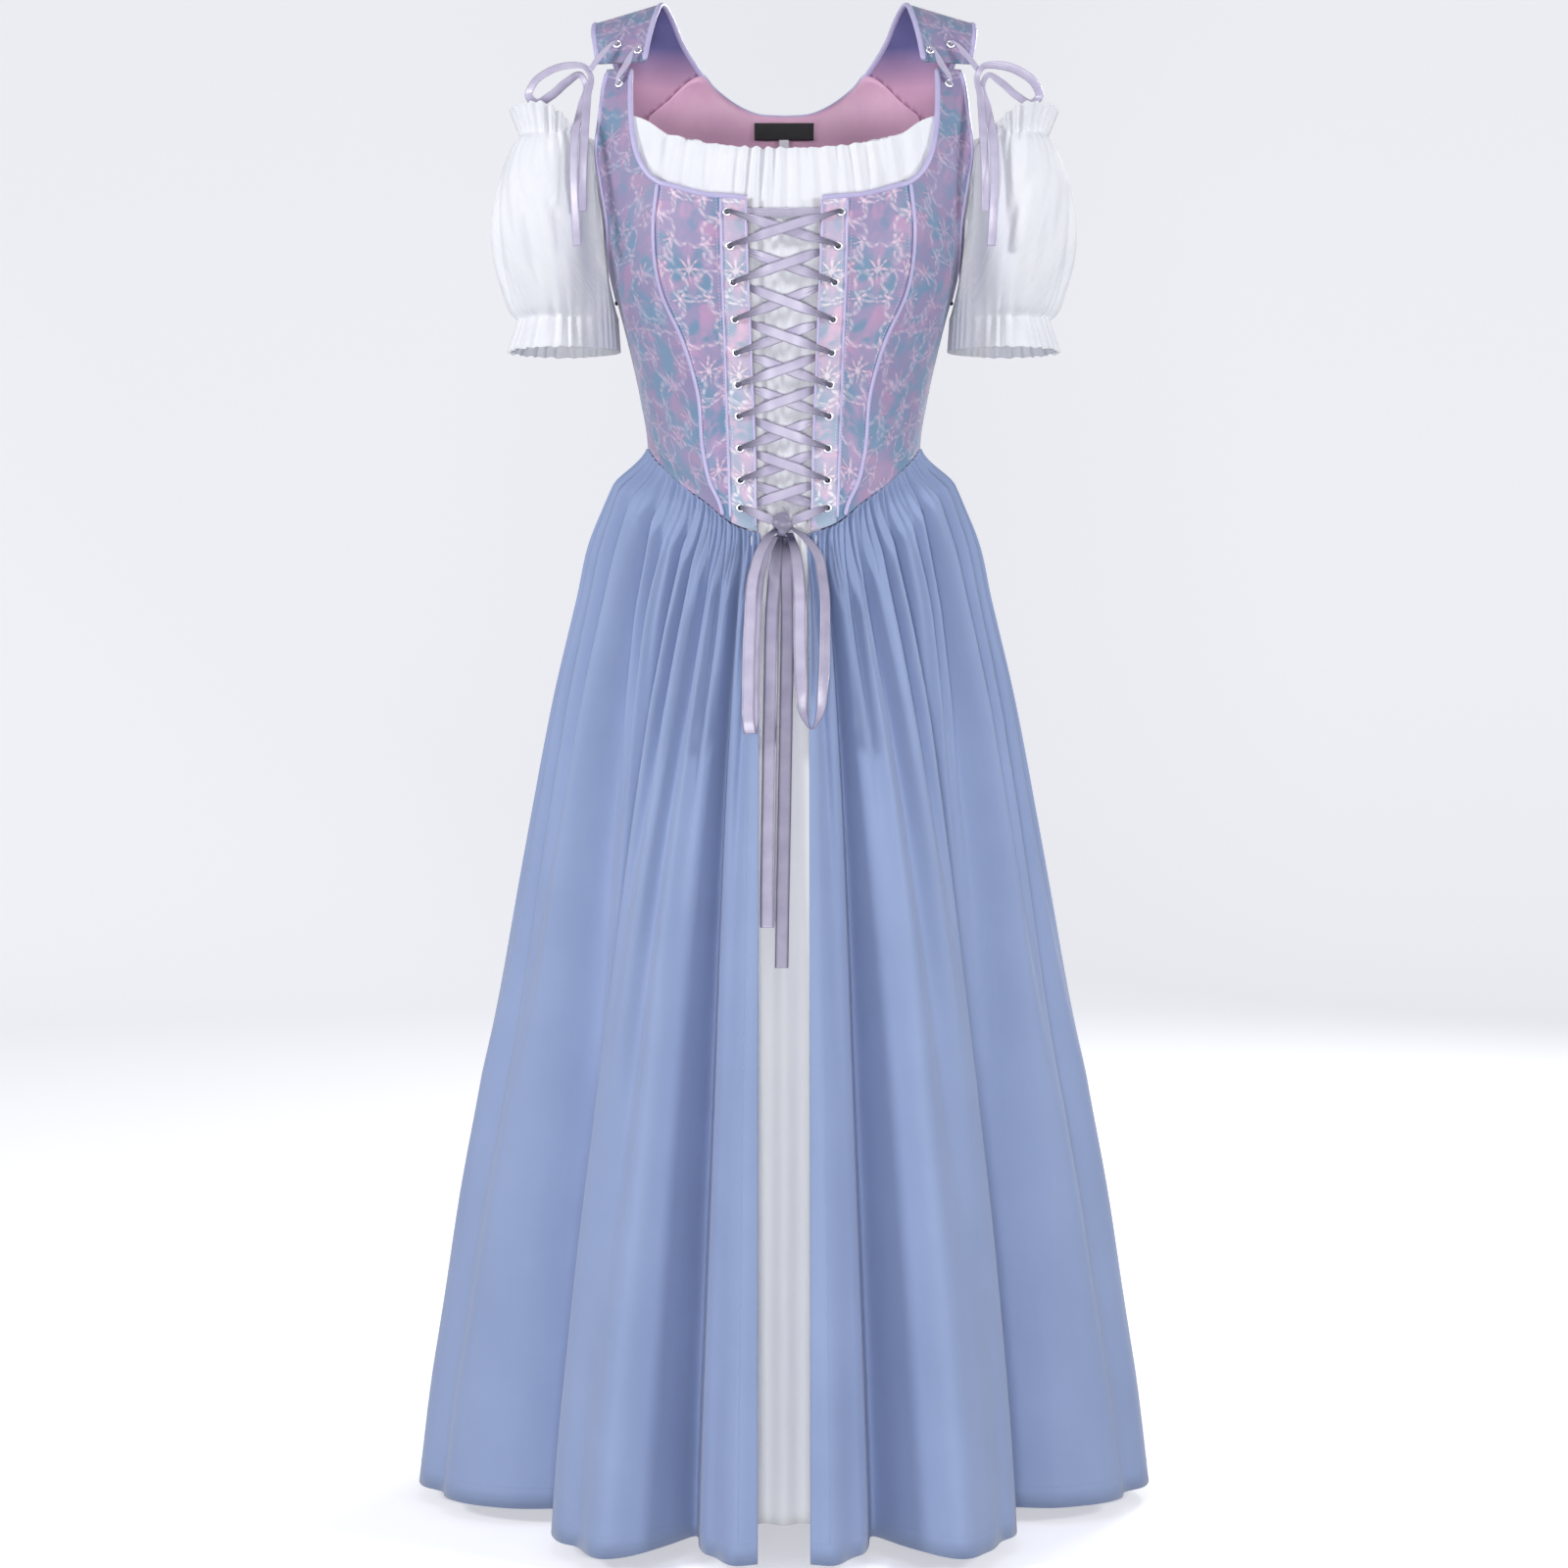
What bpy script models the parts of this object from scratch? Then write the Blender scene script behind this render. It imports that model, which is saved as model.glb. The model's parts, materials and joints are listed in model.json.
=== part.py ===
"""Corset dress, worn shape with nobody in it: a laced bodice with wide shoulder straps over a
gathered blouse front, puff sleeves, an open overskirt and an underskirt panel. Metres, +Z up, the
front towards -Y, the origin midway between the shoulder straps at shoulder height. Left and right
are as seen from the front."""

import bmesh
import bpy
import numpy as np
from mathutils import Matrix, Vector

DRESS = "corset_dress"
CUTTERS = "cutters"

# Walls of cloth, trims and the gaps between pieces
BODICE_WALL = 0.0020
LINING_WALL = 0.0010
LABEL_WALL = 0.0008
BLOUSE_WALL = 0.0012
SLEEVE_WALL = 0.0012
SKIRT_WALL = 0.0014
RIBBON_WALL = 0.0006
TRIM_WALL = 0.0010
HALF_SEAM_GAP = 0.00025
WAIST_GAP = 0.0014
LINING_GAP = 0.0009
TRIM_CLEARANCE = 0.00095
SIDE_GAP_DEGREES = 0.1
WELD = 0.00001
STEP = 0.0001

# Trims
BINDING_WIDTH = 0.0045
PIPING_WIDTH = 0.0030
RIBBON_WIDTH = 0.0105
RIBBON_IN_EYELET = 0.0034
EDGE_INSET = 0.0030
CORNER_CLEARANCE = 0.0020
SIDE_INSET = 0.07
BACK_INSET = 0.04
STRAP_INSET = 0.10
NECK_POINTS = 9
NECK_SIDE_POINTS = 11

# Eyelets: metal rings set over round holes
EYELET_HOLE = 0.0031
EYELET_INNER = 0.0024
EYELET_OUTER = 0.0041
EYELET_HEIGHT = 0.0008
EYELET_SIDES = 8

FULLNESS = 2.25
SIDE = np.radians(90.0)
BACK = np.radians(180.0)


def table(names, *rows):
    """Short table as a dictionary of named columns."""
    return dict(zip(names.split(), np.array(rows, float).T))


# Sections of the dressed figure from the shoulders down to the waist point
FIGURE = table(
    "height half_breadth front_depth back_depth",
    (-0.515, 0.1500, 0.1155, 0.1000),
    (-0.425, 0.1320, 0.1060, 0.0850),
    (-0.380, 0.1390, 0.1120, 0.0880),
    (-0.330, 0.1500, 0.1210, 0.0950),
    (-0.280, 0.1630, 0.1280, 0.1000),
    (-0.250, 0.1710, 0.1300, 0.1020),
    (-0.200, 0.1850, 0.1230, 0.1030),
    (-0.150, 0.1950, 0.1090, 0.1000),
    (-0.100, 0.1990, 0.0880, 0.0920),
    (-0.060, 0.1980, 0.0620, 0.0780),
    (-0.020, 0.1900, 0.0300, 0.0450),
)

# Waist seam, dropping from the sides to a point in front
WAIST_SEAM = table(
    "degrees height",
    (0.0, -0.5147),
    (14.6, -0.5110),
    (24.0, -0.5040),
    (36.0, -0.4846),
    (47.0, -0.4700),
    (65.0, -0.4450),
    (82.0, -0.4275),
    (90.0, -0.4256),
    (135.0, -0.4262),
    (180.0, -0.4280),
)

# Upright seams of the front: distance from the centre line at each height
FRONT_SEAMS = table(
    "height gap_edge placket_seam princess_seam",
    (-0.5150, 0.0240, 0.0490, 0.0550),
    (-0.4880, 0.0250, 0.0500, 0.0590),
    (-0.4650, 0.0254, 0.0508, 0.0690),
    (-0.4390, 0.0258, 0.0516, 0.0750),
    (-0.3810, 0.0279, 0.0535, 0.0805),
    (-0.3340, 0.0298, 0.0549, 0.0940),
    (-0.2850, 0.0317, 0.0566, 0.1150),
    (-0.2300, 0.0336, 0.0580, 0.1220),
    (-0.1832, 0.0345, 0.0590, 0.1180),
)

# Front neckline, from the lacing gap to the corner, then up the strap
NECKLINE = table(
    "across height",
    (0.0300, -0.2010),
    (0.0545, -0.1985),
    (0.0717, -0.1968),
    (0.0900, -0.1920),
    (0.1030, -0.1875),
    (0.1180, -0.1832),
)
NECK_SIDE = table(
    "height across",
    (-0.1832, 0.1180),
    (-0.1770, 0.1247),
    (-0.1680, 0.1315),
    (-0.1590, 0.1361),
    (-0.1365, 0.1420),
    (-0.1090, 0.1443),
    (-0.0670, 0.1450),
)
CORNER_HEIGHT = -0.1832
CORNER_STATION = 7
UNDERARM_STATION = 5

# Edges of the side front piece, from the waist up to the end of the front strap
SIDE_FRONT = table(
    "station inner_height outer_height outer_degrees",
    (0, -0.4990, -0.4256, 90.0),
    (1, -0.4650, -0.4050, 90.0),
    (2, -0.4390, -0.3850, 90.0),
    (3, -0.3810, -0.3450, 90.0),
    (4, -0.3340, -0.3150, 90.0),
    (5, -0.2850, -0.2870, 90.0),
    (6, -0.2350, -0.2500, 80.0),
    (7, -0.1832, -0.2178, 73.5),
    (8, -0.1590, -0.1800, 73.5),
    (9, -0.1365, -0.1500, 75.0),
    (10, -0.1090, -0.1120, 74.5),
    (11, -0.0670, -0.0670, 77.0),
)

# Edges of half the back, from the waist up to the neck and the root of the strap
BACK_EDGES = table(
    "station centre_height side_height side_degrees",
    (0, -0.4280, -0.4256, 90.0),
    (1, -0.3800, -0.3800, 90.0),
    (2, -0.3300, -0.3350, 90.0),
    (3, -0.2850, -0.2870, 90.0),
    (4, -0.2350, -0.2450, 97.0),
    (5, -0.1850, -0.2000, 104.0),
    (6, -0.1450, -0.1600, 110.0),
    (7, -0.1150, -0.1280, 113.5),
    (8, -0.0897, -0.1050, 114.0),
)
BACK_TOP = table(
    "share degrees height",
    (0.0, 180.0, -0.0897),
    (0.2, 162.4, -0.0874),
    (0.35, 150.5, -0.0790),
    (0.5, 138.0, -0.0640),
    (0.6, 130.0, -0.0520),
    (0.8, 121.5, -0.0785),
    (1.0, 114.0, -0.1050),
)
STRAP_ROOT_SHARE = 0.6
BACK_COLUMNS = 20
STRAP_COLUMNS = 4
ROWS_A_STATION = 2
SIDE_COLUMNS = 5
BACK_ROWS = 10
BACK_UNDERARM_ROW = 4
PANEL_FRONT_COLUMNS = 4
PLACKET_COLUMNS = 3
PLACKET_ROWS = 12
STRAP_ROWS = 7

# Back strap over the shoulder, from its root to its laced end in front
STRAP = table(
    "station neck_x neck_y neck_z arm_x arm_y arm_z",
    (1, 0.0985, 0.0470, -0.0275, 0.1640, 0.0440, -0.0560),
    (2, 0.1090, 0.0250, -0.0050, 0.1750, 0.0220, -0.0270),
    (3, 0.1173, 0.0000, 0.0045, 0.1835, 0.0000, -0.0155),
    (4, 0.1225, -0.0230, -0.0100, 0.1850, -0.0170, -0.0260),
    (5, 0.1280, -0.0390, -0.0340, 0.1825, -0.0270, -0.0420),
    (6, 0.1325, -0.0500, -0.0610, 0.1795, -0.0320, -0.0600),
)

# Gathered blouse front inside the bodice
BLOUSE_ROWS = table(
    "station centre_height side_height side_degrees",
    (0, -0.5000, -0.4920, 15.0),
    (1, -0.4250, -0.4150, 22.0),
    (2, -0.3450, -0.3350, 26.0),
    (3, -0.2650, -0.2500, 42.0),
    (4, -0.2000, -0.1780, 64.0),
    (5, -0.1490, -0.1130, 66.0),
)
BLOUSE_TOP = table(
    "degrees height",
    (0.0, -0.1490),
    (18.0, -0.1478),
    (35.0, -0.1433),
    (46.8, -0.1370),
    (54.0, -0.1300),
    (58.3, -0.1220),
    (66.0, -0.1130),
)
BLOUSE_SEWN_STATION = 3
BLOUSE_LEVEL_STATION = 4
BLOUSE_SEWN_SHARE = 0.3
BLOUSE_DEPTH = 0.0086
BLOUSE_WAVE = 0.0011
BLOUSE_COLUMNS = 36
BLOUSE_ROW_COUNT = 6

# Top edge of a puff sleeve round the arm, where it is free of the bodice
SLEEVE_TOP = table(
    "degrees x y z",
    (-20.0, 0.2035, -0.0620, -0.1320),
    (0.0, 0.2220, -0.0650, -0.1310),
    (45.0, 0.2460, -0.0460, -0.1290),
    (90.0, 0.2545, 0.0000, -0.1280),
    (135.0, 0.2460, 0.0470, -0.1270),
    (180.0, 0.2170, 0.0670, -0.1260),
    (198.0, 0.1930, 0.0710, -0.1260),
)
# Stations of the armhole edges that the sleeve is sewn to
SLEEVE_FRONT_SEAM = table(
    "degrees station",
    (-90.0, 5.0),
    (-75.0, 6.2),
    (-60.0, 7.2),
    (-48.0, 8.2),
    (-35.0, 9.2),
)
SLEEVE_BACK_SEAM = table(
    "degrees station",
    (212.0, 6.9),
    (225.0, 5.8),
    (240.0, 4.8),
    (255.0, 3.9),
)
SLEEVE_OFFSET = 0.0044
CUFF_CENTRE = 0.2090
CUFF_HALF_BREADTH = 0.0490
CUFF_HALF_DEPTH = 0.0460
CUFF_HEIGHT = -0.3025
PUFF = 0.0270
HEADER_HEIGHT = 0.0270
HEADER_FLARE = 0.0110
CUFF_RUFFLE_HEIGHT = 0.0310
CUFF_RUFFLE_FLARE = 0.0105
RUFFLE_WAVE = 0.0034
DRAPE_WAVE = 0.0030
DRAPES = 5
DRAPE_SLANT = 2.5
# Shares of the fullness, waves and flares that are left on the armhole side, where the sleeve is sewn
SEWN_WAVE = 0.15
SEWN_FLARE = 0.2
SEWN_HEADER = 0.0015
ELASTIC_WAVE = 0.25
# Half the turn that is free of the bodice, and the turn over which it meets the seam
FREE_HALF_TURN = 80.0
SEWN_TURN = 50.0
OUTER_DEGREES = 90.0
SLEEVE_COLUMNS = 32
SLEEVE_ROWS = 9
RUFFLE_ROWS = 2
SLEEVE_FREE_COLUMNS = 18
SLEEVE_FREE_SPAN = (-35.0, 212.0)

# Sections of the overskirt: the outer reach of its folds
SKIRT = table(
    "height half_breadth front_depth back_depth",
    (-1.417, 0.3520, 0.3280, 0.3260),
    (-1.332, 0.3420, 0.3160, 0.3140),
    (-1.236, 0.3280, 0.3000, 0.2980),
    (-1.142, 0.3140, 0.2830, 0.2810),
    (-1.046, 0.2960, 0.2640, 0.2630),
    (-0.952, 0.2790, 0.2460, 0.2450),
    (-0.856, 0.2620, 0.2270, 0.2260),
    (-0.762, 0.2440, 0.2070, 0.2060),
    (-0.666, 0.2250, 0.1850, 0.1850),
    (-0.572, 0.2020, 0.1600, 0.1610),
    (-0.514, 0.1880, 0.1400, 0.1430),
    (-0.486, 0.1760, 0.1320, 0.1310),
    (-0.457, 0.1630, 0.1250, 0.1190),
    (-0.425, 0.1500, 0.1180, 0.1050),
)
SKIRT_FULLNESS = 2.1
# Large folds at the hem: how far the cloth lies inside that reach
FOLDS = table(
    "degrees depth",
    (0.0, 0.018),
    (4.0, 0.012),
    (8.0, 0.006),
    (13.0, 0.032),
    (19.0, 0.068),
    (23.0, 0.030),
    (27.0, 0.000),
    (33.0, 0.008),
    (42.0, 0.034),
    (48.0, 0.062),
    (55.0, 0.085),
    (62.0, 0.052),
    (72.0, 0.020),
    (86.0, 0.002),
    (97.0, 0.030),
    (108.0, 0.070),
    (118.0, 0.028),
    (128.0, 0.004),
    (138.0, 0.032),
    (148.0, 0.074),
    (157.0, 0.032),
    (166.0, 0.003),
    (173.0, 0.022),
    (180.0, 0.050),
)
SKIRT_TOP = -0.420
HEM = -1.417
FOLD_GROWTH = 1.15
SKIRT_EASE = 0.026
GATHER_DEPTH = 0.0036
GATHER_FADE = 0.280
GATHER_AT_SEAM = 0.4
EASE_AT_SEAM = 0.08
OPENING_HALF = 0.0230
FRONT_COLUMNS = 24
SKIRT_BACK_COLUMNS = 48
SKIRT_ROWS = 9
ROW_GROWTH = 1.6
FRONT_EDGE_DEGREES = 9.0

# Underskirt panel that shows in the opening
PANEL = table(
    "height reach half_breadth",
    (-1.400, 0.2520, 0.0620),
    (-1.200, 0.2380, 0.0600),
    (-1.000, 0.2180, 0.0560),
    (-0.800, 0.1880, 0.0510),
    (-0.640, 0.1520, 0.0440),
    (-0.560, 0.1270, 0.0400),
    (-0.5015, 0.1075, 0.0340),
)
PANEL_FOLDS = 4
PANEL_FOLD_DEPTH = 0.0035
PANEL_COLUMNS = 12
PANEL_ROWS = 7
PANEL_ROW_GROWTH = 1.3

# Eyelets of the front lacing, from the top down
EYELETS = table(
    "height across",
    (-0.2152, 0.0529),
    (-0.2476, 0.0500),
    (-0.2811, 0.0470),
    (-0.3151, 0.0455),
    (-0.3456, 0.0443),
    (-0.3750, 0.0430),
    (-0.4040, 0.0420),
    (-0.4340, 0.0410),
    (-0.4640, 0.0405),
    (-0.4900, 0.0403),
)
# Eyelets of a shoulder: two near the end of the back strap, by their share of its width from the
# armhole, and one in the front strap
STRAP_EYELETS = table("share station", (0.42, 5.15), (0.82, 5.55))
FRONT_STRAP_EYELET = (0.1570, -0.0830)

# Lacing: how far the ribbon stands off the outer face of the bodice
RIBBON_OUTSIDE = 0.0024
RIBBON_OVER_EDGE = 0.0016
RIBBON_INSIDE = -0.0044
RIBBON_UNDER_EDGE = -0.0032
RIBBON_CROSSING = 0.0022
RIBBON_EDGE_SHARE = 0.18
# Bar inside the bodice between the two top eyelets
TOP_BAR_INSET = (0.006, 0.008)
TOP_BAR_POINTS = 7
TOP_BAR_WIDTH = 0.8
# Stretch of one crossing: share of its length, share of the ribbon's width, share of the crossing's lift
CROSSING = table(
    "along width over",
    (0.00, 0.32, 0.0),
    (0.18, 1.00, 0.0),
    (0.32, 1.00, 1.0),
    (0.50, 0.94, 1.0),
    (0.68, 1.00, 1.0),
    (0.82, 1.00, 0.0),
    (1.00, 0.32, 0.0),
)

# Stretch from the last eyelet to the knot
TO_KNOT = table(
    "along width lift",
    (0.00, 0.32, 0.0000),
    (0.25, 0.70, 0.0005),
    (0.55, 0.90, 0.0011),
    (0.80, 0.75, 0.0016),
)

# Bow at the waist point: its knot, two hanging loops and two tails
KNOT = (-0.0015, -0.5030, 0.0068)
KNOT_RADII = (0.0085, 0.0065, 0.0075)
KNOT_SIDES = 10
KNOT_RINGS = 6
KNOT_REACH = 0.030
# The underskirt shows between these distances from the centre line and the skirt's edge
TAIL_INNER = 0.008
TAIL_OUTER = 0.024
LOOP_LEFT = table(
    "across height lift turn width",
    (-0.0058, -0.5088, 0.0070, 20.0, 0.0055),
    (-0.0115, -0.5145, 0.0125, 15.0, 0.0080),
    (-0.0190, -0.5260, 0.0170, 10.0, 0.0095),
    (-0.0270, -0.5500, 0.0170, 0.0, 0.0110),
    (-0.0310, -0.6000, 0.0150, 0.0, 0.0115),
    (-0.0325, -0.6600, 0.0140, 0.0, 0.0115),
    (-0.0320, -0.6900, 0.0150, 0.0, 0.0115),
    (-0.0305, -0.6990, 0.0110, 0.0, 0.0115),
    (-0.0290, -0.6920, 0.0060, 0.0, 0.0115),
    (-0.0280, -0.6600, 0.0050, 0.0, 0.0115),
    (-0.0265, -0.6000, 0.0055, 0.0, 0.0110),
    (-0.0220, -0.5500, 0.0070, 0.0, 0.0105),
    (-0.0150, -0.5300, 0.0075, 0.0, 0.0085),
    (-0.0085, -0.5170, 0.0060, 10.0, 0.0065),
)
LOOP_RIGHT = table(
    "across height lift turn width",
    (0.0050, -0.5140, 0.0085, -10.0, 0.0065),
    (0.0100, -0.5300, 0.0110, 0.0, 0.0090),
    (0.0135, -0.5600, 0.0110, 0.0, 0.0115),
    (0.0145, -0.6200, 0.0090, 0.0, 0.0120),
    (0.0160, -0.6600, 0.0080, 15.0, 0.0115),
    (0.0190, -0.6850, 0.0080, 60.0, 0.0110),
    (0.0250, -0.6950, 0.0085, 90.0, 0.0110),
    (0.0310, -0.6850, 0.0085, 120.0, 0.0110),
    (0.0350, -0.6600, 0.0080, 155.0, 0.0105),
    (0.0370, -0.6100, 0.0080, 165.0, 0.0100),
    (0.0360, -0.5600, 0.0100, 170.0, 0.0095),
    (0.0300, -0.5320, 0.0120, 180.0, 0.0090),
    (0.0190, -0.5180, 0.0130, 185.0, 0.0080),
    (0.0042, -0.5072, 0.0062, 190.0, 0.0050),
)
TAIL_SHORT = table(
    "across height lift turn width",
    (-0.0040, -0.5160, 0.0050, 0.0, 0.0070),
    (-0.0070, -0.5350, 0.0070, 0.0, 0.0100),
    (-0.0105, -0.5800, 0.0080, 0.0, 0.0120),
    (-0.0125, -0.6600, 0.0070, 0.0, 0.0125),
    (-0.0140, -0.7600, 0.0060, 0.0, 0.0125),
    (-0.0150, -0.8300, 0.0055, 0.0, 0.0125),
    (-0.0152, -0.8730, 0.0050, 0.0, 0.0125),
)
TAIL_LONG = table(
    "across height lift turn width",
    (0.0010, -0.5170, 0.0045, 0.0, 0.0065),
    (0.0020, -0.5400, 0.0050, 0.0, 0.0100),
    (0.0030, -0.5900, 0.0040, 0.0, 0.0120),
    (0.0020, -0.6700, 0.0035, 0.0, 0.0120),
    (0.0005, -0.7600, 0.0030, 0.0, 0.0120),
    (-0.0010, -0.8400, 0.0028, 0.0, 0.0120),
    (-0.0022, -0.9100, 0.0028, 0.0, 0.0120),
)

# Ribbon that laces a shoulder: how far it stands off, and where it leaves the bow
SHOULDER_OUTSIDE = 0.0034
SHOULDER_SWELL = 1.6
SHOULDER_RIBBON = 0.0060
SHOULDER_SPAN_RIBBON = 0.0070
SHOULDER_KNOT = (0.1853, -0.0446, -0.0686)

# Bow at each shoulder: tail, loop and second tail of one ribbon
SHOULDER_BOW = table(
    "x y z turn width",
    (0.1905, -0.0740, -0.2080, 70.0, 0.0080),
    (0.1900, -0.0775, -0.1700, 70.0, 0.0085),
    (0.1885, -0.0700, -0.1300, 75.0, 0.0085),
    (0.1870, -0.0560, -0.0950, 75.0, 0.0080),
    (0.1855, -0.0450, -0.0720, 80.0, 0.0060),
    (0.1900, -0.0440, -0.0655, 85.0, 0.0060),
    (0.2050, -0.0450, -0.0640, 90.0, 0.0080),
    (0.2250, -0.0450, -0.0700, 90.0, 0.0085),
    (0.2400, -0.0440, -0.0820, 90.0, 0.0085),
    (0.2440, -0.0420, -0.0930, 90.0, 0.0085),
    (0.2380, -0.0400, -0.0990, 90.0, 0.0085),
    (0.2230, -0.0390, -0.0920, 90.0, 0.0085),
    (0.2080, -0.0380, -0.0790, 90.0, 0.0080),
    (0.1950, -0.0385, -0.0720, 85.0, 0.0060),
    (0.1905, -0.0400, -0.0790, 80.0, 0.0060),
    (0.1935, -0.0520, -0.1050, 70.0, 0.0080),
    (0.1975, -0.0720, -0.1350, 60.0, 0.0085),
    (0.1985, -0.0830, -0.1750, 60.0, 0.0085),
    (0.1965, -0.0870, -0.2150, 60.0, 0.0085),
    (0.1950, -0.0850, -0.2420, 60.0, 0.0085),
)

LINING_BOTTOM = 0.4
LABEL_HALF_BREADTH = 0.0290
LABEL_SPAN = (-0.1120, -0.0950)
LABEL_COLUMNS = 4
LABEL_DEPTH = 0.00516
LINING_ROWS = 3
HOLE_SIDES = 8
HOLE_DEPTH = 0.012

BROCADE = ("7E93B8", 0.45, 0.0)
SATIN = ("B4A9D0", 0.35, 0.0)
RIBBON = ("C9C0DC", 0.40, 0.0)
WHITE_CLOTH = ("ECEEF2", 0.80, 0.0)
SKIRT_CLOTH = ("93A2CC", 0.70, 0.0)
LINING_CLOTH = ("D9A9C6", 0.55, 0.0)
LABEL_CLOTH = ("141416", 0.60, 0.0)
EYELET_METAL = ("C8CACE", 0.25, 1.0)


def mix(a, b, share):
    return a + (b - a) * share


def ease(share):
    """0 to 1 with soft ends."""
    share = np.clip(share, 0.0, 1.0)
    return share * share * (3 - 2 * share)


def unit(vectors):
    return vectors / np.linalg.norm(vectors, axis=-1, keepdims=True)


def smooth(rows, key, name, at):
    """A column's value where the key column has the value at, on a smooth curve through the rows."""
    places, values = rows[key], rows[name]
    slopes = np.gradient(values, places)
    at = np.clip(at, places[0], places[-1])
    index = np.clip(np.searchsorted(places, at) - 1, 0, len(places) - 2)
    span = places[index + 1] - places[index]
    t = (at - places[index]) / span
    return (
        (2 * t**3 - 3 * t**2 + 1) * values[index]
        + (t**3 - 2 * t**2 + t) * span * slopes[index]
        + (3 * t**2 - 2 * t**3) * values[index + 1]
        + (t**3 - t**2) * span * slopes[index + 1]
    )


def section(angle, half_breadth, front_depth, back_depth, fullness):
    """Distance from the axis to a rounded oblong, in a direction measured from the front towards +X."""
    depth = np.where(np.cos(angle) > 0, front_depth, back_depth)
    sideways = np.abs(np.sin(angle) / half_breadth) ** fullness
    lengthways = np.abs(np.cos(angle) / depth) ** fullness
    return (sideways + lengthways) ** (-1 / fullness)


def around(angle, radius, height):
    return np.stack(np.broadcast_arrays(radius * np.sin(angle), -radius * np.cos(angle), height), -1)


def figure_radius(angle, height):
    return section(
        angle,
        smooth(FIGURE, "height", "half_breadth", height),
        smooth(FIGURE, "height", "front_depth", height),
        smooth(FIGURE, "height", "back_depth", height),
        FULLNESS,
    )


def figure(angle, height, lift=0.0):
    """Point of the bodice's outer face, moved out by lift."""
    angle, height = np.broadcast_arrays(np.asarray(angle, float), np.asarray(height, float))

    def surface(angle, height):
        return around(angle, figure_radius(angle, height), height)

    sideways = surface(angle + STEP, height) - surface(angle - STEP, height)
    upwards = surface(angle, height + STEP) - surface(angle, height - STEP)
    normal = unit(np.cross(sideways, upwards))
    return surface(angle, height) + np.asarray(lift)[..., None] * normal


def front_angle(across, height):
    """Angle of the point of the front at a distance from the centre line."""
    half = smooth(FIGURE, "height", "half_breadth", height)
    depth = smooth(FIGURE, "height", "front_depth", height)
    share = np.clip(np.abs(across) / half, 0, 0.999)
    return np.arctan2(across, depth * (1 - share**FULLNESS) ** (1 / FULLNESS))


def from_front(angle):
    """The angle in degrees, the same on both sides of the front."""
    return np.abs(np.degrees(angle + np.pi) % 360 - 180)


def waist_height(angle):
    return smooth(WAIST_SEAM, "degrees", "height", from_front(angle))


def front_strip(u, v, inner, outer, lift=0.0):
    """Piece of the front between two seams, from the waist (v = 0) to the neckline (v = 1)."""

    def across_at(height):
        low = smooth(FRONT_SEAMS, "height", inner, height) + HALF_SEAM_GAP
        high = smooth(FRONT_SEAMS, "height", outer, height) - HALF_SEAM_GAP
        return mix(low, high, u)

    waist_guess = SIDE_FRONT["inner_height"][0]
    bottom = waist_height(front_angle(across_at(waist_guess), waist_guess))
    top = smooth(NECKLINE, "across", "height", across_at(CORNER_HEIGHT))
    seam_height = smooth(SIDE_FRONT, "station", "inner_height", v * CORNER_STATION)
    seam_share = (seam_height - waist_guess) / (CORNER_HEIGHT - waist_guess)
    beside_seam = u if outer == "princess_seam" else 0.0
    height = mix(bottom, top, mix(v, seam_share, beside_seam))
    return figure(front_angle(across_at(height), height), height, lift)


def side_rows():
    return int(SIDE_FRONT["station"][-1]) * ROWS_A_STATION


def side_front_inner(height):
    """Distance from the centre line to the princess seam and, above it, to the neck edge of the strap."""
    seam = smooth(FRONT_SEAMS, "height", "princess_seam", height)
    neck = smooth(NECK_SIDE, "height", "across", height)
    return np.where(height < CORNER_HEIGHT, seam, neck)


def side_front(u, v, lift=0.0):
    """Side front with its strap: princess seam and neck edge at u = 0, side seam and armhole at u = 1."""
    station = v * SIDE_FRONT["station"][-1]
    inner_height = smooth(SIDE_FRONT, "station", "inner_height", station)
    outer_height = smooth(SIDE_FRONT, "station", "outer_height", station)
    outer_degrees = np.minimum(smooth(SIDE_FRONT, "station", "outer_degrees", station), np.degrees(SIDE))
    outer_angle = np.radians(outer_degrees - SIDE_GAP_DEGREES)
    inner_angle = front_angle(side_front_inner(inner_height) + HALF_SEAM_GAP, inner_height)
    angle = mix(inner_angle, outer_angle, u)
    height = mix(inner_height, outer_height, u)
    low_inner, low_outer = SIDE_FRONT["inner_height"][0], SIDE_FRONT["outer_height"][0]
    waist_angle = mix(front_angle(side_front_inner(low_inner), low_inner), SIDE, u)
    height = height + (1 - ease(station)) * (waist_height(waist_angle) - mix(low_inner, low_outer, u))
    return figure(angle, height, lift)


def back_half(share, v, lift=0.0):
    """Half of the back: the centre at share 0, the side seam and armhole at share 1."""
    station = v * BACK_EDGES["station"][-1]
    centre_height = smooth(BACK_EDGES, "station", "centre_height", station)
    side_height = smooth(BACK_EDGES, "station", "side_height", station)
    side_angle = np.maximum(smooth(BACK_EDGES, "station", "side_degrees", station), np.degrees(SIDE))
    side_angle = side_angle + SIDE_GAP_DEGREES
    top_height = smooth(BACK_TOP, "share", "height", share)
    top_angle = smooth(BACK_TOP, "share", "degrees", share)
    level_top = mix(BACK_EDGES["centre_height"][-1], BACK_EDGES["side_height"][-1], share)
    level_angle = mix(np.degrees(BACK), BACK_EDGES["side_degrees"][-1], share)
    angle = np.radians(mix(np.degrees(BACK), side_angle, share) + v * (top_angle - level_angle))
    height = mix(centre_height, side_height, share) + v**2 * (top_height - level_top)
    height = mix(height, waist_height(angle), 1 - ease(station))
    return figure(angle, height, lift)


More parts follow.
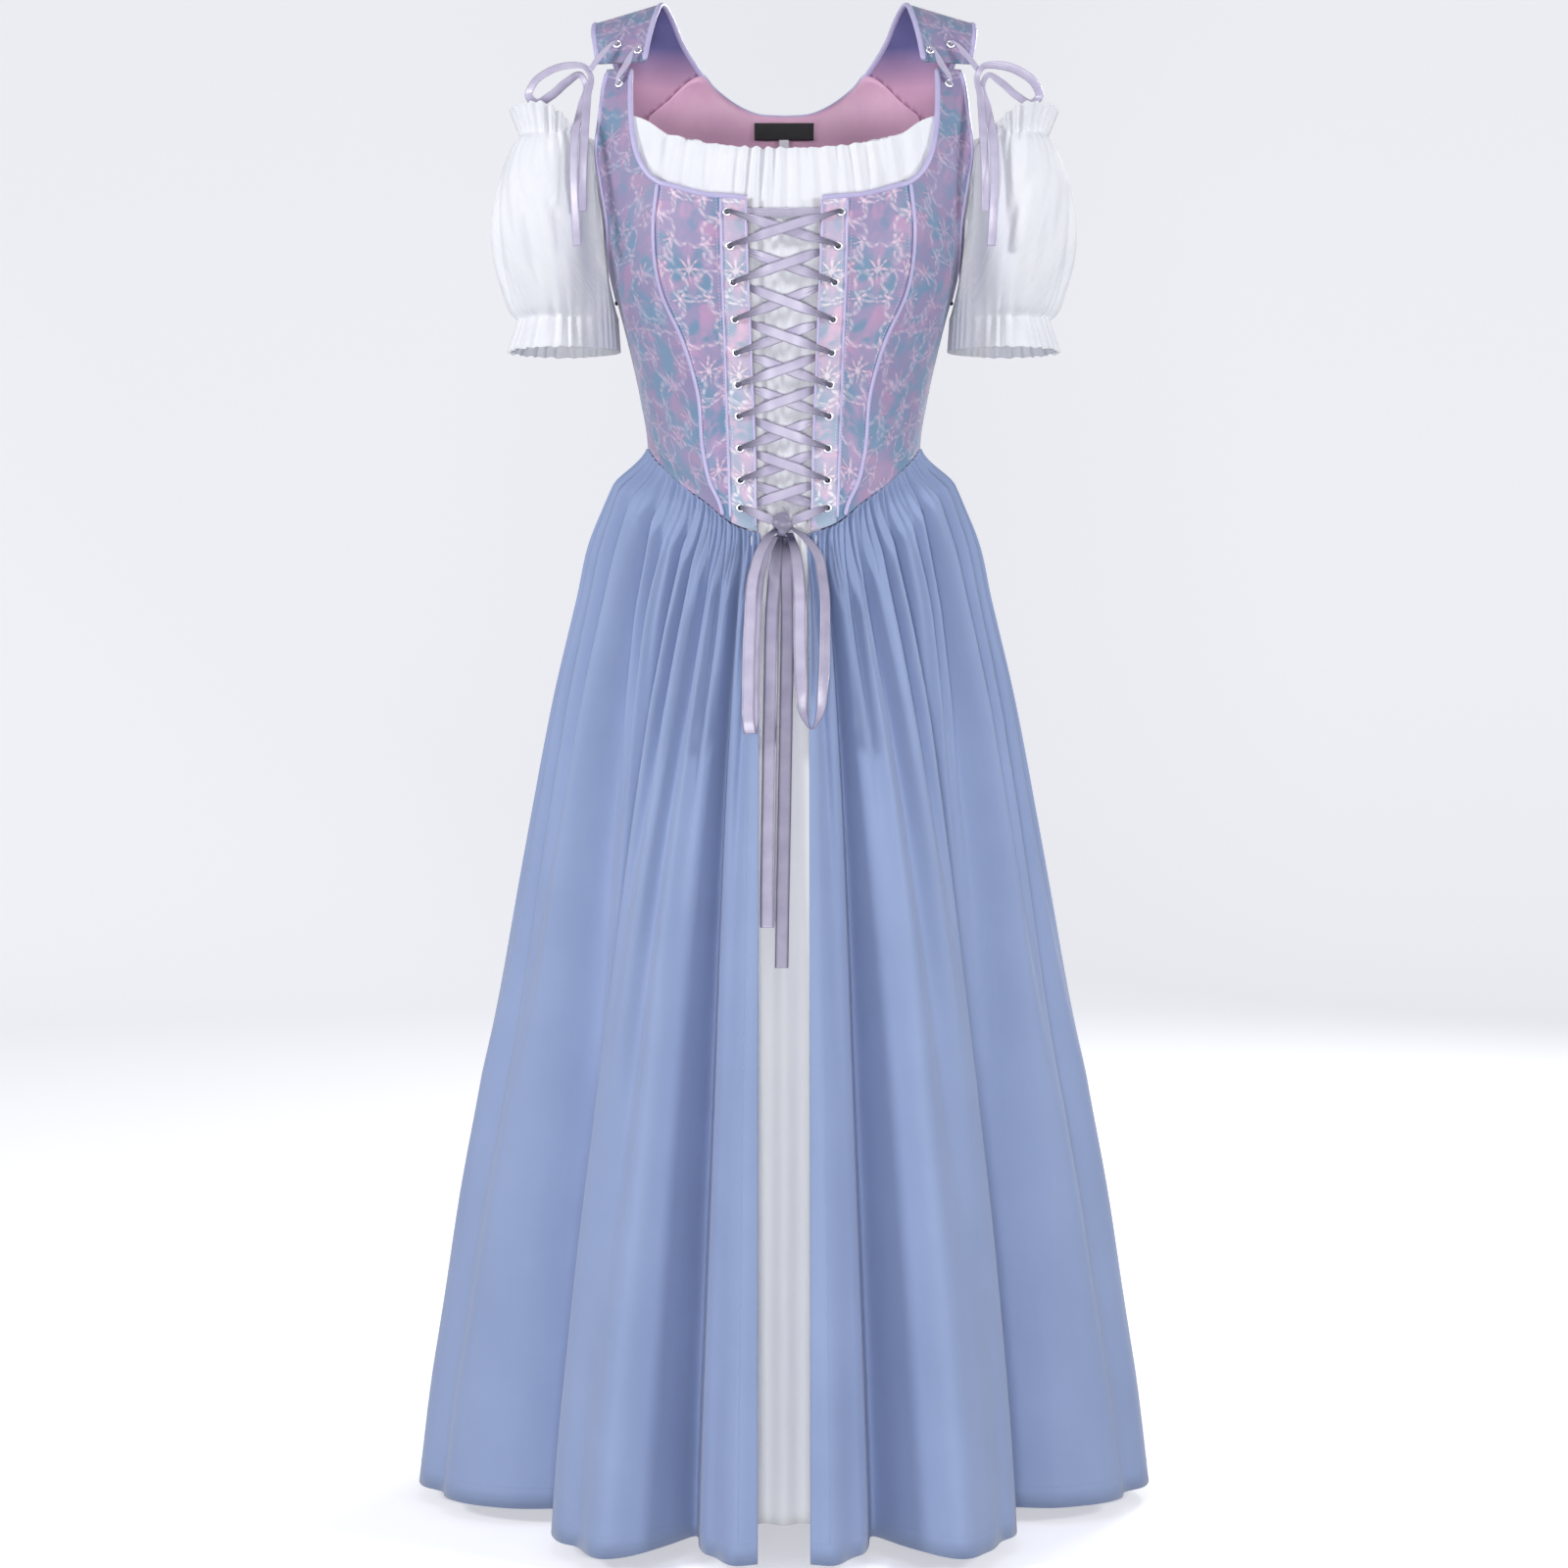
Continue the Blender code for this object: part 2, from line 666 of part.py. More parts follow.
def back_panel(u, v, lift=0.0):
    """Whole back, from the +X side seam (u = 0) to the other."""
    place = back_half(np.abs(1 - 2 * u), v, lift)
    place[..., 0] *= np.where(u > 0.5, -1, 1)
    return place


def strap(u, v):
    """Back strap at +X: armhole edge at u = 0, neck edge at u = 1, root at v = 0, laced end at v = 1."""
    root_neck = back_half(np.array(STRAP_ROOT_SHARE), np.array(1.0))
    root_arm = back_half(np.array(1.0), np.array(1.0))
    stations = np.append(0.0, STRAP["station"])
    station = v * stations[-1]

    def edge(prefix, root):
        rows = {"station": stations}
        for index, axis in enumerate("xyz"):
            rows[axis] = np.append(root[index], STRAP[f"{prefix}_{axis}"])
        return np.stack([smooth(rows, "station", axis, station) for axis in "xyz"], -1)

    place = mix(edge("arm", root_arm), edge("neck", root_neck), u[..., None])
    root = back_half(mix(1.0, STRAP_ROOT_SHARE, u), np.ones_like(u))
    straight_root = mix(root_arm, root_neck, u[..., None])
    return place + (1 - ease(station))[..., None] * (root - straight_root)


def blouse_front(u, v):
    """Gathered blouse front, close under the bodice at its sides and free of it behind the lacing."""
    station = v * BLOUSE_ROWS["station"][-1]
    sideways = 2 * u - 1
    side_angle = smooth(BLOUSE_ROWS, "station", "side_degrees", station)
    centre_height = smooth(BLOUSE_ROWS, "station", "centre_height", station)
    side_height = smooth(BLOUSE_ROWS, "station", "side_height", station)
    degrees = side_angle * sideways
    height = mix(centre_height, side_height, sideways**2)
    top_height = smooth(BLOUSE_TOP, "degrees", "height", np.abs(degrees))
    height = mix(height, top_height, ease(station - BLOUSE_LEVEL_STATION))
    inside = ease((1 - np.abs(sideways)) / BLOUSE_SEWN_SHARE)
    wave = BLOUSE_WAVE * np.cos(np.pi * BLOUSE_COLUMNS * u) * inside
    close = BODICE_WALL + LINING_GAP
    sewn = (1 - inside) * ease(station - BLOUSE_SEWN_STATION)
    return figure(np.radians(degrees), height, wave - mix(BLOUSE_DEPTH, close, sewn))


def sleeve_top_rows():
    """Top edge of the sleeve all round: its free part, and its seam along the armhole."""
    front = SLEEVE_FRONT_SEAM["station"] / SIDE_FRONT["station"][-1]
    back = SLEEVE_BACK_SEAM["station"] / BACK_EDGES["station"][-1]
    places = [
        side_front(np.ones_like(front), front, SLEEVE_OFFSET),
        np.stack([SLEEVE_TOP[axis] for axis in "xyz"], -1),
        back_half(np.ones_like(back), back, SLEEVE_OFFSET),
    ]
    places = np.concatenate(places)
    degrees = np.concatenate(
        [SLEEVE_FRONT_SEAM["degrees"], SLEEVE_TOP["degrees"], SLEEVE_BACK_SEAM["degrees"]]
    )
    degrees = np.concatenate([degrees[-2:] - 360, degrees, degrees[:3] + 360])
    places = np.concatenate([places[-2:], places, places[:3]])
    rows = {"degrees": degrees}
    for index, axis in enumerate("xyz"):
        rows[axis] = places[:, index]
    return rows


def sleeve(u, v):
    """Puff sleeve at +X: u runs round the arm from the front, v from the cuff ruffle to the header."""
    start, end = SLEEVE_FREE_SPAN
    free_share = SLEEVE_FREE_COLUMNS / SLEEVE_COLUMNS
    sewn_share = (u - free_share) / (1 - free_share)
    free_degrees = mix(start, end, u / free_share)
    degrees = np.where(u < free_share, free_degrees, mix(end, start + 360, sewn_share))
    degrees = (degrees + 90) % 360 - 90
    angle = np.radians(degrees)
    outward = np.stack([np.sin(angle), -np.cos(angle), np.zeros_like(angle)], -1)
    from_outside = np.abs((degrees - OUTER_DEGREES + 180) % 360 - 180)
    free = 1 - ease((from_outside - FREE_HALF_TURN) / SEWN_TURN)
    rows = sleeve_top_rows()
    top = np.stack([smooth(rows, "degrees", axis, degrees) for axis in "xyz"], -1)
    cuff = np.stack(
        [
            CUFF_CENTRE + CUFF_HALF_BREADTH * np.sin(angle),
            -CUFF_HALF_DEPTH * np.cos(angle),
            np.full_like(angle, CUFF_HEIGHT),
        ],
        -1,
    )
    ruffle_share = RUFFLE_ROWS / SLEEVE_ROWS
    below = np.clip((ruffle_share - v) / ruffle_share, 0, 1)
    above = np.clip((v - 1 + ruffle_share) / ruffle_share, 0, 1)
    along = np.clip((v - ruffle_share) / (1 - 2 * ruffle_share), 0, 1)
    wave = np.cos(np.pi * SLEEVE_COLUMNS * u)
    swell = np.sin(np.pi * along)
    gathers = wave * RUFFLE_WAVE * mix(ELASTIC_WAVE, 1.0, np.maximum(below, above)) * (1 - ease(swell))
    drapes = DRAPE_WAVE * np.cos(DRAPES * angle + DRAPE_SLANT * along) * swell
    reach = PUFF * swell * free + (gathers + drapes) * mix(SEWN_WAVE, 1.0, free)
    reach = reach + below * CUFF_RUFFLE_FLARE * mix(SEWN_FLARE, 1.0, free) + above * HEADER_FLARE * free
    place = mix(cuff, top, along[..., None]) + reach[..., None] * outward
    place[..., 2] += above * mix(SEWN_HEADER, HEADER_HEIGHT, free) - below * CUFF_RUFFLE_HEIGHT
    return place


def skirt_radius(angle, height, wave=0.0):
    """Distance from the axis to the overskirt: the waist seam, then its gathers, then its large folds."""
    below = waist_height(angle) - height
    seam = figure_radius(angle, waist_height(angle))
    reach = section(
        angle,
        smooth(SKIRT, "height", "half_breadth", height),
        smooth(SKIRT, "height", "front_depth", height),
        smooth(SKIRT, "height", "back_depth", height),
        SKIRT_FULLNESS,
    )
    fall = np.clip((SKIRT_TOP - height) / (SKIRT_TOP - HEM), 0, 1) ** FOLD_GROWTH
    folds = smooth(FOLDS, "degrees", "depth", from_front(angle)) * fall
    fade = ease(1 - below / GATHER_FADE) * mix(GATHER_AT_SEAM, 1.0, ease(below / SKIRT_EASE))
    reach = mix(seam, reach, ease(below / SKIRT_EASE + EASE_AT_SEAM))
    return reach - folds + wave * GATHER_DEPTH * fade


def skirt_place(angle, v, columns, u):
    top = waist_height(angle) - WAIST_GAP
    height = mix(top, HEM, (1 - v) ** ROW_GROWTH)
    return around(angle, skirt_radius(angle, height, -np.cos(np.pi * columns * u)), height)


def skirt_front(u, v):
    """Front of the overskirt at +X, from its open edge (u = 0) to the side seam (u = 1)."""
    height = mix(WAIST_SEAM["height"][0], HEM, (1 - v) ** ROW_GROWTH)
    edge = np.arcsin(OPENING_HALF / skirt_radius(np.radians(FRONT_EDGE_DEGREES), height))
    return skirt_place(mix(edge, SIDE - np.radians(SIDE_GAP_DEGREES), u), v, FRONT_COLUMNS, u)


def skirt_back(u, v):
    """Back of the overskirt, from the +X side seam round to the other."""
    gap = np.radians(SIDE_GAP_DEGREES)
    return skirt_place(mix(SIDE + gap, 3 * SIDE - gap, u), v, SKIRT_BACK_COLUMNS, u)


def underskirt(u, v):
    """Front panel of the underskirt, from the hem (v = 0) to the waist point."""
    height = mix(PANEL["height"][-1], PANEL["height"][0], (1 - v) ** PANEL_ROW_GROWTH)
    reach = smooth(PANEL, "height", "reach", height)
    half = smooth(PANEL, "height", "half_breadth", height)
    depth = PANEL_FOLD_DEPTH * np.cos(2 * np.pi * PANEL_FOLDS * (u - 0.5)) * (1 - v)
    angle = np.arcsin(half / reach) * (2 * u - 1)
    return around(angle, reach + depth, height)


def mirrored(shape):
    """The same surface on the other side, still facing out."""
    return lambda u, v: shape(1 - u, v) * np.array((-1.0, 1.0, 1.0))


def new_object(name, mesh, material):
    mesh.materials.append(material)
    thing = bpy.data.objects.new(name, mesh)
    bpy.data.collections[DRESS].objects.link(thing)
    return thing


def add_patch(mesh, shape, columns, rows):
    """Adds a grid whose points are placed by a function of two shares, u across and v up."""
    made = bmesh.ops.create_grid(mesh, x_segments=columns, y_segments=rows, size=0.5)
    flat = np.array([vert.co[:2] for vert in made["verts"]]) + 0.5
    for vert, place in zip(made["verts"], shape(flat[:, 0], flat[:, 1])):
        vert.co = place


def cloth(name, patches, wall, material, offset=-1.0):
    """Open surface of one or more joined patches, given its wall with Solidify."""
    work = bmesh.new()
    for shape, columns, rows in patches:
        add_patch(work, shape, columns, rows)
    bmesh.ops.remove_doubles(work, verts=work.verts, dist=WELD)
    mesh = bpy.data.meshes.new(name)
    work.to_mesh(mesh)
    work.free()
    mesh.shade_smooth()
    thing = new_object(name, mesh, material)
    solidify = thing.modifiers.new("wall", "SOLIDIFY")
    solidify.thickness = wall
    solidify.offset = offset
    return thing


def both_sides(name, shape, columns, rows, wall, material):
    """The +X piece and its mirror image."""
    return [
        cloth(f"{name}_right", [(shape, columns, rows)], wall, material),
        cloth(f"{name}_left", [(mirrored(shape), columns, rows)], wall, material),
    ]


def along_path(places, directions, widths, wall_lift=0.0, normals=None):
    """Strip shape: a row of points for each place, spread by a width along a direction."""

    def shape(u, v):
        index = np.rint(v * (len(places) - 1)).astype(int)
        spread = (u - 0.5)[:, None] * widths[index][:, None] * directions[index]
        lift = 0.0 if normals is None else wall_lift * normals[index]
        return places[index] + spread + lift

    return shape


def edging_shape(edge, inside, width):
    """Strip on a panel along its edge: inside holds points of the panel a little way in from the edge."""
    inwards = unit(inside - edge)
    forwards = np.gradient(edge, axis=0)
    outwards = unit(np.cross(inwards, forwards))
    inwards = unit(np.cross(forwards, outwards))
    widths = np.full(len(edge), width)
    centre = edge + inwards * width / 2
    return along_path(centre, inwards, widths, TRIM_CLEARANCE + TRIM_WALL, outwards), 1, len(edge) - 1


def neck_edging():
    """Binding of the front neckline at +X, from the lacing gap to the strap's end."""
    start = FRONT_SEAMS["gap_edge"][-1] + HALF_SEAM_GAP
    across = np.linspace(start, NECKLINE["across"][-1] - CORNER_CLEARANCE, NECK_POINTS)
    height = smooth(NECKLINE, "across", "height", across)
    end = NECK_SIDE["height"][-1] - HALF_SEAM_GAP
    side_height = np.linspace(NECK_SIDE["height"][1], end, NECK_SIDE_POINTS)
    side_across = smooth(NECK_SIDE, "height", "across", side_height) + HALF_SEAM_GAP
    across = np.append(across, side_across)
    height = np.append(height, side_height)
    edge = figure(front_angle(across, height), height)
    rise, run = np.gradient(height), np.gradient(across)
    inside_across = across + EDGE_INSET * rise / np.hypot(rise, run)
    inside_height = height - EDGE_INSET * run / np.hypot(rise, run)
    inside = figure(front_angle(inside_across, inside_height), inside_height)
    return edging_shape(edge, inside, BINDING_WIDTH)


def armhole_edging():
    """Binding of the armhole at +X, from the front strap under the arm and over the shoulder."""
    rows = side_rows()
    front = np.arange(rows, UNDERARM_STATION * ROWS_A_STATION - 1, -1) / rows
    back = np.arange(BACK_UNDERARM_ROW, BACK_ROWS + 1) / BACK_ROWS
    over = np.arange(1, STRAP_ROWS + 1) / STRAP_ROWS
    edge = [
        side_front(np.ones_like(front), front),
        back_half(np.ones_like(back), back),
        strap(np.zeros_like(over), over),
    ]
    inside = [
        side_front(np.full_like(front, 1 - SIDE_INSET), front),
        back_half(np.full_like(back, 1 - BACK_INSET), back),
        strap(np.full_like(over, STRAP_INSET), over),
    ]
    return edging_shape(np.concatenate(edge), np.concatenate(inside), BINDING_WIDTH)


def back_neck_edging():
    """Binding of the back neckline, from the end of one back strap to the end of the other."""
    over = np.arange(STRAP_ROWS, 0, -1) / STRAP_ROWS
    share = np.linspace(STRAP_ROOT_SHARE, 0.0, BACK_COLUMNS * 3 // 10 + 1)
    edge = np.concatenate([strap(np.ones_like(over), over), back_half(share, np.ones_like(share))])
    inside = [
        strap(np.full_like(over, 1 - STRAP_INSET), over),
        back_half(share, np.full_like(share, 1 - BACK_INSET / 2)),
    ]
    inside = np.concatenate(inside)
    flip = np.array((-1.0, 1.0, 1.0))
    edge = np.concatenate([edge, edge[-2::-1] * flip])
    inside = np.concatenate([inside, inside[-2::-1] * flip])
    return edging_shape(edge, inside, BINDING_WIDTH)


def piping_shape():
    """Raised piping over the princess seam at +X."""
    v = np.arange(1, CORNER_STATION * ROWS_A_STATION) / side_rows()
    edge = side_front(np.zeros_like(v), v)
    inside = side_front(np.full_like(v, SIDE_INSET), v)
    inwards = unit(inside - edge)
    return edging_shape(edge - inwards * PIPING_WIDTH / 2, inside, PIPING_WIDTH)


def eyelet_frames(side):
    """Place and outward direction of each eyelet of the front lacing on one side."""
    angle = side * front_angle(EYELETS["across"], EYELETS["height"])
    place = figure(angle, EYELETS["height"])
    return place, unit(figure(angle, EYELETS["height"], 1.0) - place)


def strap_eyelet_frames(side):
    """Place and outward direction of the shoulder eyelets on one side, the front strap's last."""
    u, v = STRAP_EYELETS["share"], STRAP_EYELETS["station"] / STRAP["station"][-1]
    place = strap(u, v)
    across = strap(u + STRAP_INSET, v) - strap(u - STRAP_INSET, v)
    forwards = strap(u, v + STRAP_INSET) - strap(u, v - STRAP_INSET)
    outwards = unit(np.cross(across, forwards))
    height = np.array(FRONT_STRAP_EYELET[1])
    angle = front_angle(np.array(FRONT_STRAP_EYELET[0]), height)
    front = figure(angle, height)
    front_out = unit(figure(angle, height, 1.0) - front)
    flip = np.array((side, 1.0, 1.0))
    return np.vstack([place, front]) * flip, np.vstack([outwards, front_out]) * flip


def frame_matrix(place, outwards):
    return Matrix.Translation(Vector(place)) @ Vector(outwards).to_track_quat("Z", "Y").to_matrix().to_4x4()


def eyelet_profile():
    """Section of the ring, for a full turn about Z."""
    low = TRIM_CLEARANCE
    corners = (
        (EYELET_OUTER, 0.0, low + EYELET_HEIGHT),
        (EYELET_OUTER, 0.0, low),
        (EYELET_INNER, 0.0, low),
        (EYELET_INNER, 0.0, low + EYELET_HEIGHT),
    )
    mesh = bpy.data.meshes.new("eyelet")
    mesh.from_pydata(corners, [(0, 1), (1, 2), (2, 3), (3, 0)], [])
    return mesh


def add_eyelet(name, mesh, place, outwards):
    ring = bpy.data.objects.new(name, mesh)
    ring.matrix_world = frame_matrix(place, outwards)
    bpy.data.collections[DRESS].objects.link(ring)
    turn = ring.modifiers.new("turn", "SCREW")
    turn.steps = EYELET_SIDES
    turn.render_steps = EYELET_SIDES
    turn.use_merge_vertices = True
    turn.merge_threshold = STEP
    return ring


def add_holes(panel, places, outwards):
    """Cuts a round hole through a panel at each place."""
    work = bmesh.new()
    for place, direction in zip(places, outwards):
        bmesh.ops.create_cone(
            work,
            cap_ends=True,
            segments=HOLE_SIDES,
            radius1=EYELET_HOLE,
            radius2=EYELET_HOLE,
            depth=HOLE_DEPTH,
            matrix=frame_matrix(place, direction),
        )
    mesh = bpy.data.meshes.new(f"{panel.name}_holes")
    work.to_mesh(mesh)
    work.free()
    cutter = bpy.data.objects.new(mesh.name, mesh)
    cutter.hide_render = True
    cutter.display_type = "WIRE"
    bpy.data.collections[CUTTERS].objects.link(cutter)
    cut = panel.modifiers.new("holes", "BOOLEAN")
    cut.operation = "DIFFERENCE"
    cut.object = cutter


def lace_rows(first_side):
    """Ribbon of the front lacing that leaves the top eyelet of one side: across, height, lift, width.

    It comes out of the top eyelets, passes over the edges of the lacing gap and goes in at the next
    eyelet; from there on each crossing starts inside, and the last one ends inside too."""
    heights, acrosses = EYELETS["height"], EYELETS["across"]
    rows = []
    last = len(heights) - 2
    if first_side < 0:
        near, far = acrosses[0] - TOP_BAR_INSET[0], TOP_BAR_INSET[1] - acrosses[0]
        for across in np.linspace(near, far, TOP_BAR_POINTS):
            rows.append((across, heights[0], RIBBON_UNDER_EDGE, TOP_BAR_WIDTH * RIBBON_WIDTH))
    rows.append((first_side * acrosses[0], heights[0], RIBBON_INSIDE, RIBBON_IN_EYELET))
    for index in range(last + 1):
        side = first_side * (-1) ** index
        starts_inside = index > 0
        ends_inside = index == last
        over = RIBBON_CROSSING * side * (-1) ** (index // 2)
        hole_start = RIBBON_INSIDE if starts_inside else RIBBON_OUTSIDE
        hole_end = RIBBON_INSIDE if ends_inside else RIBBON_OUTSIDE
        edge_start = RIBBON_UNDER_EDGE if starts_inside else RIBBON_OVER_EDGE
        edge_end = RIBBON_UNDER_EDGE if ends_inside else RIBBON_OVER_EDGE
        for along, width, crossing in zip(CROSSING["along"], CROSSING["width"], CROSSING["over"]):
            between = (along - RIBBON_EDGE_SHARE) / (1 - 2 * RIBBON_EDGE_SHARE)
            lift = mix(edge_start, edge_end, between)
            lift = hole_start if along == 0.0 else hole_end if along == 1.0 else lift
            across = mix(side * acrosses[index], -side * acrosses[index + 1], along)
            height = mix(heights[index], heights[index + 1], along)
            rows.append((across, height, lift + crossing * over, width * RIBBON_WIDTH))
        if not ends_inside:
            across, height = -side * acrosses[index + 1], heights[index + 1]
            rows.append((across, height, RIBBON_INSIDE, RIBBON_IN_EYELET))
    end_across = first_side * (-1) ** (last + 1) * acrosses[-1]
    for share, width, lift in zip(TO_KNOT["along"], TO_KNOT["width"], TO_KNOT["lift"]):
        across, height = mix(end_across, KNOT[0], share), mix(heights[-1], KNOT[1], share)
        rows.append((across, height, RIBBON_OUTSIDE + lift, width * RIBBON_WIDTH))
    return np.array(rows)


def lace_shape(first_side):
    across, height, lift, width = lace_rows(first_side).T
    angle = front_angle(across, height)
    places = figure(angle, height, lift)
    upwards = unit(figure(angle, height + STEP) - figure(angle, height - STEP))
    return along_path(places, upwards, width), len(places) - 1


def cloth_depth(across, height, inner):
    """How far in front of the axis the cloth lies below the waist point, inside the opening or over it."""
    panel = np.sqrt(smooth(PANEL, "height", "reach", height) ** 2 - across**2)
    below_seam = np.minimum(height, WAIST_SEAM["height"][0] - WAIST_GAP)
    radius = skirt_radius(np.radians(FRONT_EDGE_DEGREES), below_seam)
    skirt = np.sqrt(radius**2 - across**2)
    share = ease((np.abs(across) - TAIL_INNER) / (TAIL_OUTER - TAIL_INNER)) if inner else 1.0
    return mix(panel, skirt, share)


def hanging_shape(rows, inner):
    """Ribbon of the bow at the waist: turn is the angle of its width from sideways towards the back."""
    turn = np.radians(rows["turn"])
    depth = cloth_depth(rows["across"], rows["height"], inner) + rows["lift"]
    waist = figure(front_angle(rows["across"], rows["height"]), rows["height"], rows["lift"])
    near_knot = ease((rows["height"] - WAIST_SEAM["height"][0]) / KNOT_REACH + 1)
    depth = mix(depth, np.maximum(-waist[:, 1], depth), near_knot)
    places = np.stack([rows["across"], -depth, rows["height"]], -1)
    directions = np.stack([np.cos(turn), np.sin(turn), np.zeros_like(turn)], -1)
    return along_path(places, directions, rows["width"]), len(places) - 1


def shoulder_bow_shape(side):
    rows = SHOULDER_BOW
    turn = np.radians(rows["turn"])
    places = np.stack([side * rows["x"], rows["y"], rows["z"]], -1)
    directions = np.stack([side * np.cos(turn), -np.sin(turn), np.zeros_like(turn)], -1)
    return along_path(places, directions, rows["width"]), len(places) - 1


def shoulder_lace_shape(side):
    """Ribbon that laces a shoulder: in and out through the back strap, then in at the front strap.

    Its width lies square to the way it runs and to the cloth under it."""
    place, outwards = strap_eyelet_frames(1)
    outer, inner, front = range(3)
    knot = np.array(SHOULDER_KNOT)
    swollen = SHOULDER_SWELL * SHOULDER_OUTSIDE
    rows = []

    def add(at, cloth_at, along, lift, width):
        square = np.cross(outwards[cloth_at], along)
        rows.append((at + outwards[cloth_at] * lift, unit(square), width))

    away, across, back = place[outer] - knot, place[inner] - place[outer], place[inner] - place[front]
    add(knot, outer, away, 0.0, SHOULDER_RIBBON)
    add(mix(knot, place[outer], 0.5), outer, away, swollen, SHOULDER_RIBBON)
    add(place[outer], outer, across, SHOULDER_OUTSIDE, RIBBON_IN_EYELET)
    add(place[outer], outer, across, RIBBON_INSIDE, RIBBON_IN_EYELET)
    add(mix(place[outer], place[inner], 0.5), inner, across, RIBBON_INSIDE, SHOULDER_RIBBON)
    add(place[inner], inner, across, RIBBON_INSIDE, RIBBON_IN_EYELET)
    add(place[inner], inner, across, SHOULDER_OUTSIDE, RIBBON_IN_EYELET)
    add(mix(place[inner], place[front], 0.5), inner, back, swollen, SHOULDER_SPAN_RIBBON)
    add(place[front], front, back, SHOULDER_OUTSIDE, RIBBON_IN_EYELET)
    add(place[front], front, back, RIBBON_INSIDE, RIBBON_IN_EYELET)
    flip = np.array((side, 1.0, 1.0))
    places, directions, widths = (np.array(column) for column in zip(*rows))
    return along_path(places * flip, directions * flip, widths), len(rows) - 1


def add_ribbon(name, made, material):
    shape, rows = made
    return cloth(name, [(shape, 1, rows)], RIBBON_WALL, material, offset=0.0)


def add_knot(material):
    across, height, lift = KNOT
    centre = figure(front_angle(np.array(across), np.array(height)), np.array(height), lift)
    work = bmesh.new()
    placed = Matrix.Translation(centre) @ Matrix.Diagonal((*KNOT_RADII, 1.0))
    sides, rings = KNOT_SIDES, KNOT_RINGS
    bmesh.ops.create_uvsphere(work, u_segments=sides, v_segments=rings, radius=1.0, matrix=placed)
    mesh = bpy.data.meshes.new("bow_knot")
    work.to_mesh(mesh)
    work.free()
    mesh.shade_smooth()
    return new_object("bow_knot", mesh, material)


def label_shape(u, v):
    low, high = LABEL_SPAN
    across = mix(LABEL_HALF_BREADTH, -LABEL_HALF_BREADTH, u)
    height = mix(low, high, v)
    angle = BACK - across / smooth(FIGURE, "height", "back_depth", height)
    return figure(angle, height, -LABEL_DEPTH)


def lining_shape(u, v):
    margin = 1 / BACK_COLUMNS
    return back_panel(mix(margin, 1 - margin, u), mix(LINING_BOTTOM, 1.0, v), -(BODICE_WALL + LINING_GAP))


def principled(name, look):
    colour, roughness, metallic = look
    channels = [int(colour[start : start + 2], 16) / 255 for start in (0, 2, 4)]
    linear = [c / 12.92 if c <= 0.04045 else ((c + 0.055) / 1.055) ** 2.4 for c in channels]
    material = bpy.data.materials.new(name)
    material.use_nodes = True
    shader = material.node_tree.nodes["Principled BSDF"]
    shader.inputs["Base Color"].default_value = (*linear, 1.0)
    shader.inputs["Roughness"].default_value = roughness
    shader.inputs["Metallic"].default_value = metallic
    return material


def build_bodice():
    brocade = principled("brocade", BROCADE)
    satin = principled("satin_binding", SATIN)
    lining = principled("lining_cloth", LINING_CLOTH)
    plackets = both_sides(
        "placket",
        lambda u, v: front_strip(u, v, "gap_edge", "placket_seam"),
        PLACKET_COLUMNS,
        PLACKET_ROWS,
        BODICE_WALL,
        brocade,
    )
    both_sides(
        "front_panel",
        lambda u, v: front_strip(u, v, "placket_seam", "princess_seam"),
        PANEL_FRONT_COLUMNS,
        CORNER_STATION * ROWS_A_STATION,
        BODICE_WALL,
        brocade,
    )
    fronts = both_sides("side_front", side_front, SIDE_COLUMNS, side_rows(), BODICE_WALL, brocade)
    patches = [
        (back_panel, BACK_COLUMNS, BACK_ROWS),
        (strap, STRAP_COLUMNS, STRAP_ROWS),
        (mirrored(strap), STRAP_COLUMNS, STRAP_ROWS),
    ]
    back = cloth("back_bodice", patches, BODICE_WALL, brocade)
    cloth("back_lining", [(lining_shape, BACK_COLUMNS - 2, LINING_ROWS)], LINING_WALL, lining)
    label = principled("label_cloth", LABEL_CLOTH)
    cloth("neck_label", [(label_shape, LABEL_COLUMNS, 1)], LABEL_WALL, label)
    both_sides("neck_binding", *neck_edging(), TRIM_WALL, satin)
    both_sides("armhole_binding", *armhole_edging(), TRIM_WALL, satin)
    both_sides("princess_piping", *piping_shape(), TRIM_WALL, satin)
    cloth("back_neck_binding", [back_neck_edging()], TRIM_WALL, satin)
    return plackets, fronts, back


def build_eyelets(plackets, fronts, back):
    ring = eyelet_profile()
    ring.materials.append(principled("eyelet_metal", EYELET_METAL))
    back_places, back_directions = [], []
    for side, name, placket, front in zip((1, -1), ("right", "left"), plackets, fronts):
        places, outwards = eyelet_frames(side)
        for index, (place, direction) in enumerate(zip(places, outwards)):
            add_eyelet(f"eyelet_{name}_{index + 1:02d}", ring, place, direction)
        add_holes(placket, places, outwards)
        places, outwards = strap_eyelet_frames(side)
        for index, (place, direction) in enumerate(zip(places, outwards)):
            add_eyelet(f"shoulder_eyelet_{name}_{index + 1}", ring, place, direction)
        add_holes(front, places[2:], outwards[2:])
        back_places.extend(places[:2])
        back_directions.extend(outwards[:2])
    add_holes(back, back_places, back_directions)


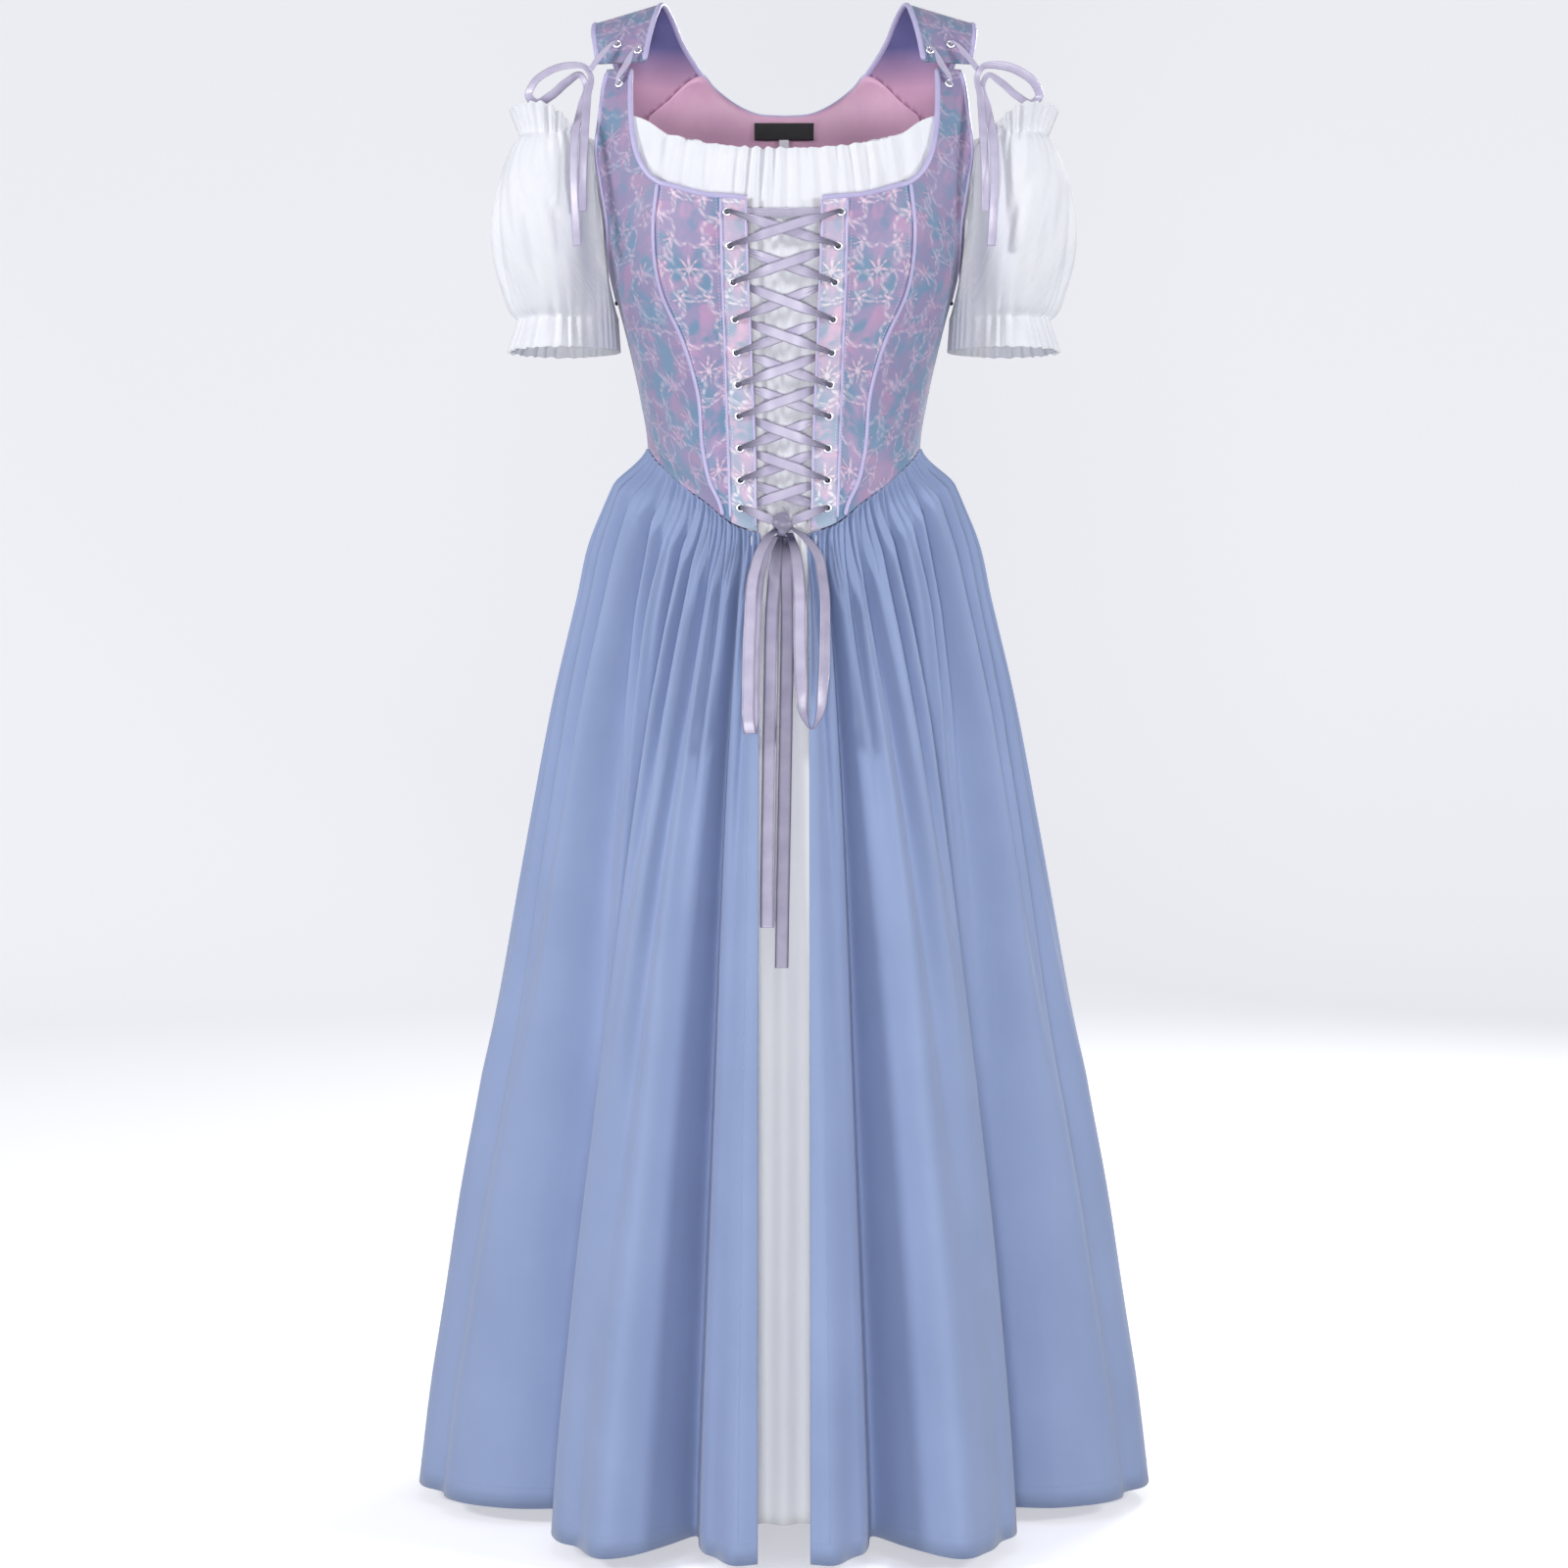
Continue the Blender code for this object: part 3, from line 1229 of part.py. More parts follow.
def build_ribbons():
    ribbon = principled("ribbon_satin", RIBBON)
    add_ribbon("lace_left", lace_shape(-1), ribbon)
    add_ribbon("lace_right", lace_shape(1), ribbon)
    add_knot(ribbon)
    add_ribbon("bow_loop_left", hanging_shape(LOOP_LEFT, False), ribbon)
    add_ribbon("bow_loop_right", hanging_shape(LOOP_RIGHT, False), ribbon)
    add_ribbon("bow_tail_short", hanging_shape(TAIL_SHORT, True), ribbon)
    add_ribbon("bow_tail_long", hanging_shape(TAIL_LONG, True), ribbon)
    for side, name in ((1, "right"), (-1, "left")):
        add_ribbon(f"shoulder_lace_{name}", shoulder_lace_shape(side), ribbon)
        add_ribbon(f"shoulder_bow_{name}", shoulder_bow_shape(side), ribbon)


def build_blouse():
    white = principled("white_cloth", WHITE_CLOTH)
    cloth("blouse_front", [(blouse_front, BLOUSE_COLUMNS, BLOUSE_ROW_COUNT)], BLOUSE_WALL, white)
    both_sides("sleeve", sleeve, SLEEVE_COLUMNS, SLEEVE_ROWS, SLEEVE_WALL, white)
    cloth("underskirt_panel", [(underskirt, PANEL_COLUMNS, PANEL_ROWS)], SKIRT_WALL, white)


def build_skirt():
    blue = principled("skirt_cloth", SKIRT_CLOTH)
    both_sides("skirt_front", skirt_front, FRONT_COLUMNS, SKIRT_ROWS, SKIRT_WALL, blue)
    cloth("skirt_back", [(skirt_back, SKIRT_BACK_COLUMNS, SKIRT_ROWS)], SKIRT_WALL, blue)


def main():
    for thing in list(bpy.data.objects):
        bpy.data.objects.remove(thing)
    for name in (DRESS, CUTTERS):
        bpy.context.scene.collection.children.link(bpy.data.collections.new(name))
    build_eyelets(*build_bodice())
    build_ribbons()
    build_blouse()
    build_skirt()


main()
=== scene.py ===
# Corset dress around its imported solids: cloth, trims, lacing and light.
# Metres, +Z up, front towards -Y. Left and right are as seen from the front.
import json

import bpy
import numpy as np
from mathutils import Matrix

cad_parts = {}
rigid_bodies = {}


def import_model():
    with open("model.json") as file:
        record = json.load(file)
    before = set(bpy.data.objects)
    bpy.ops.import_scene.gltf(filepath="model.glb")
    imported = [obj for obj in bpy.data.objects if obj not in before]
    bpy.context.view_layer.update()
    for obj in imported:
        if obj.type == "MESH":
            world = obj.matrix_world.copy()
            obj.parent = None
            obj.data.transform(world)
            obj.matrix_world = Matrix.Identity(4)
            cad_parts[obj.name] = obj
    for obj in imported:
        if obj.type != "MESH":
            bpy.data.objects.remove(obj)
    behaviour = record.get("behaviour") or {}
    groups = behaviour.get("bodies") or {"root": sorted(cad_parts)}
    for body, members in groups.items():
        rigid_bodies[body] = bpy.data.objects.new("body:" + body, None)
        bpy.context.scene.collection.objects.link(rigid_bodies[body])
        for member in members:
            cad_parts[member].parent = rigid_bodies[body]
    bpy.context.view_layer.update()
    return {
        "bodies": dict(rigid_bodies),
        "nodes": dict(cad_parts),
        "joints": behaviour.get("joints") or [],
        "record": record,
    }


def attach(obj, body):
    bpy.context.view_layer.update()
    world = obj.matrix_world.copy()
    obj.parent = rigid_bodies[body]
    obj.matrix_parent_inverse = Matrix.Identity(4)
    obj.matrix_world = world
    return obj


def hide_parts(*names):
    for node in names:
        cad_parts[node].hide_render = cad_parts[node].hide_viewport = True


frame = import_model()
print("frame loaded:", len(frame["nodes"]), "nodes")

# Degrees in a quarter, half and full turn, and parts in a hundred
quarterTurn, halfTurn, fullTurn, percent = 90.0, 180.0, 360.0, 100.0
sideAngle = np.radians(quarterTurn)
backAngle = np.radians(halfTurn)
# Step for finding directions, distance under which two points of a path are one, decimals to which
# corners that join agree, factors that turn +X into -X, and the ends of the sine along a crease
tinyStep = 0.0001
samePlace = 1e-6
joinDecimals = 6
leftwards = np.array((-1.0, 1.0, 1.0))
creaseEnds = (0.04, 0.96)


def table(names, *rows):
    # short table as a dictionary of named columns
    return dict(zip(names.split(), np.array(rows, float).T))


def mix(a, b, share):
    return a + (b - a) * share


def ease(share):
    # 0 to 1 with soft ends: 3 s^2 - 2 s^3
    share = np.clip(share, 0.0, 1.0)
    return share * share * (3 - 2 * share)


def unit(vectors):
    return vectors / np.linalg.norm(vectors, axis=-1, keepdims=True)


def smooth(rows, key, name, at):
    # cubic through the rows of a table, with the slope at each row that of its neighbours' chord
    places, values = rows[key], rows[name]
    slopes = np.gradient(values, places)
    at = np.clip(at, places[0], places[-1])
    index = np.clip(np.searchsorted(places, at) - 1, 0, len(places) - 2)
    span = places[index + 1] - places[index]
    t = (at - places[index]) / span
    return (
        (2 * t**3 - 3 * t**2 + 1) * values[index]
        + (t**3 - 2 * t**2 + t) * span * slopes[index]
        + (3 * t**2 - 2 * t**3) * values[index + 1]
        + (t**3 - t**2) * span * slopes[index + 1]
    )


def throughPoints(points, count):
    # smooth curve through points, read at equal steps of its length
    points = np.asarray(points, float)
    steps = np.linalg.norm(np.diff(points[:, :3], axis=0), axis=1)
    points = points[np.append(True, steps > samePlace)]
    along = np.append(0.0, np.cumsum(steps[steps > samePlace]))
    rows = {"along": along, **{i: points[:, i] for i in range(points.shape[1])}}
    at = np.linspace(0, along[-1], count)
    return np.stack([smooth(rows, "along", i, at) for i in range(points.shape[1])], -1)


def troughs(x, y, rows):
    # sum of soft creases: each is a straight line from (x0, y0) to (x1, y1), deepest in its middle,
    # with a bell-shaped section of the row's width
    total = np.zeros(np.broadcast(x, y).shape)
    for x0, y0, x1, y1, width, depth in rows:
        dx, dy = x1 - x0, y1 - y0
        along = ((x - x0) * dx + (y - y0) * dy) / (dx * dx + dy * dy)
        off = np.hypot(x - x0 - np.clip(along, 0, 1) * dx, y - y0 - np.clip(along, 0, 1) * dy)
        fade = np.sin(np.pi * np.clip(along, *creaseEnds))
        total = total + depth * np.exp(-((off / width) ** 2)) * fade
    return total


# Bodice: sections of the figure at each height, its seams and edges, and its own sizes
figureRows = table(
    "height halfBreadth frontDepth backDepth",
    (-0.515, 0.15, 0.1155, 0.1),
    (-0.425, 0.132, 0.106, 0.085),
    (-0.38, 0.139, 0.112, 0.088),
    (-0.33, 0.15, 0.121, 0.095),
    (-0.28, 0.163, 0.128, 0.1),
    (-0.25, 0.171, 0.13, 0.102),
    (-0.2, 0.185, 0.123, 0.103),
    (-0.15, 0.195, 0.109, 0.1),
    (-0.1, 0.199, 0.088, 0.092),
    (-0.06, 0.198, 0.062, 0.078),
    (-0.02, 0.19, 0.03, 0.045),
)
waistSeam = table(
    "degrees height",
    (0.0, -0.5147),
    (14.6, -0.511),
    (24.0, -0.504),
    (36.0, -0.4846),
    (47.0, -0.47),
    (65.0, -0.445),
    (82.0, -0.4275),
    (90.0, -0.4256),
    (135.0, -0.4262),
    (180.0, -0.428),
)
frontSeams = table(
    "height gapEdge placketSeam princessSeam",
    (-0.515, 0.024, 0.049, 0.055),
    (-0.488, 0.025, 0.05, 0.059),
    (-0.465, 0.0254, 0.0508, 0.069),
    (-0.439, 0.0258, 0.0516, 0.075),
    (-0.381, 0.0279, 0.0535, 0.0805),
    (-0.334, 0.0298, 0.0549, 0.094),
    (-0.285, 0.0317, 0.0566, 0.115),
    (-0.23, 0.0336, 0.058, 0.122),
    (-0.1832, 0.0345, 0.059, 0.118),
)
neckline = table(
    "across height",
    (0.03, -0.201),
    (0.0545, -0.1985),
    (0.0717, -0.1968),
    (0.09, -0.192),
    (0.103, -0.1875),
    (0.118, -0.1832),
)
neckSide = table(
    "height across",
    (-0.1832, 0.118),
    (-0.177, 0.1247),
    (-0.168, 0.1315),
    (-0.159, 0.1361),
    (-0.1365, 0.142),
    (-0.109, 0.1443),
    (-0.067, 0.145),
)
sideFrontRows = table(
    "station innerHeight outerHeight outerDegrees",
    (0, -0.499, -0.4256, 90.0),
    (1, -0.465, -0.405, 90.0),
    (2, -0.439, -0.385, 90.0),
    (3, -0.381, -0.345, 90.0),
    (4, -0.334, -0.315, 90.0),
    (5, -0.285, -0.287, 90.0),
    (6, -0.235, -0.25, 80.0),
    (7, -0.1832, -0.2178, 73.5),
    (8, -0.159, -0.18, 73.5),
    (9, -0.1365, -0.15, 75.0),
    (10, -0.109, -0.112, 74.5),
    (11, -0.067, -0.067, 77.0),
)
backEdges = table(
    "station centreHeight sideHeight sideDegrees",
    (0, -0.428, -0.4256, 90.0),
    (1, -0.38, -0.38, 90.0),
    (2, -0.33, -0.335, 90.0),
    (3, -0.285, -0.287, 90.0),
    (4, -0.235, -0.245, 97.0),
    (5, -0.185, -0.2, 104.0),
    (6, -0.145, -0.16, 110.0),
    (7, -0.115, -0.128, 113.5),
    (8, -0.0897, -0.105, 114.0),
)
backTop = table(
    "share degrees height",
    (0.0, 180.0, -0.0897),
    (0.2, 162.4, -0.0874),
    (0.35, 150.5, -0.079),
    (0.5, 138.0, -0.064),
    (0.6, 130.0, -0.052),
    (0.8, 121.5, -0.0785),
    (1.0, 114.0, -0.105),
)
strapRows = table(
    "station neckX neckY neckZ armX armY armZ",
    (1, 0.0985, 0.047, -0.0275, 0.164, 0.044, -0.056),
    (2, 0.109, 0.025, -0.005, 0.175, 0.022, -0.027),
    (3, 0.1173, 0.0000, 0.0045, 0.1835, 0.0000, -0.0155),
    (4, 0.1225, -0.023, -0.01, 0.185, -0.017, -0.026),
    (5, 0.128, -0.039, -0.034, 0.1825, -0.027, -0.042),
    (6, 0.1325, -0.05, -0.061, 0.1795, -0.032, -0.06),
)
bodice = {
    "wall": 0.002, "liningGap": 0.0009, "power": 2.25, "halfSeamGap": 0.00025, "sideGapDegrees": 0.1,
    "cornerHeight": -0.1832, "cornerStation": 7, "strapRootShare": 0.6, "underarmShare": 5 / 11,
    "widest": 0.999,
}


sectionColumns = ("halfBreadth", "frontDepth", "backDepth")


def section(angle, halfBreadth, frontDepth, backDepth, power):
    # distance from the axis to a rounded oblong: (|sin/breadth|^p + |cos/depth|^p)^(-1/p)
    depth = np.where(np.cos(angle) > 0, frontDepth, backDepth)
    sideways = np.abs(np.sin(angle) / halfBreadth) ** power
    return (sideways + np.abs(np.cos(angle) / depth) ** power) ** (-1 / power)


def around(angle, radius, height):
    # point at a distance from the axis, the angle measured from the front towards +X
    return np.stack(np.broadcast_arrays(radius * np.sin(angle), -radius * np.cos(angle), height), -1)


def figureRadius(angle, height):
    # the figure's section at a height, from the table of sections
    columns = [smooth(figureRows, "height", name, height) for name in sectionColumns]
    return section(angle, *columns, bodice["power"])


def figure(angle, height, lift=0.0):
    # point of the bodice's outer face, moved by lift along the cross product of its two tangents
    angle, height = np.broadcast_arrays(np.asarray(angle, float), np.asarray(height, float))
    at = lambda a, h: around(a, figureRadius(a, h), h)
    sideways = at(angle + tinyStep, height) - at(angle - tinyStep, height)
    upwards = at(angle, height + tinyStep) - at(angle, height - tinyStep)
    return at(angle, height) + np.asarray(lift)[..., None] * unit(np.cross(sideways, upwards))


def frontAngle(across, height):
    # angle of the point of the front that lies across from the centre line: atan(x / depth at x)
    half = smooth(figureRows, "height", "halfBreadth", height)
    depth = smooth(figureRows, "height", "frontDepth", height)
    share = np.clip(np.abs(across) / half, 0, bodice["widest"])
    return np.arctan2(across, depth * (1 - share ** bodice["power"]) ** (1 / bodice["power"]))


def fromFront(angle):
    # degrees from the front, the same on both sides
    return np.abs(np.degrees(angle + np.pi) % fullTurn - halfTurn)


def waistHeight(angle):
    return smooth(waistSeam, "degrees", "height", fromFront(angle))


def frontStrip(u, v, inner, outer, lift=0.0):
    # piece of the front between two seams: across is mixed by u, height by v from waist to neckline
    def acrossAt(height):
        low = smooth(frontSeams, "height", inner, height) + bodice["halfSeamGap"]
        high = smooth(frontSeams, "height", outer, height) - bodice["halfSeamGap"]
        return mix(low, high, u)

    waistGuess = sideFrontRows["innerHeight"][0]
    bottom = waistHeight(frontAngle(acrossAt(waistGuess), waistGuess))
    top = smooth(neckline, "across", "height", acrossAt(bodice["cornerHeight"]))
    seamHeight = smooth(sideFrontRows, "station", "innerHeight", v * bodice["cornerStation"])
    seamShare = (seamHeight - waistGuess) / (bodice["cornerHeight"] - waistGuess)
    height = mix(bottom, top, mix(v, seamShare, u if outer == "princessSeam" else 0.0))
    return figure(frontAngle(acrossAt(height), height), height, lift)


def sideFrontInner(height):
    # the princess seam and, above the corner, the neck edge of the strap
    seam = smooth(frontSeams, "height", "princessSeam", height)
    return np.where(height < bodice["cornerHeight"], seam, smooth(neckSide, "height", "across", height))


def sideFront(u, v, lift=0.0):
    # side front with its strap: angle and height are mixed by u between two edges given by station
    station = v * sideFrontRows["station"][-1]
    innerHeight = smooth(sideFrontRows, "station", "innerHeight", station)
    outerHeight = smooth(sideFrontRows, "station", "outerHeight", station)
    outerDegrees = np.minimum(smooth(sideFrontRows, "station", "outerDegrees", station), quarterTurn)
    outerAngle = np.radians(outerDegrees - bodice["sideGapDegrees"])
    innerAngle = frontAngle(sideFrontInner(innerHeight) + bodice["halfSeamGap"], innerHeight)
    angle = mix(innerAngle, outerAngle, u)
    lowInner, lowOuter = sideFrontRows["innerHeight"][0], sideFrontRows["outerHeight"][0]
    waistAngle = mix(frontAngle(sideFrontInner(lowInner), lowInner), sideAngle, u)
    height = mix(innerHeight, outerHeight, u)
    height = height + (1 - ease(station)) * (waistHeight(waistAngle) - mix(lowInner, lowOuter, u))
    return figure(angle, height, lift)


def backHalf(share, v, lift=0.0):
    # half of the back, from its centre (share 0) to the side seam and armhole (share 1)
    station = v * backEdges["station"][-1]
    centreHeight = smooth(backEdges, "station", "centreHeight", station)
    sideHeight = smooth(backEdges, "station", "sideHeight", station)
    sideDegrees = np.maximum(smooth(backEdges, "station", "sideDegrees", station), quarterTurn)
    sideDegrees = sideDegrees + bodice["sideGapDegrees"]
    levelTop = mix(backEdges["centreHeight"][-1], backEdges["sideHeight"][-1], share)
    levelDegrees = mix(halfTurn, backEdges["sideDegrees"][-1], share)
    rise = smooth(backTop, "share", "height", share) - levelTop
    turn = smooth(backTop, "share", "degrees", share) - levelDegrees
    angle = np.radians(mix(halfTurn, sideDegrees, share) + v * turn)
    height = mix(centreHeight, sideHeight, share) + v**2 * rise
    height = mix(height, waistHeight(angle), 1 - ease(station))
    return figure(angle, height, lift)


def backPanel(u, v, lift=0.0):
    # whole back, from the +X side seam (u = 0) to the other
    place = backHalf(np.abs(1 - 2 * u), v, lift)
    place[..., 0] *= np.where(u > 0.5, -1, 1)
    return place


def strap(u, v):
    # back strap at +X: two edge curves mixed by u, its root drawn onto the top edge of the back
    rootNeck = backHalf(np.array(bodice["strapRootShare"]), np.array(1.0))
    rootArm = backHalf(np.array(1.0), np.array(1.0))
    stations = np.append(0.0, strapRows["station"])
    station = v * stations[-1]

    def edge(prefix, root):
        rows = {"station": stations}
        for index, axis in enumerate("XYZ"):
            rows[axis] = np.append(root[index], strapRows[prefix + axis])
        return np.stack([smooth(rows, "station", axis, station) for axis in "XYZ"], -1)

    place = mix(edge("arm", rootArm), edge("neck", rootNeck), u[..., None])
    root = backHalf(mix(1.0, bodice["strapRootShare"], u), np.ones_like(u))
    straightRoot = mix(rootArm, rootNeck, u[..., None])
    return place + (1 - ease(station))[..., None] * (root - straightRoot)


# How gathers wander round a seam: waves as their number and start, for the places and for the depths
wander = {"slow": (3, 0.4), "quick": (7, 1.9), "quickShare": 0.6, "deep": (5, 1.1), "beat": 2}
creaseSpread = 1.5


def uneven(angle, count, drift, sway):
    # gathers of unlike widths and depths: a cosine whose phase and height wander round the seam
    slow, quick, deep = (wander[name][0] * angle + wander[name][1] for name in ("slow", "quick", "deep"))
    phase = count * angle + drift * np.sin(slow) + wander["quickShare"] * drift * np.sin(quick)
    return np.cos(phase) * (1 - sway + sway * np.cos(deep) * np.cos(wander["beat"] * angle))


def fallingCreases(place, below, rows):
    # creases that start at a seam: each is a bell-shaped trough that widens and fades on its way down
    total = np.zeros(np.broadcast(place, below).shape)
    for at, width, depth, length, lean in rows:
        share = np.clip(below / length, 0, 1)
        spread = width * (1 + creaseSpread * share)
        total = total + depth * np.exp(-(((place - at - lean * share) / spread) ** 2)) * (1 - share**2)
    return total


# White blouse front: rows of its grid from the waist up, its top edge and its sizes
blouseRows = table(
    "station centreHeight sideHeight sideDegrees",
    (0, -0.5, -0.492, 15.0),
    (1, -0.425, -0.415, 22.0),
    (2, -0.345, -0.335, 26.0),
    (3, -0.265, -0.25, 42.0),
    (4, -0.2, -0.178, 64.0),
    (5, -0.149, -0.113, 66.0),
)
blouseTop = table(
    "degrees height",
    (0.0, -0.149),
    (18.0, -0.1478),
    (35.0, -0.1433),
    (46.8, -0.137),
    (54.0, -0.13),
    (58.3, -0.122),
    (66.0, -0.113),
)
blouse = {
    "wall": 0.0012, "depth": 0.0086, "sewnShare": 0.3, "sewnStation": 3, "levelStation": 4,
    "gathers": 52, "gatherDepth": 0.0022, "creaseScale": 2.4, "tuck": 0.008, "tuckDepth": 0.0045,
    "unevenness": (2.2, 0.35), "lowShare": 0.35, "fadeLength": 0.14,
    "hemRoll": 0.0007, "hemBelow": 0.004, "hemWidth": 0.003,
}
# Creases, listed one by one. Blouse: degrees from the front, width, depth, length, lean to the side.
blouseCreases = (
    (-52.0, 1.6, 0.0012, 0.05, 2.0), (-44.5, 1.1, 0.0009, 0.085, 1.0), (-37.0, 1.7, 0.0013, 0.06, 1.5),
    (-30.5, 1.0, 0.001, 0.11, 0.5), (-24.0, 1.5, 0.0012, 0.07, 1.2), (-17.5, 1.0, 0.0008, 0.12, 0.4),
    (-10.0, 1.4, 0.0011, 0.075, 1.0), (-3.5, 1.0, 0.0009, 0.055, 0.6), (4.0, 1.3, 0.001, 0.08, -0.8),
    (11.5, 1.1, 0.0011, 0.065, -1.0), (18.0, 1.6, 0.0009, 0.115, -0.5), (25.5, 1.0, 0.0012, 0.07, -1.1),
    (31.0, 1.4, 0.001, 0.1, -0.6), (38.5, 1.7, 0.0013, 0.055, -1.6), (46.0, 1.1, 0.0009, 0.08, -0.9),
    (53.0, 1.5, 0.0011, 0.045, -1.8),
)


def blouseForm(u, v):
    # blouse front: degrees and height mixed to the sides, pushed out and in by unequal gathers
    station = v * blouseRows["station"][-1]
    sideways = 2 * u - 1
    degrees = smooth(blouseRows, "station", "sideDegrees", station) * sideways
    centreHeight = smooth(blouseRows, "station", "centreHeight", station)
    height = mix(centreHeight, smooth(blouseRows, "station", "sideHeight", station), sideways**2)
    topHeight = smooth(blouseTop, "degrees", "height", np.abs(degrees))
    height = mix(height, topHeight, ease(station - blouse["levelStation"]))
    tuck = ease(1 - station)
    height = height - blouse["tuck"] * tuck
    inside = ease((1 - np.abs(sideways)) / blouse["sewnShare"])
    angle = np.radians(degrees)
    gather = uneven(angle, blouse["gathers"], *blouse["unevenness"])
    below = topHeight - height
    fade = mix(1.0, blouse["lowShare"], ease(below / blouse["fadeLength"]))
    fine = blouse["gatherDepth"] * gather * fade * inside
    soft = blouse["creaseScale"] * fallingCreases(degrees, np.maximum(below, 0), blouseCreases) * inside
    close = bodice["wall"] + bodice["liningGap"]
    sewn = (1 - inside) * ease(station - blouse["sewnStation"])
    edge = blouse["hemRoll"] * np.exp(-((below - blouse["hemBelow"]) / blouse["hemWidth"]) ** 2)
    depth = mix(blouse["depth"], close, sewn)
    return figure(angle, height, fine - soft + edge - blouse["tuckDepth"] * tuck - depth)


# Puff sleeve: the free part of its top edge, its seam along the armhole and its sizes
sleeveTop = table(
    "degrees x y z",
    (-20.0, 0.2035, -0.062, -0.132),
    (0.0, 0.222, -0.065, -0.131),
    (45.0, 0.246, -0.046, -0.129),
    (90.0, 0.2545, 0.0000, -0.128),
    (135.0, 0.246, 0.047, -0.127),
    (180.0, 0.217, 0.067, -0.126),
    (198.0, 0.193, 0.071, -0.126),
)
sleeveFrontSeam = table(
    "degrees station",
    (-90.0, 5.0),
    (-75.0, 6.2),
    (-60.0, 7.2),
    (-48.0, 8.2),
    (-35.0, 9.2),
)
sleeveBackSeam = table(
    "degrees station",
    (212.0, 6.9),
    (225.0, 5.8),
    (240.0, 4.8),
    (255.0, 3.9),
)
sleeve = {
    "wall": 0.0012, "offset": 0.0044, "cuffCentre": 0.209, "cuffHalfBreadth": 0.049,
    "cuffHalfDepth": 0.046, "cuffHeight": -0.3025, "puff": 0.027, "headerHeight": 0.027,
    "headerFlare": 0.011, "cuffRuffleHeight": 0.031, "cuffFlare": 0.0105, "ruffleWave": 0.0034,
    "sewnWave": 0.15, "freeHalfTurn": 80.0, "sewnTurn": 50.0, "freeSpan": (-35.0, 212.0),
    "freeShare": 18 / 32, "ruffleShare": 2 / 9, "gathers": 30, "roundness": 0.68,
    "topUnevenness": (1.9, 0.3), "cuffUnevenness": (2.3, 0.3), "cuffTurn": 0.7, "topFade": 0.13,
    "cuffFade": 0.15, "topDepth": 0.003, "cuffDepth": 0.0032, "ruffleEase": 1.4, "longDepth": 0.002,
    "longTurn": 0.3, "longFolds": (13, 1.5, 0.4), "creaseEase": 1.6, "elasticWidth": 0.02,
    "elasticDepth": 0.0022, "sewnFlare": 0.2, "sewnRise": 0.0015, "ruffleLift": 0.0012,
}
# Sleeve: from (degrees, percent up) to the same, width, depth
sleeveCreases = (
    (20.0, 88.0, -12.0, 30.0, 5.0, 0.003), (42.0, 92.0, 14.0, 22.0, 4.2, 0.0034),
    (58.0, 86.0, 36.0, 34.0, 5.5, 0.0026), (74.0, 94.0, 52.0, 12.0, 4.6, 0.0036),
    (92.0, 82.0, 80.0, 26.0, 5.2, 0.0024), (108.0, 93.0, 98.0, 16.0, 4.4, 0.0032),
    (126.0, 88.0, 134.0, 32.0, 5.6, 0.0026), (143.0, 92.0, 150.0, 14.0, 4.8, 0.0032),
    (162.0, 86.0, 172.0, 30.0, 5.0, 0.0028), (182.0, 90.0, 190.0, 24.0, 4.4, 0.003),
    (4.0, 60.0, -20.0, 8.0, 4.0, 0.0026), (28.0, 48.0, 18.0, 4.0, 4.4, 0.0028),
    (66.0, 44.0, 62.0, 5.0, 4.0, 0.003), (86.0, 40.0, 90.0, 4.0, 3.8, 0.0024),
    (118.0, 46.0, 116.0, 5.0, 4.4, 0.0028), (156.0, 42.0, 158.0, 6.0, 4.2, 0.0026),
)


def sleeveTopRows():
    # top edge of the sleeve all round: its free part, and its seam along the armhole
    front = sleeveFrontSeam["station"] / sideFrontRows["station"][-1]
    back = sleeveBackSeam["station"] / backEdges["station"][-1]
    places = np.concatenate([
        sideFront(np.ones_like(front), front, sleeve["offset"]),
        np.stack([sleeveTop[axis] for axis in "xyz"], -1),
        backHalf(np.ones_like(back), back, sleeve["offset"]),
    ])
    degrees = np.concatenate([sleeveFrontSeam["degrees"], sleeveTop["degrees"], sleeveBackSeam["degrees"]])
    degrees = np.concatenate([degrees[-2:] - fullTurn, degrees, degrees[:3] + fullTurn])
    places = np.concatenate([places[-2:], places, places[:3]])
    return {"degrees": degrees, **{axis: places[:, index] for index, axis in enumerate("xyz")}}


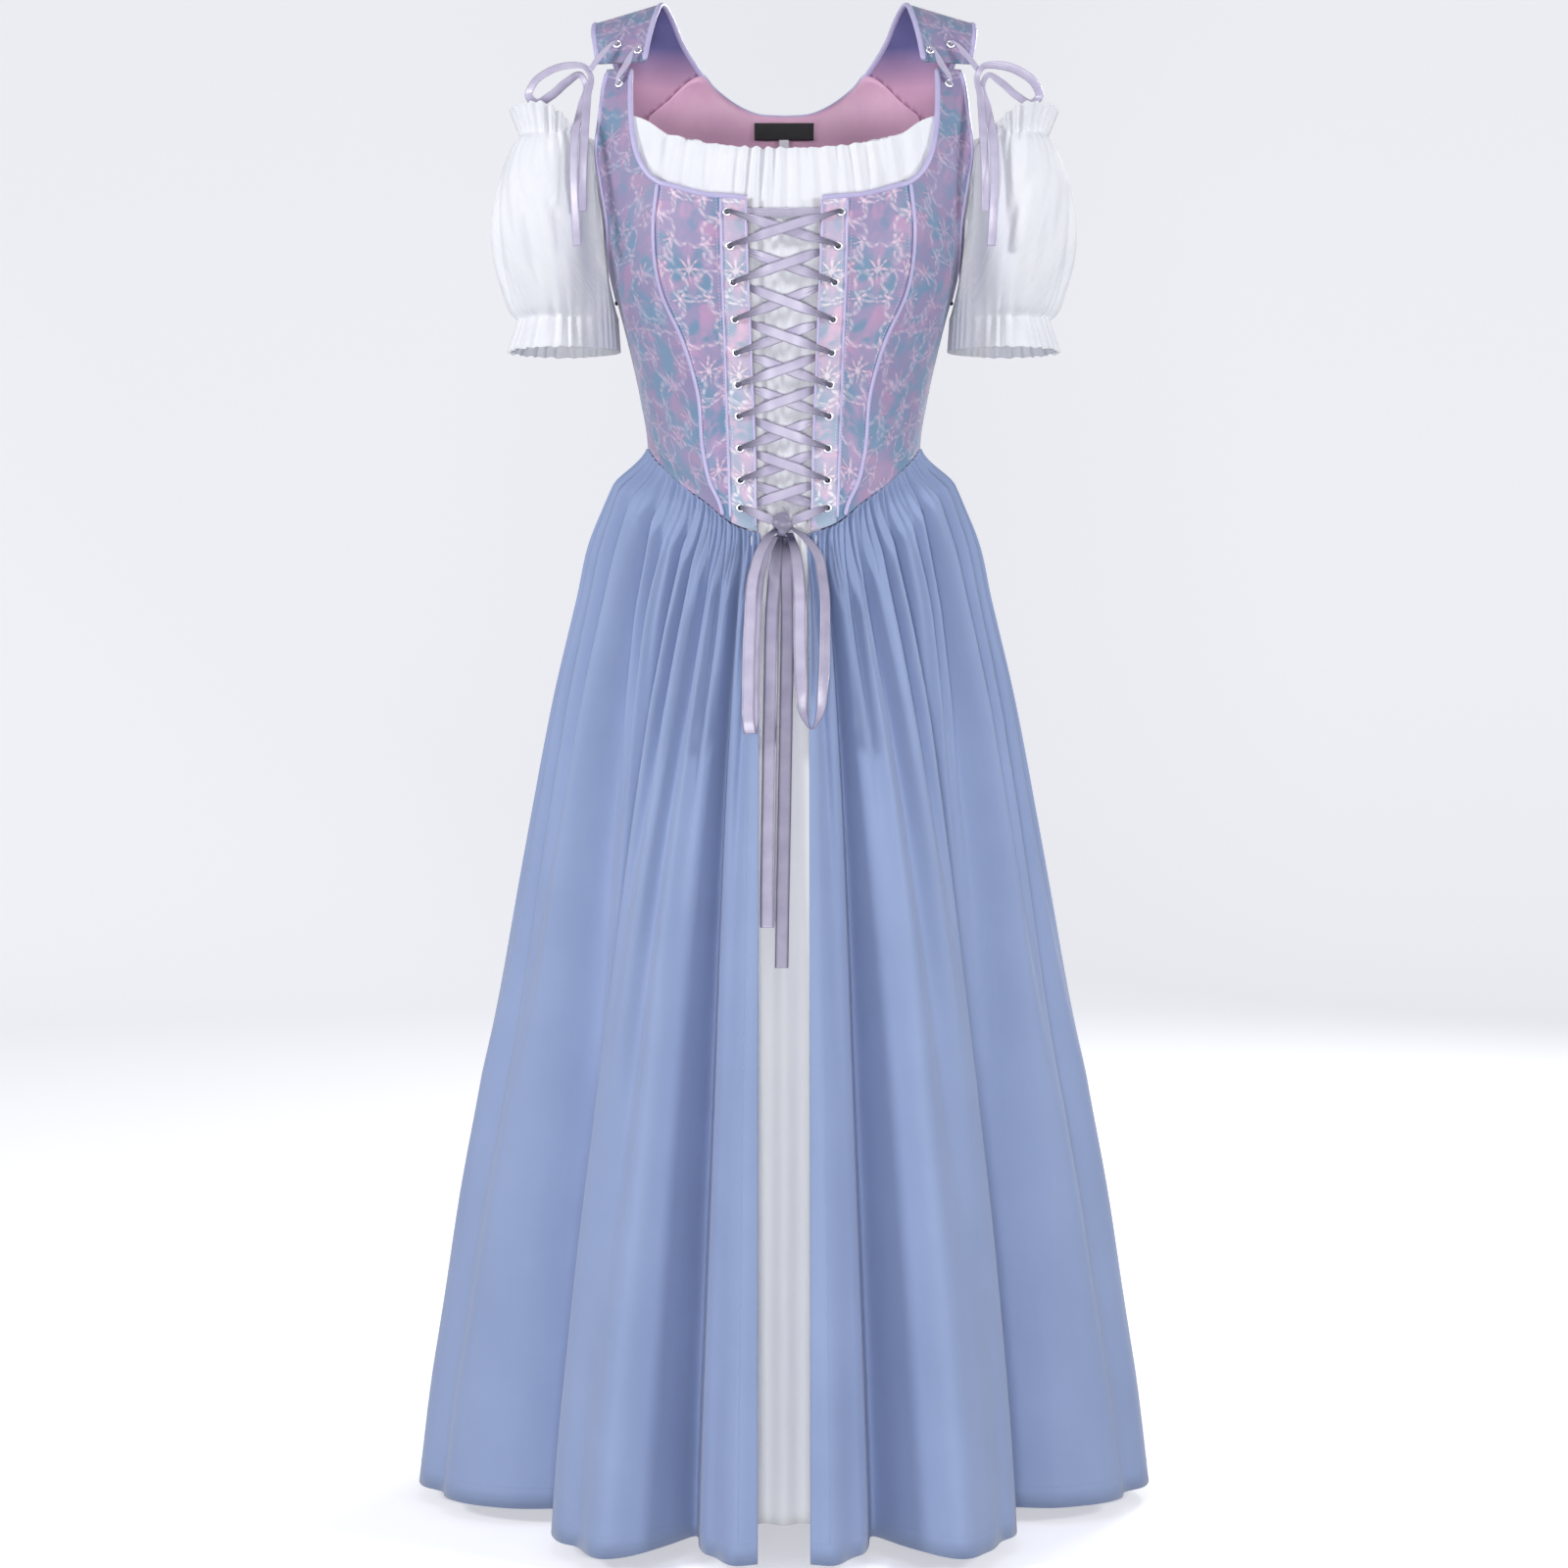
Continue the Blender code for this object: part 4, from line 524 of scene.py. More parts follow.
def sleeveForm(u, v):
    # puff sleeve at +X: cuff oval and top edge mixed by v, swollen between by a sine, with ruffles at
    # both ends, unequal gathers beside the elastics and slanting creases listed one by one
    start, end = sleeve["freeSpan"]
    freeShare = sleeve["freeShare"]
    degrees = np.where(
        u < freeShare,
        mix(start, end, u / freeShare),
        mix(end, start + fullTurn, (u - freeShare) / (1 - freeShare)),
    )
    degrees = (degrees + quarterTurn) % fullTurn - quarterTurn
    angle = np.radians(degrees)
    outward = np.stack([np.sin(angle), -np.cos(angle), np.zeros_like(angle)], -1)
    fromOutside = np.abs((degrees - quarterTurn + halfTurn) % fullTurn - halfTurn)
    free = 1 - ease((fromOutside - sleeve["freeHalfTurn"]) / sleeve["sewnTurn"])
    rows = sleeveTopRows()
    top = np.stack([smooth(rows, "degrees", axis, degrees) for axis in "xyz"], -1)
    cuff = np.stack([
        sleeve["cuffCentre"] + sleeve["cuffHalfBreadth"] * np.sin(angle),
        -sleeve["cuffHalfDepth"] * np.cos(angle),
        np.full_like(angle, sleeve["cuffHeight"]),
    ], -1)
    ruffle = sleeve["ruffleShare"]
    below = np.clip((ruffle - v) / ruffle, 0, 1)
    above = np.clip((v - 1 + ruffle) / ruffle, 0, 1)
    along = np.clip((v - ruffle) / (1 - 2 * ruffle), 0, 1)
    swell = np.sin(np.pi * along)
    topWave = uneven(angle, sleeve["gathers"], *sleeve["topUnevenness"])
    cuffWave = uneven(angle + sleeve["cuffTurn"], sleeve["gathers"], *sleeve["cuffUnevenness"])
    nearTop, nearCuff = np.exp(-(1 - along) / sleeve["topFade"]), np.exp(-along / sleeve["cuffFade"])
    topDepth = mix(nearTop * sleeve["topDepth"], sleeve["ruffleWave"], ease(above * sleeve["ruffleEase"]))
    cuffDepth = mix(nearCuff * sleeve["cuffDepth"], sleeve["ruffleWave"], ease(below * sleeve["ruffleEase"]))
    gathers = np.where(along > 0.5, topWave * topDepth, cuffWave * cuffDepth)
    long = sleeve["longDepth"] * uneven(angle + sleeve["longTurn"], *sleeve["longFolds"]) * swell
    creases = troughs(degrees, along * percent, sleeveCreases) * ease(swell * sleeve["creaseEase"])
    width = sleeve["elasticWidth"]
    elastic = sleeve["elasticDepth"] * (np.exp(-((along - 1) / width) ** 2) + np.exp(-(along / width) ** 2))
    share = mix(sleeve["sewnWave"], 1.0, free)
    reach = sleeve["puff"] * swell ** sleeve["roundness"] * free
    reach = reach + (gathers + long - creases - elastic) * share
    reach = reach + below * sleeve["cuffFlare"] * mix(sleeve["sewnFlare"], 1.0, free)
    reach = reach + above * sleeve["headerFlare"] * free
    place = mix(cuff, top, along[..., None]) + reach[..., None] * outward
    rise = above * mix(sleeve["sewnRise"], sleeve["headerHeight"], free) - below * sleeve["cuffRuffleHeight"]
    place[..., 2] += rise + sleeve["ruffleLift"] * (above - below) * topWave * free
    return place


# Overskirt: its section at each height, how deep its large folds are round it, and its sizes
skirtRows = table(
    "height halfBreadth frontDepth backDepth",
    (-1.417, 0.352, 0.328, 0.326),
    (-1.332, 0.342, 0.316, 0.314),
    (-1.236, 0.328, 0.3, 0.298),
    (-1.142, 0.314, 0.283, 0.281),
    (-1.046, 0.296, 0.264, 0.263),
    (-0.952, 0.279, 0.246, 0.245),
    (-0.856, 0.262, 0.227, 0.226),
    (-0.762, 0.244, 0.207, 0.206),
    (-0.666, 0.225, 0.185, 0.185),
    (-0.572, 0.202, 0.16, 0.161),
    (-0.514, 0.188, 0.14, 0.143),
    (-0.486, 0.176, 0.132, 0.131),
    (-0.457, 0.163, 0.125, 0.119),
    (-0.425, 0.15, 0.118, 0.105),
)
foldRows = table(
    "degrees depth",
    (0.0, 0.018),
    (4.0, 0.012),
    (8.0, 0.006),
    (13.0, 0.032),
    (19.0, 0.068),
    (23.0, 0.03),
    (27.0, 0.000),
    (33.0, 0.008),
    (42.0, 0.034),
    (48.0, 0.062),
    (55.0, 0.085),
    (62.0, 0.052),
    (72.0, 0.02),
    (86.0, 0.002),
    (97.0, 0.03),
    (108.0, 0.07),
    (118.0, 0.028),
    (128.0, 0.004),
    (138.0, 0.032),
    (148.0, 0.074),
    (157.0, 0.032),
    (166.0, 0.003),
    (173.0, 0.022),
    (180.0, 0.05),
)
skirt = {
    "wall": 0.0014, "power": 2.1, "top": -0.42, "hem": -1.417, "foldGrowth": 1.15, "foldScale": 1.6,
    "ease": 0.04, "frontEase": 0.075, "frontSpan": 70, "easeAtSeam": 0.08, "openingHalf": 0.023,
    "edgeDegrees": 9.0, "rowGrowth": 1.6, "seamGap": 0.0014, "unlike": 2.6, "unlikeSecond": 0.6,
    "gathers": 96, "gatherDepth": 0.0022, "gatherScale": 1.5, "unevenness": (2.6, 0.3),
    "gatherLength": 0.06, "sewnShare": 0.45, "sewnLength": 0.02, "straightLength": 0.1,
    "backShift": 4, "creaseStart": 0.012, "creaseAtSeam": 0.3, "foldStart": 0.08,
    "rippleDepth": 0.0018, "rippleTurn": 0.2, "ripples": (40, 2.4, 0.4), "rippleLength": 0.2,
    "rippleStart": 0.05,
}
# Skirt under the waist seam: degrees from the front, width, depth, length, lean
skirtGathers = (
    (12.5, 0.5, 0.0022, 0.11, 0.3), (15.2, 0.62, 0.0032, 0.23, -0.2), (17.6, 0.42, 0.0024, 0.06, 0.2),
    (20.6, 0.7, 0.004, 0.33, 0.5), (23.2, 0.45, 0.0026, 0.085, 0.1), (25.4, 0.6, 0.0034, 0.17, -0.3),
    (28.3, 0.48, 0.0028, 0.095, 0.4), (30.6, 0.72, 0.0042, 0.41, 0.6), (33.2, 0.44, 0.0024, 0.07, 0.0),
    (35.9, 0.66, 0.0036, 0.24, 0.5), (38.1, 0.5, 0.003, 0.12, -0.2), (41.0, 0.76, 0.0042, 0.36, 0.8),
    (43.4, 0.46, 0.0026, 0.08, 0.2), (46.3, 0.62, 0.0034, 0.19, 0.4), (48.7, 0.5, 0.003, 0.105, 0.0),
    (51.8, 0.78, 0.0042, 0.44, 1.0), (54.5, 0.48, 0.0028, 0.09, 0.3), (57.0, 0.66, 0.0034, 0.21, 0.5),
    (59.9, 0.5, 0.003, 0.13, 0.1), (63.0, 0.8, 0.004, 0.38, 0.9), (65.8, 0.48, 0.0026, 0.085, 0.2),
    (68.6, 0.68, 0.0034, 0.26, 0.6), (71.4, 0.54, 0.003, 0.11, 0.0), (74.8, 0.8, 0.004, 0.42, 0.8),
    (77.7, 0.5, 0.0026, 0.095, 0.3), (80.6, 0.66, 0.0034, 0.22, 0.2), (83.6, 0.56, 0.003, 0.15, 0.1),
    (87.0, 0.74, 0.0036, 0.31, 0.2),
)
# Long folds that fall from the gathers: degrees at the waist, width, depth, length, lean
skirtFolds = (
    (13.5, 1.1, 0.0065, 0.52, -2.0), (20.0, 1.4, 0.0095, 0.86, -0.8), (27.5, 1.1, 0.007, 0.48, -0.5),
    (34.0, 1.7, 0.0125, 0.74, 0.6), (41.5, 1.2, 0.0085, 0.55, 1.8), (48.0, 1.7, 0.017, 0.92, 5.0),
    (56.0, 1.2, 0.01, 0.5, 1.0), (62.5, 1.9, 0.018, 0.8, -2.5), (70.0, 1.3, 0.011, 0.62, 0.8),
    (77.0, 2.0, 0.018, 0.88, 1.2), (84.5, 1.4, 0.012, 0.6, 0.4),
)
# Valleys that rise from the hem: degrees at the hem, width, depth, share of the skirt's height, lean
skirtValleys = (
    (10.5, 1.6, 0.006, 0.45, 2.0), (19.5, 2.2, 0.024, 0.93, 1.0), (23.0, 1.6, 0.009, 0.7, 0.5),
    (38.0, 2.6, 0.008, 0.5, 1.5), (53.0, 1.5, 0.019, 0.9, -3.0), (57.0, 3.4, 0.025, 0.88, -3.0),
    (63.0, 4.0, 0.008, 0.6, -2.0), (76.0, 2.4, 0.01, 0.66, -1.5),
)


def skirtRadius(angle, height):
    # distance from the axis to the overskirt: the waist seam, then its reach less its large folds
    below = waistHeight(angle) - height
    seam = figureRadius(angle, waistHeight(angle))
    columns = [smooth(skirtRows, "height", name, height) for name in sectionColumns]
    reach = section(angle, *columns, skirt["power"])
    fall = np.clip((skirt["top"] - height) / (skirt["top"] - skirt["hem"]), 0, 1) ** skirt["foldGrowth"]
    folds = smooth(foldRows, "degrees", "depth", fromFront(angle)) * fall
    share = mix(skirt["frontEase"], skirt["ease"], ease(fromFront(angle) / skirt["frontSpan"]))
    return mix(seam, reach, ease(below / share + skirt["easeAtSeam"])) - folds


def skirtDetail(angle, height, unlike):
    # gathers under the waist seam and the long soft creases that they run out into; where unlike is
    # 1, on the left, they are moved sideways by sines that are nought at the seams
    below = np.maximum(waistHeight(angle) - height, 0)
    degrees = fromFront(angle)
    spread = skirtRadius(angle, height) / figureRadius(angle, waistHeight(angle))
    straight = mix(1, spread, np.exp(-below / skirt["straightLength"]) * np.cos(angle) ** 2)
    fromBack = halfTurn - degrees
    degrees = np.where(degrees > quarterTurn, halfTurn - fromBack * straight, degrees * straight)
    turned = np.where(degrees > quarterTurn, halfTurn - degrees + skirt["backShift"], degrees)
    twice = np.radians(2 * fromFront(angle))
    turned = turned + unlike * skirt["unlike"] * (np.sin(twice) - skirt["unlikeSecond"] * np.sin(3 * twice))
    fade = np.exp(-below / skirt["gatherLength"])
    fade = fade * mix(skirt["sewnShare"], 1.0, ease(below / skirt["sewnLength"]))
    fine = skirt["gatherDepth"] * uneven(np.radians(degrees), skirt["gathers"], *skirt["unevenness"]) * fade
    starting = ease(below / skirt["creaseStart"] + skirt["creaseAtSeam"])
    deep = skirt["gatherScale"] * fallingCreases(turned, below, skirtGathers) * starting
    fall = np.clip(below / (skirt["top"] - skirt["hem"]), 0, 1)
    soft = skirt["foldScale"] * fallingCreases(turned, below, skirtFolds) * ease(below / skirt["foldStart"])
    soft = soft + fallingCreases(turned, np.abs(1 - fall), skirtValleys)
    ripple = skirt["rippleDepth"] * uneven(np.radians(degrees) + skirt["rippleTurn"], *skirt["ripples"])
    ripple = ripple * np.exp(-below / skirt["rippleLength"]) * ease(below / skirt["rippleStart"])
    return fine - deep - soft + ripple


def skirtPlace(angle, v, unlike):
    # point of the overskirt: v rises from the hem to the seam in rows that grow closer
    top = waistHeight(angle) - skirt["seamGap"]
    height = mix(top, skirt["hem"], (1 - v) ** skirt["rowGrowth"])
    return around(angle, skirtRadius(angle, height) + skirtDetail(angle, height, unlike), height)


def skirtFront(u, v, unlike=0.0):
    # front of the overskirt at +X, from its open edge (u = 0) to the side seam (u = 1)
    height = mix(waistSeam["height"][0], skirt["hem"], (1 - v) ** skirt["rowGrowth"])
    edge = np.arcsin(skirt["openingHalf"] / skirtRadius(np.radians(skirt["edgeDegrees"]), height))
    return skirtPlace(mix(edge, sideAngle - np.radians(bodice["sideGapDegrees"]), u), v, unlike)


def skirtBack(u, v):
    # back of the overskirt, from the +X side seam round to the other
    gap = np.radians(bodice["sideGapDegrees"])
    angle = mix(sideAngle + gap, 3 * sideAngle - gap, u)
    return skirtPlace(angle, v, np.where(angle > np.pi, 1.0, 0.0))


# Underskirt: reach and half breadth of the panel in the opening, and its sizes
panelRows = table(
    "height reach halfBreadth",
    (-1.4, 0.252, 0.062),
    (-1.2, 0.238, 0.06),
    (-1.000, 0.218, 0.056),
    (-0.8, 0.188, 0.051),
    (-0.64, 0.152, 0.044),
    (-0.56, 0.127, 0.04),
    (-0.5015, 0.1075, 0.034),
)
underskirt = {"wall": 0.0014, "folds": 4, "foldDepth": 0.0035, "rowGrowth": 1.3}
# Underskirt: percent across, width, depth, share of the height, lean
underskirtCreases = (
    (12.0, 3.0, 0.0022, 0.8, 3.0), (28.0, 2.4, 0.0018, 0.6, 2.0), (41.0, 2.8, 0.0024, 0.9, 1.0),
    (55.0, 2.2, 0.0018, 0.7, -1.0), (68.0, 3.0, 0.0024, 0.85, -2.0), (84.0, 2.6, 0.002, 0.65, -3.0),
)


def underskirtForm(u, v):
    # front panel of the underskirt: an arc whose reach and half breadth follow a table
    height = mix(panelRows["height"][-1], panelRows["height"][0], (1 - v) ** underskirt["rowGrowth"])
    reach = smooth(panelRows, "height", "reach", height)
    half = smooth(panelRows, "height", "halfBreadth", height)
    depth = underskirt["foldDepth"] * np.cos(2 * np.pi * underskirt["folds"] * (u - 0.5)) * (1 - v)
    creases = fallingCreases(u * percent, 1 - v, underskirtCreases)
    return around(np.arcsin(half / reach) * (2 * u - 1), reach + depth - creases, height)


def clothLengths(place):
    # UV in metres: how far a point lies along its row from the middle, and up its column
    across = np.linalg.norm(np.diff(place, axis=1), axis=-1)
    across = np.pad(np.cumsum(across, axis=1), ((0, 0), (1, 0)))
    across = across - across[:, across.shape[1] // 2][:, None]
    upwards = np.linalg.norm(np.diff(place, axis=0), axis=-1).mean(axis=1)
    upwards = np.append(0.0, np.cumsum(upwards))
    return np.stack(np.broadcast_arrays(across, upwards[:, None]), -1)


def makeMesh(name, patches, pinch=None, holes=()):
    # mesh of grids: each patch is (shape, columns, rows), and its shape places the shares u and v.
    # Points in the same place are made one, corners that fall together are dropped, and faces within
    # the radius of an eyelet's hole are left out.
    places, faces, lengths, pinches, start = [], [], [], [], 0
    for shape, columns, rows in patches:
        u, v = np.meshgrid(np.linspace(0, 1, columns + 1), np.linspace(0, 1, rows + 1))
        place = shape(u, v)
        low = np.arange(rows)[:, None] * (columns + 1) + np.arange(columns)[None, :]
        corners = np.stack([low, low + 1, low + columns + 2, low + columns + 1], -1).reshape(-1, 4)
        places.append(place.reshape(-1, 3))
        lengths.append(clothLengths(place).reshape(-1, 2)[corners])
        pinches.append((pinch(u, v) if pinch else np.zeros(u.shape)).ravel())
        faces.append(corners + start)
        start += u.size
    places, faces, lengths = np.concatenate(places), np.concatenate(faces), np.concatenate(lengths)
    rounded = np.round(places, joinDecimals)
    _, first, joined = np.unique(rounded, axis=0, return_index=True, return_inverse=True)
    faces = joined.reshape(-1)[faces]
    places = places[first]
    kept = faces != np.roll(faces, 1, axis=1)
    whole = kept.sum(axis=1) > 2
    for centre in holes:
        whole &= np.linalg.norm(places[faces].mean(axis=1) - centre, axis=1) > eyelet["holeRadius"]
    faces, lengths, kept = faces[whole], lengths[whole], kept[whole]
    counts = kept.sum(axis=1)
    mesh = bpy.data.meshes.new(name)
    mesh.vertices.add(len(places))
    mesh.vertices.foreach_set("co", places.ravel())
    mesh.loops.add(int(counts.sum()))
    mesh.loops.foreach_set("vertex_index", faces[kept])
    mesh.polygons.add(len(faces))
    mesh.polygons.foreach_set("loop_start", np.cumsum(counts) - counts)
    mesh.update(calc_edges=True)
    mesh.validate()
    mesh.uv_layers.new(name="cloth").data.foreach_set("uv", lengths[kept].ravel())
    # painted shade of a ribbon's pleats, kept on its points for its material
    if pinch:
        values = np.concatenate(pinches)[first]
        mesh.attributes.new("pinch", "FLOAT", "POINT").data.foreach_set("value", values)
    mesh.shade_smooth()
    return mesh


def addPiece(name, patches, materials, nodes, slot, wall=0.0, offset=-1.0, inner=0, **more):
    # puts a mesh of grids in the scene on the root body, with its wall, in place of CAD nodes
    mesh = makeMesh(name, patches, **more)
    piece = bpy.data.objects.new(name, mesh)
    bpy.context.scene.collection.objects.link(piece)
    for material in materials:
        mesh.materials.append(material)
    if wall:
        solid = piece.modifiers.new("wall", "SOLIDIFY")
        solid.thickness = wall
        solid.offset = offset
        solid.material_offset = inner
    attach(piece, "root")
    if nodes:
        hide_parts(*nodes)
    return piece


def mirrored(shape):
    # the same shape at -X, its columns in reverse so that it still faces out
    return lambda u, v: shape(1 - u, v) * leftwards


# Edges that satin follows: how far a point lies in from an edge to find its direction, as a length or
# as a share of a panel; where the edges start and end; and the number of points along each
edges = {
    "stepIn": 0.003, "cornerGap": 0.002, "strapRoot": 0.03, "backUnderarm": 0.4,
    "frontIn": 0.93, "backIn": 0.96, "strapArmIn": 0.1, "strapNeckIn": 0.9, "backNeckIn": 0.98,
    "princessIn": 0.07,
    "princessStations": (0.02, 6.97), "stripSpan": (0.01, 0.99),
    "neckPoints": 40, "neckSidePoints": 50, "frontPoints": 60, "backPoints": 50, "strapPoints": 40,
    "princessPoints": 110, "stripPoints": 150,
}
# Bias binding and piping: half widths of the oval, its middle's place in from the edge and off the cloth
binding = {"halfBreadth": 0.0027, "halfHeight": 0.0021, "inset": 0.0012, "lift": -0.0008, "sides": 10}
princessPiping = {"halfBreadth": 0.0019, "halfHeight": 0.0016, "inset": 0.0, "lift": 0.0009, "sides": 10}
gapPiping = {"halfBreadth": 0.0012, "halfHeight": 0.0012, "inset": 0.0, "lift": 0.0004, "sides": 8}
placketPiping = {"halfBreadth": 0.0013, "halfHeight": 0.0013, "inset": 0.0, "lift": 0.0004, "sides": 8}
# Distance of the upright pipings from their seams
stripInsets = {"gapEdge": 0.0016, "placketSeam": 0.0004}


def edgeTube(edge, inside, look):
    # closed oval tube along an edge: cos and sin of the turn times two half widths, drawn to a point at
    # both ends; inside holds points of the panel a little way in from the edge
    inwards = unit(inside - edge)
    forwards = np.gradient(edge, axis=0)
    outwards = unit(np.cross(inwards, forwards))
    inwards = unit(np.cross(forwards, outwards))
    path = edge + inwards * look["inset"] + outwards * look["lift"]
    ends = np.ones(len(path))
    ends[[0, -1]] = 0.0

    def shape(u, v):
        index = np.rint(v * (len(path) - 1)).astype(int)
        turn = 2 * np.pi * u[..., None]
        across = np.cos(turn) * look["halfBreadth"] * inwards[index]
        across = across + np.sin(turn) * look["halfHeight"] * outwards[index]
        return path[index] + across * ends[index][..., None]

    return shape, look["sides"], len(path) - 1


def neckEdge():
    # front neckline at +X, from the lacing gap round the corner to the strap's end
    start = frontSeams["gapEdge"][-1] + bodice["halfSeamGap"]
    across = np.linspace(start, neckline["across"][-1] - edges["cornerGap"], edges["neckPoints"])
    height = smooth(neckline, "across", "height", across)
    sideEnd = neckSide["height"][-1] - bodice["halfSeamGap"]
    sideHeights = np.linspace(neckSide["height"][1], sideEnd, edges["neckSidePoints"])
    across = np.append(across, smooth(neckSide, "height", "across", sideHeights) + bodice["halfSeamGap"])
    height = np.append(height, sideHeights)
    edge = figure(frontAngle(across, height), height)
    rise, run = np.gradient(height), np.gradient(across)
    slope = np.hypot(rise, run)
    inAcross, inHeight = across + edges["stepIn"] * rise / slope, height - edges["stepIn"] * run / slope
    return edge, figure(frontAngle(inAcross, inHeight), inHeight)


def armholeEdge():
    # armhole at +X, from the front strap under the arm and over the shoulder
    front = np.linspace(1.0, bodice["underarmShare"], edges["frontPoints"])
    back = np.linspace(edges["backUnderarm"], 1.0, edges["backPoints"])
    over = np.linspace(edges["strapRoot"], 1.0, edges["strapPoints"])
    edge = [
        sideFront(np.ones_like(front), front),
        backHalf(np.ones_like(back), back),
        strap(np.zeros_like(over), over),
    ]
    inside = [
        sideFront(np.full_like(front, edges["frontIn"]), front),
        backHalf(np.full_like(back, edges["backIn"]), back),
        strap(np.full_like(over, edges["strapArmIn"]), over),
    ]
    return np.concatenate(edge), np.concatenate(inside)


def backNeckEdge():
    # back neckline, from the end of one back strap to the end of the other
    over = np.linspace(1.0, edges["strapRoot"], edges["strapPoints"])
    share = np.linspace(bodice["strapRootShare"], 0.0, edges["strapPoints"])
    back = np.ones_like(share)
    edge = np.concatenate([strap(np.ones_like(over), over), backHalf(share, back)])
    inside = np.concatenate([
        strap(np.full_like(over, edges["strapNeckIn"]), over),
        backHalf(share, edges["backNeckIn"] * back),
    ])
    return tuple(np.concatenate([line, line[-2::-1] * leftwards]) for line in (edge, inside))


def princessEdge():
    # princess seam at +X from the waist to the neckline
    v = np.linspace(*edges["princessStations"], edges["princessPoints"]) / sideFrontRows["station"][-1]
    return sideFront(np.zeros_like(v), v), sideFront(np.full_like(v, edges["princessIn"]), v)


def stripLine(seam):
    # line on the front beside one of its upright seams, from the waist to the neckline
    v = np.linspace(*edges["stripSpan"], edges["stripPoints"])
    guess = mix(sideFrontRows["innerHeight"][0], bodice["cornerHeight"], v)
    across = smooth(frontSeams, "height", seam, guess) + stripInsets[seam]
    bottom = waistHeight(frontAngle(across, guess))
    top = smooth(neckline, "across", "height", across)
    height = mix(bottom, top, v)
    across = smooth(frontSeams, "height", seam, height) + stripInsets[seam]
    edge = figure(frontAngle(across, height), height)
    return edge, figure(frontAngle(across + edges["stepIn"], height), height)


# Ribbons: lengthwise pleats where they are drawn narrow, a shallow cup where they are flat, columns of
# their grid, and how deep the pleats are in the lacing, the bows and the shoulder lacing
ribbonFold = {
    "pleats": 3, "cup": 0.35, "cupLevel": 0.3, "laceColumns": 10, "bowColumns": 8,
    "lace": 0.0011, "bow": 0.001, "shoulder": 0.0009,
}


def ribbonStrip(places, directions, normals, widths, fold, columns):
    # ribbon along a path: its width gathers into lengthwise pleats where it is drawn narrow
    full = widths.max()

    def shape(u, v):
        index = np.rint(v * (len(places) - 1)).astype(int)
        narrow = 1 - widths[index] / full
        side = (u - 0.5)[..., None] * widths[index][..., None] * directions[index]
        pleats = narrow * np.cos(2 * np.pi * ribbonFold["pleats"] * u)
        cup = ribbonFold["cup"] * (4 * (u - 0.5) ** 2 - ribbonFold["cupLevel"]) * (1 - narrow)
        return places[index] + side + (fold * (pleats + cup))[..., None] * normals[index]

    return shape, columns, len(places) - 1


eyeletRows = table(
    "height across",
    (-0.2152, 0.0529),
    (-0.2476, 0.05),
    (-0.2811, 0.047),
    (-0.3151, 0.0455),
    (-0.3456, 0.0443),
    (-0.375, 0.043),
    (-0.404, 0.042),
    (-0.434, 0.041),
    (-0.464, 0.0405),
    (-0.49, 0.0403),
)
crossing = table(
    "along width over",
    (0.00, 0.32, 0.0),
    (0.18, 0.6, 0.0),
    (0.32, 1.00, 1.0),
    (0.5, 0.96, 1.0),
    (0.68, 1.00, 1.0),
    (0.82, 0.6, 0.0),
    (1.00, 0.32, 0.0),
)
toKnot = table(
    "along width lift",
    (0.00, 0.32, 0.0000),
    (0.25, 0.7, 0.0005),
    (0.55, 0.9, 0.0011),
    (0.8, 0.75, 0.0016),
)
# Front lacing: its lifts off the bodice outside, over the gap's edges, inside and under them; how far
# crossings pass over each other; its widths; the stretch across the top behind the plackets; and the
# shares of a crossing between which it passes from one edge to the other
lace = {
    "outside": 0.0024, "overEdge": 0.0016, "inside": -0.0044, "underEdge": -0.0032, "crossing": 0.0022,
    "width": 0.0105, "inEyelet": 0.0034, "wall": 0.0005, "points": 620,
    "behindStart": 0.006, "behindEnd": 0.008, "behindPoints": 7, "behindWidth": 0.8,
    "edgeShare": 0.18, "edgeSpan": 0.64,
}
knot = {
    "across": -0.0015, "height": -0.5066, "lift": 0.0068, "radii": (0.009, 0.007, 0.0112),
    "pleats": 5, "pleatDepth": 0.1, "pleatDrift": 0.8, "columns": 48, "rows": 32,
}


